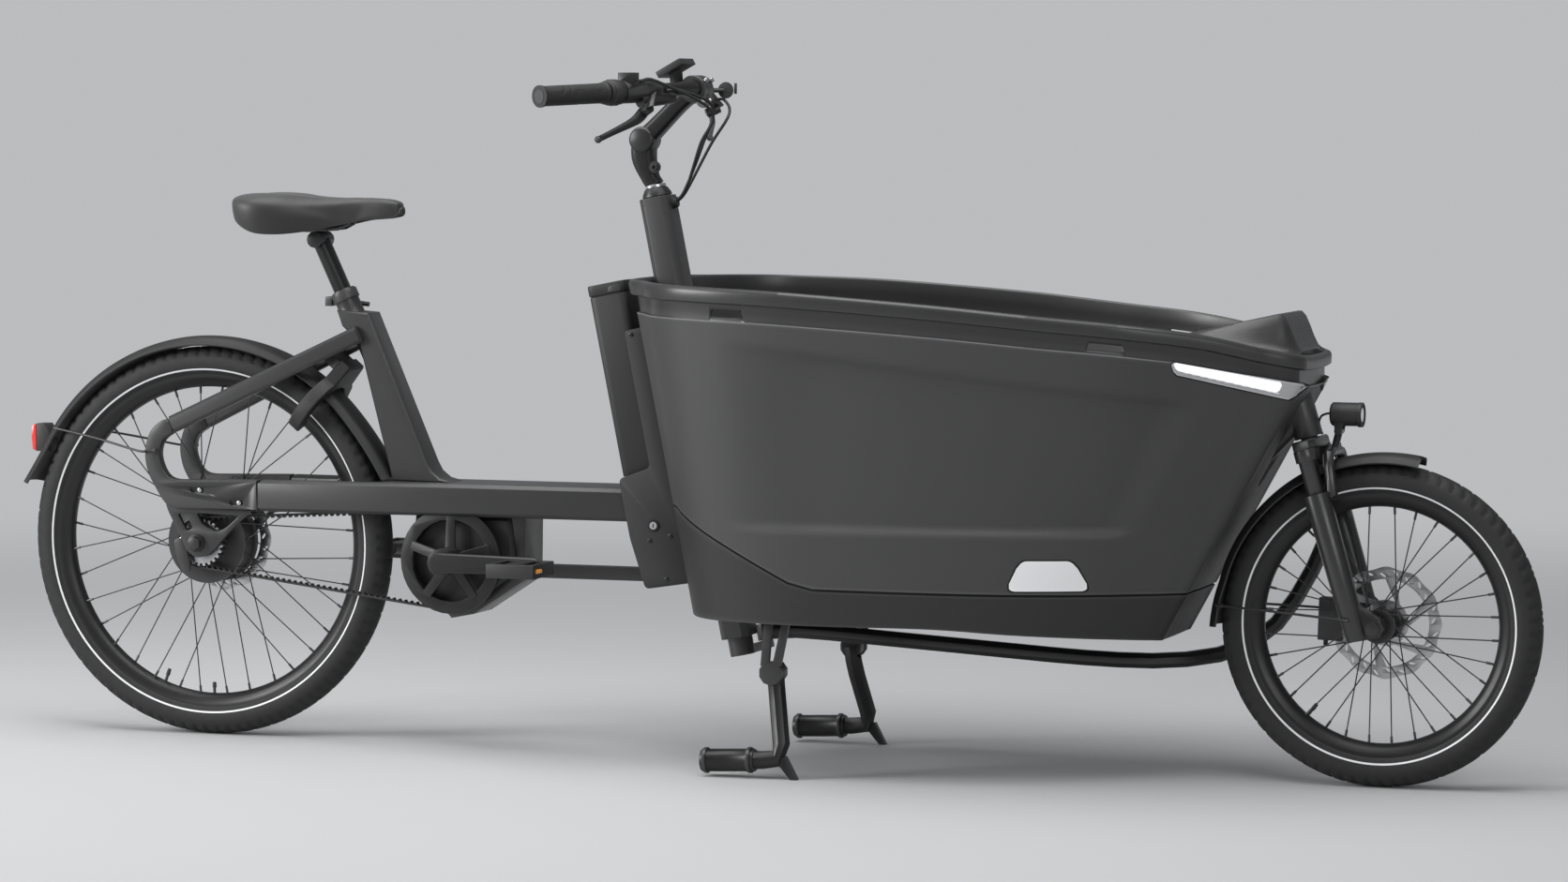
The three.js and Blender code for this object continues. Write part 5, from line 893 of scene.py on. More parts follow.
# %% Box outline
# Each station is a share of the length, a share of the half width and a share of the height.
RIM = [(0.0, 0.37, 1.0), (0.025, 0.52, 0.994), (0.055, 0.7, 0.987), (0.1, 0.84, 0.976), (0.165, 0.93, 0.955),
       (0.25, 0.985, 0.925), (0.383, 1.0, 0.84), (0.518, 0.983, 0.735), (0.653, 0.917, 0.6),
       (0.775, 0.817, 0.48), (0.877, 0.617, 0.32), (0.949, 0.45, 0.12), (1.0, 0.3, 0.0)]
FOOT = [(0.0, 0.4, 0.0), (0.02, 0.58, 0.0), (0.05, 0.73, 0.0), (0.095, 0.85, 0.0), (0.16, 0.93, 0.0),
        (0.24, 0.98, 0.0), (0.35, 1.0, 0.0), (0.578, 0.96, 0.0), (0.725, 0.865, 0.34),
        (0.85, 0.69, 0.64), (0.9375, 0.52, 0.84), (0.981, 0.42, 0.94), (1.0, 0.346, 1.0)]
REAR_TOP, REAR_FOOT = 822.8, 919.8
NOSE_TOP, NOSE_FOOT = 1930.6, 1706.7
HALF_TOP, HALF_FOOT = 300.0, 260.0
SEAM_REAR, SEAM_FRONT, SEAM_END = 430.4, 322.0, 312.0
NOSE_HALF, NOSE_SETBACK, RECESS_DEPTH = 95.0, 2.8, 11.0


def stations(shares, rear, nose, half, low, high):
    right = [Vector((rear + x * (nose - rear), -half * w, low + z * (high - low))) for x, w, z in shares]
    left = [Vector((p.x, -p.y, p.z)) for p in reversed(right)]
    return right + left


rim_loop = stations(RIM, REAR_TOP, NOSE_TOP, HALF_TOP, 640.0, 742.0)
foot_loop = stations(FOOT, REAR_FOOT, NOSE_FOOT, HALF_FOOT, 252.0, 231.0)


def on_loop(loop, k, t):
    count = len(loop)
    a, b, c, d = (loop[(k + i) % count] for i in (-1, 0, 1, 2))
    steps = [max(1.0, (q - p).length) ** 0.5 for p, q in ((a, b), (b, c), (c, d))]
    into = (b - a) / steps[0] - (c - a) / (steps[0] + steps[1]) + (c - b) / steps[1]
    out = (c - b) / steps[1] - (d - b) / (steps[1] + steps[2]) + (d - c) / steps[2]
    into, out = into * steps[1], out * steps[1]
    square, cube = 3.0 * (c - b) - 2.0 * into - out, 2.0 * (b - c) + into + out
    return b + into * t + square * t * t + cube * t ** 3


def flat_nose(point, nose):
    if point.x > nose:
        point.x = nose + (point.x - nose) * 0.12
    return point


def sample_places(spacing):
    made = []
    count = len(rim_loop)
    for k in range(count):
        length = (rim_loop[(k + 1) % count] - rim_loop[k]).length
        steps = max(2, round(length / spacing))
        made += [(k, i / steps) for i in range(steps)]
    return made


def smooth_step(value):
    value = min(1.0, max(0.0, value))
    return value * value * (3.0 - 2.0 * value)


def seam_height(x):
    if x < 914.0:
        return SEAM_REAR
    if x < 1136.0:
        return SEAM_REAR + (x - 914.0) / 222.0 * (SEAM_FRONT - SEAM_REAR)
    if x < 1178.0:
        return SEAM_FRONT + (x - 1136.0) / 42.0 * (SEAM_END - SEAM_FRONT)
    return SEAM_END - (x - 1178.0) / 1045.0 * 6.0


def recess(point):
    if abs(point.y) < NOSE_HALF:
        return -NOSE_SETBACK * smooth_step((NOSE_HALF - abs(point.y)) / 25.0) if point.x > 1500.0 else 0.0
    below_top = (706.0 - (point.x - 1081.0) * 0.121 - point.z) / 24.0
    above_foot = (point.z - 398.0) / 20.0
    nose_line = 1668.0 + (point.z - 409.0) * 0.47
    behind_nose = (nose_line + 28.0 - point.x) / 62.0
    ahead_of_rear = (point.x - 1010.0) / 190.0
    return -RECESS_DEPTH * math.prod(map(smooth_step, (below_top, above_foot, behind_nose, ahead_of_rear)))


class BoxLines:
    def __init__(self, spacing):
        self.places = sample_places(spacing)
        self.foot = [flat_nose(on_loop(foot_loop, k, t), NOSE_FOOT) for k, t in self.places]
        self.rim = [flat_nose(on_loop(rim_loop, k, t), NOSE_TOP) for k, t in self.places]
        count = len(self.places)
        self.out = []
        for i in range(count):
            following = (i + 1) % count
            ahead = self.rim[following] - self.rim[i - 1] + self.foot[following] - self.foot[i - 1]
            self.out.append(Vector((ahead.y, -ahead.x, 0.0)).normalized())

    def share_at(self, i, z):
        return (z - self.foot[i].z) / (self.rim[i].z - self.foot[i].z)

    def seam(self, i):
        v = 0.15
        for _ in range(5):
            x = self.foot[i].x + (self.rim[i].x - self.foot[i].x) * v
            v = self.share_at(i, seam_height(x))
        return v

    def point(self, i, v, grow):
        return self.foot[i].lerp(self.rim[i], v) + self.out[i] * grow


box_lines = BoxLines(5.5)
print("box outline:", len(box_lines.places), "places")

# %% Box shell and skirt
SHELL_TOP = 0.9985


def box_wall(name, rows, low, high, thick, material, inset=0.0, inner_rows=24):
    count = len(box_lines.places)
    lows = [low(i) for i in range(count)]
    highs = [high(i) for i in range(count)]
    total = rows + inner_rows + 2

    def place(u, v):
        i = round(u * count) % count
        k = round(v * total) % total
        outside = k <= rows
        share = k / rows if outside else 1.0 - (k - rows - 1) / inner_rows
        share = min(1.0, max(0.0, share))
        height = lows[i] + (highs[i] - lows[i]) * share
        spot = box_lines.point(i, height, -inset if outside else -inset - thick)
        return at(*(spot + box_lines.out[i] * recess(spot)))

    return shaped_grid(name, count, total, place, material, 50.0)


head_tool = rod("head_tool", at(1905.0, 0.0, 608.0), at(1931.0, 0.0, 520.0), 34.0, panel_plastic, 24)
down_tool = rod("down_tool", at(1630.0, 0.0, 294.0), at(1915.0, 0.0, 575.0), 19.0, panel_plastic, 24)
seam = box_lines.seam
shell = box_wall("box_shell_shown", 84, seam, lambda i: SHELL_TOP, 5.0, panel_plastic)
skirt = box_wall("box_skirt_shown", 14, lambda i: 0.0, lambda i: seam(i) - 0.009, 3.0, skirt_plastic, 0.0, 4)
# The seam gap is a near-black band set behind the seam between shell and skirt: painted shade in the gap.
seam_gap = box_wall("seam_gap", 2, lambda i: seam(i) - 0.03, lambda i: seam(i) + 0.02, 1.0, dark_gap, 3.2, 2)
for wall in (shell, skirt, seam_gap):
    less(wall, head_tool, down_tool)
print("box walls:", len(shell.data.polygons), len(skirt.data.polygons), "faces")

# %% Box floor
inside = BoxLines(16.0)
floor_line = [inside.point(i, 0.13, -5.4) for i in range(len(inside.places))]
floor_plate = flat_cut("box_floor", [[(p.x - REAR_AXLE, p.y) for p in floor_line]], 8.0, panel_plastic,
                       Matrix.Translation((0.0, 0.0, 0.314)), 0.4)
column_tool = rod("column_tool", at(953.0, 0.0, 240.0), at(925.0, 0.0, 382.0), 36.0, panel_plastic, 4)
less(floor_plate, column_tool, down_tool)
shell = joined([shell, floor_plate], "box_shell_shown")
install(shell, "frame", "box_shell")
install(joined([skirt, seam_gap], "box_skirt_shown"), "frame", "box_skirt")
drop(head_tool, down_tool, column_tool)
print("box shell has", len(shell.data.polygons), "faces")

# %% [markdown]
# The rim is a second moulding: a set-back band with slots for straps, then a lip that overhangs it. The
# lip's edge is rounded, and the hump over the nose is a fairing with a sharp crest.

# %% Box rim
# Each point of the section is how far out it lies from the wall, and how far up from the rim line.
RIM_SECTION = [
    (-5.6, -1.2), (-5.6, 26.0), (-4.8, 27.6), (2.6, 28.6), (4.6, 30.0), (5.4, 32.6), (5.8, 44.0), (5.0, 48.6),
    (2.8, 52.0), (-1.5, 54.0), (-6.0, 53.8), (-8.6, 51.6), (-9.6, 47.6), (-9.6, 31.0), (-9.2, 26.0),
    (-9.0, 18.0), (-9.0, -1.2),
]


def rim_moulding(name):
    rows = len(RIM_SECTION)
    count = len(box_lines.places)

    def place(u, v):
        i = round(u * count) % count
        grow, rise = RIM_SECTION[round(v * rows) % rows]
        spot = box_lines.rim[i] + box_lines.out[i] * grow
        back = smooth_step((870.0 - box_lines.rim[i].x) / 50.0)
        along = (box_lines.rim[i].x - REAR_TOP) / (NOSE_TOP - REAR_TOP)
        lean_back = rise * math.tan(LEAN) * back
        return at(spot.x - lean_back, spot.y, spot.z + rise * (1.0 - 0.09 * along))

    return shaped_grid(name, count, rows, place, rim_plastic, 32.0)


# A thin bead in a light tone runs along the shell's top edge: a painted highlight, with a little wear.
def edge_bead():
    count = len(box_lines.places)

    def place(u, v):
        i = round(u * count) % count
        angle = 2.0 * math.pi * v
        spot = box_lines.point(i, SHELL_TOP, -0.9 + 1.3 * math.cos(angle))
        return at(spot.x, spot.y, spot.z + 1.3 * math.sin(angle))

    return shaped_grid("shell_edge_bead", count, 8, place, bead_highlight_and_wear, 60.0)


def strap_slot(x0, x1, side):
    rim, out, count = box_lines.rim, box_lines.out, len(box_lines.places)
    same_side = [n for n in range(count) if rim[n].y * side > 0]
    i = min(same_side, key=lambda n: abs(rim[n].x - (x0 + x1) / 2.0))
    middle = rim[i] + out[i] * -7.0 + Vector((0.0, 0.0, 11.0))
    ahead = (rim[(i + 1) % count] - rim[i - 1]).normalized()
    across = ahead.cross(Vector((0.0, 0.0, 1.0))).normalized()
    lie = Matrix((ahead, across.cross(ahead), across)).transposed().to_4x4()
    half = (x1 - x0) / 2.0
    outline = [(-half, -4.5), (half, -4.5), (half - 4.0, 5.5), (4.0 - half, 5.5)]
    return flat_cut("slot", [outline], 16.0, rim_plastic, Matrix.Translation(at(*middle)) @ lie, 0.4)


rim = rim_moulding("box_rim_shown")
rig.ride(edge_bead(), "frame")
slots = [strap_slot(x0, x1, side) for x0, x1 in ((1003.0, 1066.0), (1627.0, 1686.0)) for side in (-1.0, 1.0)]
less(rim, *slots)
drop(*slots)
print("rim has", len(rim.data.polygons), "faces")

# %% Hump over the nose
def hump_part():
    rear, front = NOSE_TOP - 206.0, NOSE_TOP - 5.0

    def place(u, v):
        side = u * 2.0 - 1.0
        crest = 716.0 + 36.0 * min(1.0, v / 0.8) - 58.0 * smooth_step((v - 0.83) / 0.17)
        base = 712.0 - 22.0 * v
        steep = smooth_step((abs(side) - 0.72) / 0.28)
        height = max(base - 2.0, crest - (crest - base) * steep)
        return at(rear + (front - rear) * v, side * (150.0 - 62.0 * v), height)

    return shaped_grid("hump", 48, 30, place, rim_plastic, 32.0)


rim = joined([rim, hump_part()], "box_rim_shown")
install(rim, "frame", "box_rim")
print("rim and hump have", len(rim.data.polygons), "faces")

# %% [markdown]
# The light bars and the small windows lie in the wall's own curve. Each is a strip laid on the wall: its
# outline is given from the side, and the wall itself says how far out every point stands. A clear frame
# lies under a bright strip, as a row of lights sits behind its diffuser.

# %% Light bars and windows
def wall_point(i, z, grow):
    return box_lines.point(i, box_lines.share_at(i, z), grow)


def wall_spot(x, z, side, grow):
    count = len(box_lines.places)
    found = []
    for i in range(count):
        after = (i + 1) % count
        if box_lines.rim[i].y * side <= 0.0 or box_lines.rim[after].y * side <= 0.0:
            continue
        a, b = wall_point(i, z, grow), wall_point(after, z, grow)
        if (a.x - x) * (b.x - x) <= 0.0 and abs(b.x - a.x) > 1e-6:
            found.append(a.lerp(b, (x - a.x) / (b.x - a.x)))
    if found:
        return max(found, key=lambda spot: abs(spot.y))
    foremost = max(range(count), key=lambda n: box_lines.rim[n].x)
    return wall_point(foremost, z, grow)


def wall_strip(name, side, corners, low, high, material, rounding, columns=40):
    low_rear, low_front, high_front, high_rear = [Vector(corner) for corner in corners]
    rows = 8
    total = rows * 2 + 2

    def place(u, v):
        k = round(v * total) % total
        outer = k <= rows
        share = k / rows if outer else 1.0 - (k - rows - 1) / rows
        pinch = max(0.0, 1.0 - min(u, 1.0 - u) / rounding)
        squeeze = 1.0 - 0.5 * (1.0 - math.sqrt(1.0 - pinch * pinch))
        share = 0.5 + (share - 0.5) * squeeze
        spot = low_rear.lerp(low_front, u).lerp(high_rear.lerp(high_front, u), share)
        return at(*wall_spot(spot.x, spot.y, side, high if outer else low))

    return shaped_grid(name, columns, total, place, material, 45.0)


HANDS = ((-1.0, "right"), (1.0, "left"))
# Each strip has its four corners from the side, how far out it lies and stands, its finish and its ends.
LIGHT_STRIPS = {
    "frame": ([(1753, 661), (1915, 618), (1936, 643), (1749, 681)], -0.5, 0.9, clear_frame, 0.025),
    # The gap strip is a near-black outline round the frame: painted shade in the gap.
    "gap": ([(1751.5, 659), (1916, 615.5), (1937, 644.5), (1747.5, 683)], -0.4, 0.4, dark_gap, 0.025),
    "strip": ([(1756, 667.5), (1898, 629.5), (1906, 646.5), (1753, 680.5)], 0.5, 1.7, lit_strip, 0.02),
}
WINDOW_STRIPS = {
    # The edge strip is a near-black outline round the pane: painted shade in the gap.
    "edge": (
        [(1486, 313.0), (1618, 313.0), (1594.5, 366.5), (1510.5, 366.5)], -1.5, 0.25, dark_gap, 0.12, 32,
    ),
    "pane": ([(1489, 315.5), (1615, 315.5), (1592, 364), (1513, 364)], -1.5, 0.5, lamp_lens, 0.12, 32),
}


def laid_on_wall(strips, side, hand):
    return [wall_strip(label + "_" + hand, side, *strip) for label, strip in strips.items()]


def light_points(side):
    def spot(x):
        return at(*wall_spot(x, 664.5 - (x - 1766.0) * 0.265, side, 0.6))

    starts = [1766.0 + i * 11.5 for i in range(12)]
    return [rod("light_point", spot(x), spot(x + 6.5), 1.1, lamp_lens, 8) for x in starts]


for side, hand in HANDS:
    bar_parts = laid_on_wall(LIGHT_STRIPS, side, hand) + light_points(side)
    install(joined(bar_parts, "light_bar_shown_" + hand), "frame", "light_bar_" + hand)
    window_parts = laid_on_wall(WINDOW_STRIPS, side, hand)
    install(joined(window_parts, "window_shown_" + hand), "frame", "window_" + hand)
print("light bars and windows laid on the wall")

# %% [markdown]
# On the bench the battery slides into a dock whose cheeks are screwed on. The screws and the lock barrel
# are small turned pieces, modelled once and copied to their places, each copy with its own mesh.

# %% Tower screws and lock barrel
SCREW_Y = 70.0


def copy_to(piece, place):
    made = bpy.data.objects.new(piece.name, piece.data.copy())
    bpy.context.scene.collection.objects.link(made)
    made.data.transform(place)
    return made


def button_screw(radius):
    profile = [(0.0, -1.2), (radius * 0.45, -1.2), (radius * 0.5, -2.1), (radius * 0.85, -1.7),
               (radius, -0.9), (radius, 1.0), (0.0, 1.0)]
    return turned("tower_screw", profile, ORIGIN, anodised, 24, 30.0)


screw = button_screw(3.6)
half_turn = Matrix.Rotation(math.pi, 4, "Z")
screws = []
for x, z in ((795.7, 702.9), (828.0, 362.7), (864.4, 371.6), (857.6, 300.0)):
    screws.append(copy_to(screw, Matrix.Translation(at(x, -SCREW_Y, z))))
    screws.append(copy_to(screw, Matrix.Translation(at(x, SCREW_Y, z)) @ half_turn))
drop(screw)
barrel = at(834.7, -SCREW_Y, 387.8)
ring_line = [(7.2, -2.4), (9.4, -2.2), (9.8, -1.0), (9.8, 1.0), (7.2, 1.0)]
face_line = [(0.0, -1.8), (6.4, -1.8), (7.0, -1.2), (7.0, 1.0), (0.0, 1.0)]
lock_ring = turned("lock_ring", ring_line, barrel, dark_gap, 40)
lock_face = turned("lock_face", face_line, barrel, bare_steel, 40)
# The key slot is a near-black rod: painted shade in the keyhole.
key_slot = rod("key_slot", at(834.7, -72.1, 384.9), at(834.7, -72.1, 390.7), 0.9, dark_gap, 8)
install(joined(screws + [lock_ring, lock_face, key_slot], "tower_fasteners"), "frame")
print("tower fasteners placed")

# %% [markdown]
# Wires, hoses and handlebars are tubes along a smooth path. The path passes through a few given points. A
# pair of cross directions is carried along it, so that the tube's faces don't twist.

# %% Paths and tubes
def smooth_points(points, count):
    made = []
    ends = [points[0] * 2.0 - points[1]] + list(points) + [points[-1] * 2.0 - points[-2]]
    spans = len(points) - 1
    for i in range(count + 1):
        where = min(i / count * spans, spans - 1e-6)
        k = int(where)
        t = where - k
        a, b, c, d = ends[k:k + 4]
        square = (2.0 * a - 5.0 * b + 4.0 * c - d) * t * t
        cube = (3.0 * b - a - 3.0 * c + d) * t ** 3
        made.append(0.5 * (2.0 * b + (c - a) * t + square + cube))
    return made


def tube(name, points, radius, material, sides=12, count=40, radius_at=None):
    path = smooth_points(points, count)
    frames = []
    side = None
    for i, point in enumerate(path):
        ahead = (path[min(i + 1, count)] - path[max(i - 1, 0)]).normalized()
        side = ahead.orthogonal() if side is None else (side - ahead * side.dot(ahead))
        side.normalize()
        frames.append((point, side.copy(), ahead.cross(side)))

    def place(u, v):
        centre, one, two = frames[round(v * count)]
        size = (radius_at(v) if radius_at else radius) * 0.001
        angle = 2.0 * math.pi * u
        return centre + one * (size * math.cos(angle)) + two * (size * math.sin(angle))

    return shaped_grid(name, sides, count, place, material, 50.0), path


print("paths can be drawn as tubes")

# %% [markdown]
# Mudguards are pressed or moulded blades with a crowned section and rolled edges. The section is swept round
# the axle in small steps, with the same flare at the ends as the solid has. Thin wire stays run from an eye
# on the blade to the frame.

# %% Mudguards, wires and tail lamp
REAR_GUARD, FRONT_GUARD, GUARD_HALF = 352.4, 276.4, 33.5
CROWN = [(0.0, 0.0), (0.3, -0.02), (0.6, -0.07), (0.8, -0.17), (0.93, -0.33), (1.0, -0.43)]


def guard_section():
    right = [(a * GUARD_HALF, b * GUARD_HALF) for a, b in CROWN]
    outside = [(-a, b) for a, b in reversed(right[1:])] + right
    inside_line = [(a * 0.965, b - 2.2) for a, b in reversed(outside)]
    rear_lip = (outside[0][0] + 0.3, outside[0][1] - 0.9)
    front_lip = (outside[-1][0] - 0.3, outside[-1][1] - 0.9)
    return [rear_lip] + outside + [front_lip] + inside_line


def guard_blade(name, hub, radius_at, start, end, columns, notch=0.0):
    section = guard_section()
    rows = len(section)

    def place(u, v):
        across, rise = section[round(v * rows) % rows]
        near = max(0.0, 1.0 - u / 0.09)
        angle = start + (end - start) * u + notch * near * (1.0 - min(1.0, abs(across) / 16.0))
        return round_hub(hub, radius_at(u) + rise, across, math.radians(angle))

    return shaped_grid(name, columns, rows, place, moulded_black, 42.0)


def rear_radius(share):
    head = max(0.0, 0.16 - share) / 0.16
    tail = max(0.0, share - 0.9) / 0.1
    return REAR_GUARD + 15.0 * (head * head * 0.8 + tail * tail)


def front_radius(share):
    return FRONT_GUARD - 7.0 * min(1.0, share / 0.55) + 8.0 * max(0.0, share - 0.85) / 0.15


def wire(name, points):
    return tube(name, points, 2.0, anodised, 10, 24)[0]


rear_guard = guard_blade("rear_guard", REAR_HUB, rear_radius, 19.0, 165.0, 150)
rear_parts = [rear_guard]
lamp_turn = math.radians(151.0)
lamp_x, lamp_z = REAR_GUARD * math.cos(lamp_turn), REAR_RADIUS + REAR_GUARD * math.sin(lamp_turn)
for sign in (-1.0, 1.0):
    y, eye_z = sign * 79.6, 491.0
    start, eye = at(lamp_x + 20.0, sign * 29.5, lamp_z + 18.0), at(-103.5, y, eye_z)
    middle = (start + eye) / 2.0 + Vector((0.0, 0.0, 0.002))
    route = [start, middle, eye, at(-86.0, y, eye_z), at(-70.0, y, eye_z)]
    inner, outer = at(-70.0, sign * 77.4, eye_z), at(-70.0, sign * 81.6, eye_z)
    rear_parts += [wire("rear_wire", route), rod("wire_eye", inner, outer, 4.4, anodised, 20, bevel=0.5)]
HOUSING_LINE = [(-22.0, -24.0), (2.0, -24.0), (4.0, 10.0), (-6.0, 24.0), (-22.0, 24.0)]
LENS_LINE = [(-22.4, -23.6), (-22.4, 23.6), (-29.5, 21.0), (-31.2, 0.0), (-29.5, -21.0)]


def at_tail_lamp(line):
    return [(lamp_x + x, lamp_z + z) for x, z in line]


housing_line = at_tail_lamp(HOUSING_LINE)
rear_parts.append(flat_cut("lamp_housing", [housing_line], 34.0, moulded_black, beside(0.0), 2.4))
install(joined(rear_parts, "rear_mudguard_shown"), "frame", "rear_mudguard")
lens = flat_cut("tail_lens_shown", [at_tail_lamp(LENS_LINE)], 33.4, red_lens, beside(0.0), 1.6)
install(lens, "frame", "tail_lens")
front_guard = guard_blade("front_guard", FRONT_HUB, front_radius, 76.0, 182.0, 110, 4.0)
front_parts = [front_guard]
for sign in (-1.0, 1.0):
    start = at(WHEELBASE - 263.0, sign * 30.5, FRONT_RADIUS + 25.8)
    end = at(WHEELBASE - 36.0, sign * 77.7, FRONT_RADIUS + 12.9)
    middle = start.lerp(end, 0.5) + Vector((0.0, sign * 0.002, 0.001))
    front_parts.append(wire("front_wire", [start, middle, end]))
    near, far = start + (end - start) * 0.012, start + (end - start) * 0.06
    front_parts.append(rod("wire_clip", near, far, 3.4, moulded_black, 16, bevel=0.4))
install(joined(front_parts, "front_mudguard_shown"), "lower_legs", "front_mudguard")
print("mudguards:", len(rear_guard.data.polygons), len(front_guard.data.polygons), "faces")

# %% [markdown]
# The loops that carry the rear axle are castings. A casting has no sharp corner, so each corner of the side
# outline is rounded before the outline is given its thickness, and the plate below it stays flat.

# %% Stay castings
def rounded(points, reach, steps=4):
    made = []
    count = len(points)
    for i in range(count):
        here = Vector(points[i][:2])
        before, after = Vector(points[i - 1][:2]), Vector(points[(i + 1) % count][:2])
        size = points[i][2] if len(points[i]) > 2 else reach
        start = here + (before - here).normalized() * min(size, (before - here).length * 0.5)
        end = here + (after - here).normalized() * min(size, (after - here).length * 0.5)
        for k in range(steps + 1):
            t = k / steps
            made.append(tuple(start.lerp(here, t).lerp(here.lerp(end, t), t)))
    return made


# Outlines are in wheel radii from the axle. A third number is the reach of that corner's rounding.
LOOP = [(-0.145, 0.646), (-0.213, 0.606), (-0.253, 0.56), (-0.279, 0.461), (-0.26, 0.356), (-0.213, 0.278),
        (-0.165, 0.2), (-0.11, 0.176), (0.36, 0.174, 1.0), (0.36, 0.335, 1.0), (-0.12, 0.325), (-0.165, 0.36),
        (-0.198, 0.445), (-0.182, 0.515), (-0.152, 0.545), (-0.107, 0.568)]
PLATE = [(-0.18, 0.23), (0.335, 0.19), (0.228, 0.11), (0.108, -0.02), (0.06, -0.06), (0.0, -0.078),
         (-0.055, -0.045), (-0.09, 0.03), (-0.165, 0.17)]
SLOT = [(-0.105, 0.15), (-0.06, 0.15), (-0.02, 0.075), (-0.055, 0.06)]
OPENING = [(0.0, 0.155), (0.24, 0.145), (0.17, 0.085), (0.115, 0.06), (0.065, 0.08), (0.03, 0.1)]
BELT_GUARD = [(-0.135, 0.015), (-0.07, 0.03), (-0.04, -0.15), (-0.08, -0.155), (-0.12, -0.075)]
BOLT_SLOTS = ((0.02, 0.275), (0.24, 0.215))


def from_axle(points, reach):
    return rounded([(p[0] * REAR_RADIUS, (1.0 + p[1]) * REAR_RADIUS, *p[2:]) for p in points], reach)


def across_axle(name, sign, inner, outer, radius, sides, bevel, material=None, x=0.0, z=REAR_RADIUS):
    start, end = at(x, sign * inner, z), at(x, sign * outer, z)
    return rod(name, start, end, radius, material or anodised, sides, bevel=bevel)


def cut_slot(loop, sign, x, z):
    line = [(x - 13.0, z - 4.6), (x + 13.0, z - 4.6), (x + 13.0, z + 4.6), (x - 13.0, z + 4.6)]
    hollow = flat_cut("slot", [rounded(line, 4.5)], 10.0, dark_gap, beside(sign * 77.0), 0.3)
    less(loop, hollow)
    drop(hollow)


for sign, hand in HANDS:
    loop = flat_cut("loop", [from_axle(LOOP, 16.0)], 19.0, powder_coat, beside(sign * 67.5), 2.6, 50.0)
    plate_lines = [from_axle(PLATE, 9.0), from_axle(SLOT, 5.0), from_axle(OPENING, 6.0)]
    pieces = [loop, flat_cut("plate", plate_lines, 8.0, powder_coat, beside(sign * 62.0), 0.9)]
    if hand == "right":
        guard_line = from_axle(BELT_GUARD, 9.0)
        pieces.append(flat_cut("belt_guard", [guard_line], 5.0, powder_coat, beside(-61.0), 0.8))
    pieces.append(across_axle("axle_nut", sign, 66.0, 79.0, 12.0, 6, 0.6))
    pieces.append(across_axle("axle_washer", sign, 58.5, 70.5, 15.0, 40, 0.5))
    for a, b in BOLT_SLOTS:
        x, z = a * REAR_RADIUS, (1.0 + b) * REAR_RADIUS
        cut_slot(loop, sign, x, z)
        pieces.append(across_axle("slot_bolt", sign, 71.0, 75.6, 3.9, 24, 0.5, bare_steel, x + 4.5, z))
    install(joined(pieces, "stay_casting_shown_" + hand), "frame", "stay_casting_" + hand)
print("castings done")

# %% [markdown]
# The saddle is foam under a cover. Its section is swept from tail to nose while its width, depth and height
# follow smooth curves. The surface is drawn in a little and swollen again by a short cloth simulation with
# pressure inside, as foam fills its cover. A limit on how far a point may move keeps the edge crisp.

# %% Padded saddle
SADDLE_TAIL, SADDLE_TOP = 57.1, 932.1
SADDLE_LENGTH, SADDLE_HALF, SADDLE_DEPTH = 303.0, 93.0, 62.0
DRAWN_IN, TOP_SWELL, EDGE_SWELL, EDGE_HEIGHT = 0.0015, 0.0018, 0.0008, 0.89
SADDLE_STEPS, SADDLE_ROWS, CLOTH_FRAMES = 88, 84, 20
# Each station is a share of the length, then the width, the depth and the drop of the section there.
SADDLE_LINE = [
    (0.0, 0.0, 0.02, -0.2), (0.004, 0.4, 0.2, -0.14), (0.06, 0.8, 0.72, -0.06), (0.18, 0.99, 1.08, -0.01),
    (0.32, 0.92, 1.12, -0.03), (0.46, 0.66, 0.98, -0.1), (0.6, 0.4, 0.8, -0.14), (0.75, 0.27, 0.66, -0.13),
    (0.9, 0.23, 0.57, -0.16), (0.975, 0.17, 0.45, -0.22), (0.998, 0.08, 0.22, -0.3), (1.0, 0.0, 0.02, -0.36),
]
SADDLE_SECTION = [
    (-1.0, -0.36), (-0.86, -0.12), (-0.5, 0.0), (0.0, -0.03), (0.5, 0.0), (0.86, -0.12), (1.0, -0.36),
    (0.96, -0.8), (0.84, -1.0), (0.62, -0.5), (0.0, -0.46), (-0.62, -0.5), (-0.84, -1.0), (-0.96, -0.8),
]


def saddle_grid():
    closed = [Vector((y, z, 0.0)) for y, z in SADDLE_SECTION]
    spans = len(closed)
    around = smooth_points(closed[-2:] + closed + closed[:3], SADDLE_ROWS * (spans + 4) // spans)
    around = around[2 * SADDLE_ROWS // spans:][:SADDLE_ROWS]
    line = smooth_points([Vector(station) for station in SADDLE_LINE], SADDLE_STEPS)

    def place(u, v):
        share, wide, deep, drop_here = line[round(u * SADDLE_STEPS)]
        across, rise, _ = around[round(v * SADDLE_ROWS) % SADDLE_ROWS]
        height = SADDLE_TOP + (drop_here + rise * deep) * SADDLE_DEPTH
        return at(SADDLE_TAIL + SADDLE_LENGTH * share, across * max(0.0, wide) * SADDLE_HALF, height)

    return shaped_grid("saddle_shown", SADDLE_STEPS, SADDLE_ROWS, place, saddle_cover, 60.0)


def swell(pad):
    rest = [vertex.co.copy() for vertex in pad.data.vertices]
    cloth = pad.modifiers.new("foam", "CLOTH")
    cloth.settings.use_pressure = True
    cloth.settings.uniform_pressure_force = 4.0
    cloth.settings.effector_weights.gravity = 0.0
    cloth.settings.tension_stiffness = 60.0
    cloth.settings.compression_stiffness = 60.0
    for number in range(1, CLOTH_FRAMES + 1):
        bpy.context.scene.frame_set(number)
    apply_modifier(pad, cloth)
    for vertex, start in zip(pad.data.vertices, rest):
        move = vertex.co - start
        most = TOP_SWELL if vertex.co.z > EDGE_HEIGHT else EDGE_SWELL
        if move.length > most:
            vertex.co = start + move * (most / move.length)
    bpy.context.scene.frame_set(1)


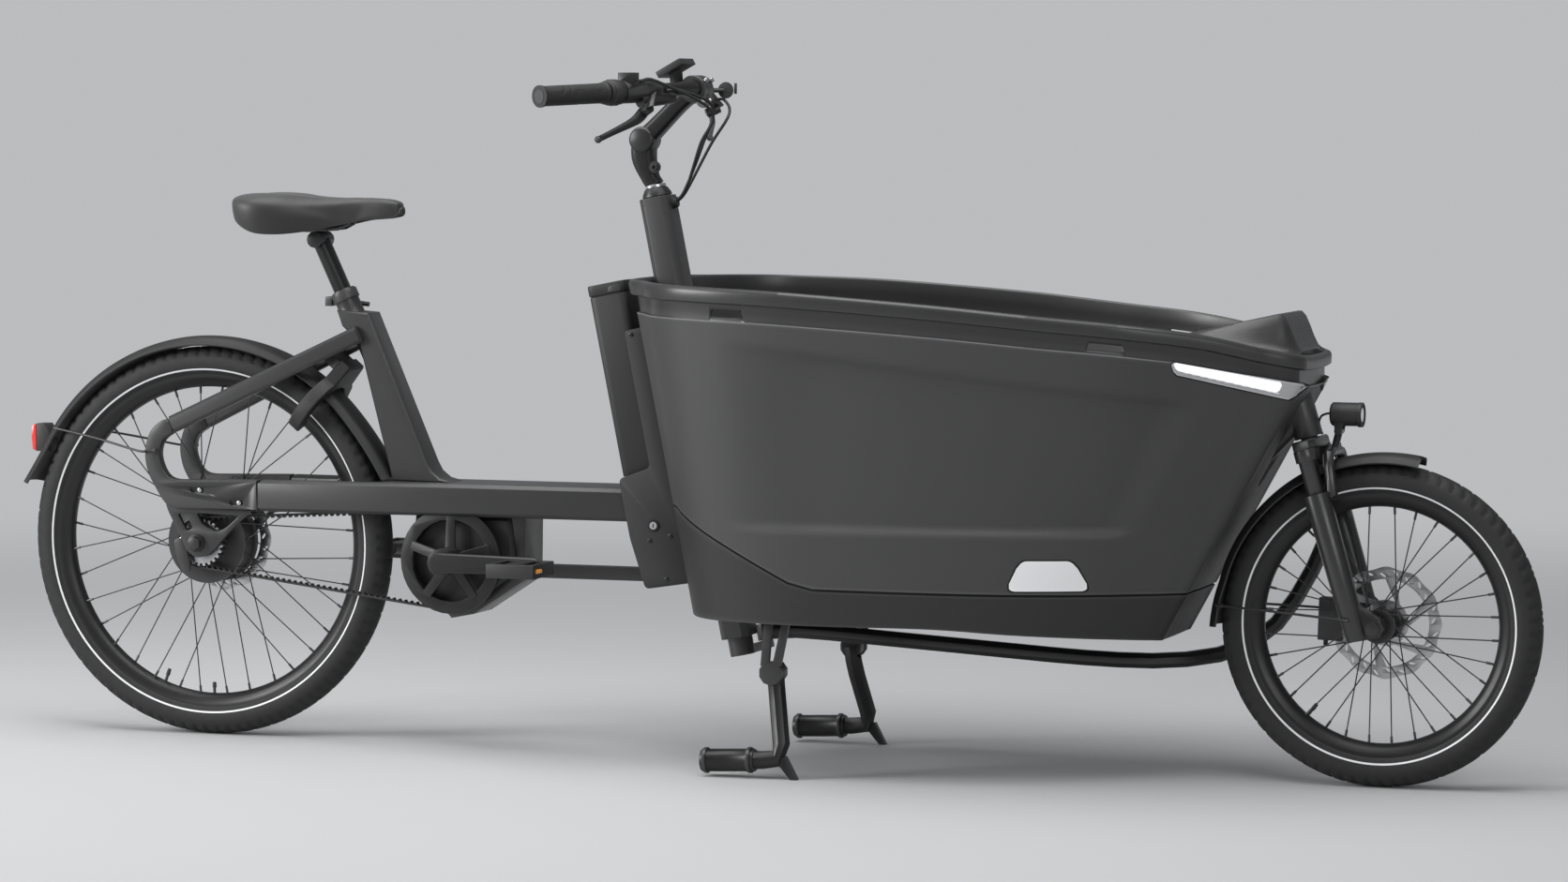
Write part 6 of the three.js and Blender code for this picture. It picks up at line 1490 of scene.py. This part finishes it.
def saddle_pad():
    pad = saddle_grid()
    draw_in = pad.modifiers.new("draw_in", "DISPLACE")
    draw_in.mid_level = 0.0
    draw_in.strength = -DRAWN_IN
    apply_modifier(pad, draw_in)
    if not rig.quick():
        swell(pad)
    settle = pad.modifiers.new("settle", "SMOOTH")
    settle.iterations = 5
    apply_modifier(pad, settle)
    bpy.ops.object.shade_smooth()
    return pad


pad = saddle_pad()
install(pad, "seat", "saddle")
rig.padded(pad, fill=0.75)
print("saddle has", len(pad.data.polygons), "faces")

# %% [markdown]
# The handlebar is one tube: thick where the stem clamps it, drawn thinner towards the grips, and bent back.
# The grips are rubber sleeves with waved grooves, so their surface is a grid whose radius changes along and
# round the bar. The lever blades are flattened tubes that end in a ball.

# %% Handlebar, grips and levers
BAR_X, BAR_Z = 886.0, 1107.0
BAR_RADIUS, BAR_END_RADIUS = 15.9, 11.2


def bar_at(x, y, z):
    return at(BAR_X + x, y, BAR_Z + z)


def bar_along(sign, share):
    corner, end = Vector((0.0, sign * 55.3, 0.0)), Vector((-145.1, sign * 335.0, -13.1))
    return corner.lerp(end, share)


def bar_radius(share):
    off = abs(share - 0.5) * 2.0
    return BAR_RADIUS - (BAR_RADIUS - BAR_END_RADIUS) * smooth_step((off - 0.1) / 0.2)


right_half = [bar_at(*bar_along(-1.0, share)) for share in (1.0, 0.75, 0.5, 0.25, 0.06)]
left_half = [bar_at(*bar_along(1.0, share)) for share in (0.06, 0.25, 0.5, 0.75, 1.0)]
bar_points = right_half + [bar_at(0.0, -20.0, 0.0), bar_at(0.0, 20.0, 0.0)] + left_half
bar_tube, _ = tube("handlebar_shown", bar_points, BAR_END_RADIUS, anodised, 32, 110, bar_radius)
install(bar_tube, "steering", "handlebar")


def grip(name, sign, begin):
    start, end = bar_along(sign, begin), bar_along(sign, 0.998)
    ahead = (end - start).normalized()
    one = ahead.cross(Vector((0.0, 0.0, 1.0))).normalized()
    two = ahead.cross(one)
    rows = 110
    length = (end - start).length

    def place(u, v):
        k = round(v * rows)
        share = min(1.0, max(0.0, (k - 2) / (rows - 4)))
        angle = 2.0 * math.pi * u
        along = share * length
        radius = 16.4 + 0.9 * math.exp(-(along / 9.0) ** 2) + 0.7 * math.exp(-((length - along) / 7.0) ** 2)
        if along < 3.0 or length - along < 4.0:
            radius += 0.9
        if 14.0 < along < length - 12.0:
            wave = math.sin(angle * 2.0 + 3.4 * math.sin(along * 0.075) + sign * 0.6)
            radius -= 0.75 * max(0.0, 1.0 - (wave / 0.22) ** 2)
        if k in (0, rows):
            radius = 0.0
        elif k in (1, rows - 1):
            radius -= 1.6
        spot = start + ahead * along + one * (radius * math.cos(angle)) + two * (radius * math.sin(angle))
        return bar_at(*spot)

    return shaped_grid(name, 72, rows, place, soft_rubber, 40.0)


install(grip("grip_right_shown", -1.0, 0.56), "steering", "grip_right")
install(grip("grip_left_shown", 1.0, 0.40), "steering", "grip_left")


LEVER_STEPS = 60


def lever_blade(name, sign):
    pivot, tip = Vector((-30.0, sign * 160.0, -36.0)), Vector((-71.0, sign * 270.0, -82.0))
    axis = (tip - pivot).cross(bar_along(sign, 0.75) - tip).normalized() * sign
    hub_low, hub_high = pivot - axis * 0.9, pivot - axis * 11.6
    middle = hub_low.lerp(hub_high, 0.5)
    end = tip - axis * 4.6
    bend = middle.lerp(end, 0.35) + Vector((5.0, 0.0, -2.5))
    route = [middle, middle.lerp(bend, 0.5) + Vector((2.0, 0.0, -1.0)), bend, bend.lerp(end, 0.5), end]
    path = smooth_points(route, LEVER_STEPS)

    def place(u, v):
        k = round(v * LEVER_STEPS)
        ahead = (path[min(k + 1, LEVER_STEPS)] - path[max(k - 1, 0)]).normalized()
        wide = axis.cross(ahead).normalized()
        half = 9.6 - 4.6 * smooth_step(v / 0.9)
        thick = 4.6 - 1.0 * smooth_step(v / 0.7)
        ball = max(0.0, 1.0 - ((v - 0.965) / 0.035) ** 2) if v > 0.93 else 0.0
        size = 6.0 * math.sqrt(ball)
        if v >= 0.965:
            half, thick = 0.0, 0.0
        half, thick = max(half, size), max(thick, size)
        angle = 2.0 * math.pi * u
        return bar_at(*(path[k] + wide * (half * math.cos(angle)) + axis * (thick * math.sin(angle))))

    blade = shaped_grid(name, 28, LEVER_STEPS, place, anodised, 50.0)
    hub = rod("lever_hub", bar_at(*hub_low), bar_at(*hub_high), 8.0, anodised, 32, bevel=0.6)
    bolt_end = bar_at(*(hub_high - axis * 1.6))
    bolt = rod("lever_bolt", bar_at(*hub_high), bolt_end, 4.2, bare_steel, 24, bevel=0.4)
    return joined([blade, hub, bolt], name)


for sign, hand in HANDS:
    install(lever_blade("brake_lever_shown_" + hand, sign), hand + "_lever", "brake_lever_" + hand)
print("handlebar, grips and levers done")

# %% [markdown]
# The display has a dark glass, the stem a bolt with a socket head, and the headlight a bezel with its lens.
# They ride on the same bodies as the pieces that carry them.

# %% Small parts of the cockpit and the headlight
GLASS_SIZE, GLASS_LIFT, GLASS_TILT = (0.040, 0.057, 0.0012), 0.0058, -29.0
SOCKET_LINE = [(0.0, 1.0), (2.6, 1.0), (2.8, 3.6), (5.6, 3.4), (6.2, 2.6), (6.2, -3.0), (0.0, -3.0)]
WASHER_LINE = [(0.0, -4.0), (10.0, -4.0), (10.4, -1.0), (9.8, 0.2), (0.0, 0.2)]
BEZEL_LINE = [(16.4, 0.0), (16.4, 3.4), (17.0, 4.2), (19.0, 4.2), (19.7, 3.4), (19.7, -3.0), (19.1, -3.6),
              (16.4, -3.6)]
LAMP_GLASS_LINE = [(0.0, 3.6), (10.0, 3.1), (16.3, 1.6), (16.3, -1.0), (0.0, -1.0)]

choose_none()
bpy.ops.mesh.primitive_cube_add(size=1.0)
glass = bpy.context.object
glass.name = "display_glass"
glass_place = Matrix.Translation(bar_at(-37.0, 0.0, 34.0)) @ Matrix.Rotation(math.radians(GLASS_TILT), 4, "Y")
glass_lift = Matrix.Translation((0.0, 0.0, GLASS_LIFT))
glass.data.transform(glass_place @ glass_lift @ Matrix.Diagonal((*GLASS_SIZE, 1.0)))
round_edges(glass, 0.0004, 30.0)
glass.data.materials.append(screen_glass)
install(glass, "steering")
socket = turned("stem_bolt", SOCKET_LINE, ORIGIN, anodised, 32)
washer = turned("stem_bolt_plate", WASHER_LINE, ORIGIN, anodised, 40)
stem_bolt = joined([socket, washer], "stem_bolt")
stem_bolt.data.transform(Matrix.Translation(at(819.0, -20.5, 978.0)) @ half_turn)
install(stem_bolt, "steering")
lamp_parts = [turned("lamp_bezel", BEZEL_LINE, ORIGIN, moulded_black, 64),
              turned("lamp_glass", LAMP_GLASS_LINE, ORIGIN, lamp_lens, 64)]
for back in (-40.0, -36.5, -33.0):
    fin_line = [(18.0, back), (19.5, back), (19.5, back + 1.0), (18.0, back + 1.0)]
    lamp_parts.append(turned("lamp_fin", fin_line, ORIGIN, moulded_black, 64))
lamp_front = joined(lamp_parts, "headlight_front")
face_forward = Matrix.Rotation(math.radians(-90.0), 4, "Z")
lamp_front.data.transform(Matrix.Translation(at(2004.0, 0.0, 591.0)) @ face_forward)
install(lamp_front, "lamp")
print("cockpit and headlight details done")

# %% [markdown]
# Two brake hoses and the shift cable's hose run from the controls to a grommet on the steering column. One
# end turns with the bar and the other stays on the frame, so each is bent across the steering joint. The
# lamp's short lead runs from its back to the bracket below it.

# %% Hoses and cables
def hose(name, points, radius):
    piece, path = tube(name, [at(*p) for p in points], radius, soft_rubber, 12, 36)
    length = sum((b - a).length for a, b in zip(path, path[1:]))
    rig.cord(piece, path[0], length, radius * 0.002, "object", stiffness="stiff", path=path)
    return piece, length


plug = rod("grommet", at(842.0, 0.0, 919.0), at(853.0, 0.0, 921.0), 11.0, soft_rubber, 32, 8.5, 1.0)
install(plug, "frame", "cables")
# Each hose starts at a share of one side of the bar, moved to its control, and passes the stem at its own Y.
HOSES = (
    (-1, 0.22, (20.0, 8.0, 0.0), -26.0),
    (-1, 0.39, (16.0, 8.0, 18.0), -44.0),
    (1, 0.26, (22.0, 6.0, -14.0), 30.0),
)
for i, (sign, share, offset, y) in enumerate(HOSES):
    start = bar_along(sign, share) + Vector(offset)
    row = (i - 1) * 5.0
    route = [start, start + Vector((22.0, -start.y * 0.12, -1.0)), (38.0 + i * 4.0, y, -30.0 - i * 6.0),
             (17.0, y * 0.7, -92.0), (-20.0, row, -168.0), (-38.0, row, -187.0)]
    piece, length = hose("control_hose_" + str(i + 1), [(BAR_X + x, y, BAR_Z + z) for x, y, z in route], 2.5)
    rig.blend(piece, "frame", "steering", at(862.0, 0.0, 930.0), at(905.0, 0.0, 1060.0))
    print("control hose", i + 1, "is", round(length * 1000.0), "mm long")
LEAD = [(1957.0, 0.0, 592.0), (1950.0, 0.0, 592.0), (1941.0, 0.0, 588.0), (1937.0, 0.0, 579.0),
        (1938.0, 0.0, 568.0), (1943.0, 0.0, 559.0)]
lead, length = hose("lamp_lead", LEAD, 1.9)
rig.ride(lead, "lower_legs")
print("lamp lead is", round(length * 1000.0), "mm long")

# %% [markdown]
# The stem is built from turned and drawn parts: a ring on the column, a post that widens upwards, a knuckle,
# and an arm that reaches forward to the clamp. The lower part of the solid, which passes down the column to
# the steering arm, is kept as it is and only the neck is taken off it.

# %% Stem
def leaning(x, z, up):
    return at(x - up * math.sin(LEAN), 0.0, z + up * math.cos(LEAN))


def column_at(up):
    return leaning(817.0, 928.0, up)


def oval_tube(name, points, sizes, material):
    count, square = 48, 0.62
    path = smooth_points(points, count)
    table = smooth_points([Vector((a, b, 0.0)) for a, b in sizes], count)
    rows = count + 2

    def place(u, v):
        k = min(count, max(0, round(v * rows) - 1))
        if round(v * rows) in (0, rows):
            return path[k]
        ahead = (path[min(k + 1, count)] - path[max(k - 1, 0)]).normalized()
        wide = Vector((0.0, 1.0, 0.0))
        deep = ahead.cross(wide).normalized()
        c, s = math.cos(2.0 * math.pi * u), math.sin(2.0 * math.pi * u)
        across = math.copysign(abs(c) ** square, c) * table[k].x * 0.001
        through = math.copysign(abs(s) ** square, s) * table[k].y * 0.001
        return path[k] + wide * across + deep * through

    return shaped_grid(name, 40, rows, place, material, 40.0)


def without_neck(piece):
    up_line = (column_at(1.0) - column_at(0.0)).normalized()
    bpy.ops.object.mode_set(mode="EDIT")
    bpy.ops.mesh.select_all(action="DESELECT")
    bpy.ops.mesh.select_mode(type="VERT")
    bpy.ops.object.mode_set(mode="OBJECT")
    for vertex in piece.data.vertices:
        vertex.select = (vertex.co - column_at(0.0)).dot(up_line) > 0.0004
    before = len(piece.data.vertices)
    bpy.ops.object.mode_set(mode="EDIT")
    bpy.ops.mesh.delete(type="VERT")
    bpy.ops.object.mode_set(mode="OBJECT")
    shade(piece, SMOOTH_ANGLE)
    piece.data.materials.append(anodised)
    return before - len(piece.data.vertices)


RING_LINE = [(15.0, 1.2), (24.5, 1.2), (25.0, 2.0), (24.0, 6.0), (19.0, 15.0), (15.0, 15.6)]
SPACER_LINE = [(13.0, 15.8), (16.8, 15.8), (17.4, 16.4), (17.4, 20.4), (16.8, 21.0), (13.0, 21.0)]
KNUCKLE_LINE = [(0.0, -22.0), (17.5, -22.0), (21.0, -19.5), (22.0, -16.0), (22.0, 16.0), (21.0, 19.5),
                (17.5, 22.0), (0.0, 22.0)]
CLAMP_LINE = [(16.1, -21.0), (20.8, -21.0), (22.4, -19.6), (22.4, -1.0), (21.6, -0.5), (21.6, 0.5),
              (22.4, 1.0), (22.4, 19.6), (20.8, 21.0), (16.1, 21.0)]
POST = [column_at(20.0), at(804.0, 0.0, 962.0), at(794.0, 0.0, 992.0), at(794.0, 0.0, 1024.0)]
ARM = [at(795.0, 0.0, 1023.0), at(822.0, 0.0, 1049.0), at(856.0, 0.0, 1082.0), at(884.0, 0.0, 1105.0)]
POST_SIZES = [(14.5, 14.0), (16.0, 14.5), (19.0, 19.5), (21.0, 20.0)]
ARM_SIZES = [(19.5, 17.0), (18.5, 15.5), (18.0, 14.5), (18.5, 15.0)]
low_stem = copy_of("stem", "stem_low")
taken_off = without_neck(low_stem)
stem_parts = [low_stem, turned("stem_ring", RING_LINE, ORIGIN, anodised, 64),
              turned("stem_spacer", SPACER_LINE, ORIGIN, bare_steel, 64)]
lean_back = Matrix.Rotation(-LEAN, 4, "Y")
stand_up = Matrix.Translation(column_at(0.0)) @ lean_back @ SIDE_VIEW
for piece in stem_parts[1:]:
    piece.data.transform(stand_up)
stem_parts.append(oval_tube("stem_post", POST, POST_SIZES, anodised))
stem_parts.append(turned("stem_knuckle", KNUCKLE_LINE, ARM[0], anodised, 64, 50.0))
stem_parts.append(oval_tube("stem_arm", ARM, ARM_SIZES, anodised))
stem_parts.append(turned("stem_clamp", CLAMP_LINE, bar_at(0.0, 0.0, 0.0), anodised, 64))
for y in (-13.0, 13.0):
    for ahead, up, rise in ((19.0, 13.0, 3.0), (15.0, -17.0, -3.0)):
        start, end = bar_at(ahead, y, up), bar_at(ahead + 5.0, y, up + rise)
        stem_parts.append(rod("clamp_bolt", start, end, 4.0, bare_steel, 24, bevel=0.5))
install(joined(stem_parts, "stem_shown"), "steering", "stem")
print("stem rebuilt with", taken_off, "neck points taken off the solid")

# %% Hose ends
for sign, hand in HANDS:
    inner = bar_along(sign, 0.12) + Vector((9.0, 0.0, -13.0))
    outer = bar_along(sign, 0.34) + Vector((6.0, 0.0, -15.0))
    install(rod("hose_end_body", bar_at(*inner), bar_at(*outer), 10.0, anodised, 32, 12.5, 1.6), "steering")
print("hose ends placed on both sides of the stem")

# %% [markdown]
# The battery tower is two mouldings: the dock, with thin cheeks that hold the pack, and the pack itself with
# a cap that has a finger catch. Both have flat sides and rounded edges, so outlines with thickness do.

# %% Battery tower
PACK_LOW, PACK_TOP, NECK = -165.1, 330.3, 12.0
PACK_HALF, PACK_BACK, PACK_FRONT = 58.0, -37.0, 30.0
HIGH_END, GAP_LOW, CAP_LOW = PACK_TOP * 0.943, PACK_TOP * 0.94, PACK_TOP * 0.948
DOCK = [(-38.0, 9.0), (-38.0, -90.7), (-27.4, -178.0), (55.4, -181.5), (64.4, -163.0), (64.4, 235.0),
        (58.0, 247.7), (20.0, 247.7), (20.0, 18.0)]
CATCH = [(-1.0, 2.0), (24.0, 2.0), (24.0, 12.0), (4.0, 12.0)]


def tower_turn(up):
    return Matrix.Translation(leaning(812.2, 462.0, up)) @ lean_back


def upright_box(name, x0, x1, half, z0, z1, material, bevel):
    line = rounded([(x0, -half), (x1, -half), (x1, half), (x0, half)], 14.0, 6)
    return flat_cut(name, [line], z1 - z0, material, tower_turn((z0 + z1) / 2.0), bevel, 35.0)


tower_side = tower_turn(0.0) @ SIDE_VIEW
dock = flat_cut("dock_shown", [rounded(DOCK, 8.0)], 140.0, moulded_black, tower_side, 1.6)
room = upright_box("dock_room", -30.4, 30.4, PACK_HALF + 0.4, PACK_LOW, 300.0, moulded_black, 0.3)
less(dock, room)
drop(room)
install(dock, "frame", "battery_dock")
catch_line = rounded([(x, z + PACK_TOP * 0.95) for x, z in CATCH], 4.0)
pack_parts = [
    upright_box("pack_low", -30.0, PACK_FRONT, PACK_HALF, PACK_LOW, NECK, moulded_black, 1.0),
    upright_box("pack_high", PACK_BACK, PACK_FRONT, PACK_HALF, NECK - 1.0, HIGH_END, moulded_black, 1.0),
    upright_box("pack_cap", -38.0, 30.5, 58.6, CAP_LOW, PACK_TOP + 1.0, moulded_black, 2.2),
    flat_cut("pack_catch", [catch_line], 119.0, rim_plastic, tower_side, 0.5),
    # The pack gap is a near-black band between the pack and its cap: painted shade in the gap.
    upright_box("pack_gap", -36.0, 29.0, 57.0, GAP_LOW, PACK_TOP * 0.95, dark_gap, 0.2),
]
install(joined(pack_parts, "battery_shown"), "battery", "battery_pack")
print("battery tower done")

# %% [markdown]
# A pedal has amber reflectors in its front and rear faces, and the crank ends in a cap. The pieces turn with
# the bodies that carry them.

# %% Reflectors and crank details
PEDAL_Z, CRANK_X, CRANK_Z, CAP_Y = 317.5, 464.0, 317.0, 100.5
CAP_LINE = [(0.0, 0.0), (7.5, 0.0), (8.6, 1.2), (8.6, 3.4), (5.0, 4.2), (4.6, 2.6), (0.0, 2.6)]

for hand, rear, front, y in (("right", 592.0, 676.0, -186.0), ("left", 252.0, 336.0, 186.0)):
    lenses = []
    for x in (rear - 0.6, front + 0.6):
        start, end = at(x, y - 10.0, PEDAL_Z), at(x, y + 10.0, PEDAL_Z)
        lenses.append(rod("reflector", start, end, 3.6, amber_lens, 24, bevel=0.6))
    install(joined(lenses, "pedal_reflectors_" + hand), hand + "_pedal")
for sign, hand in HANDS:
    cap = turned("crank_cap_" + hand, CAP_LINE, ORIGIN, bare_steel, 40)
    cap_turn = half_turn if hand == "right" else Matrix.Identity(4)
    cap.data.transform(Matrix.Translation(at(CRANK_X, sign * CAP_Y, CRANK_Z)) @ cap_turn)
    install(cap, "cranks")
print("reflectors and crank caps placed")

seen_low, seen_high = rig.bounds()
with open("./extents.json", "w") as size_file:
    json.dump({"solid": [list(solid_low), list(solid_high)], "visual": [list(seen_low), list(seen_high)]}, size_file)
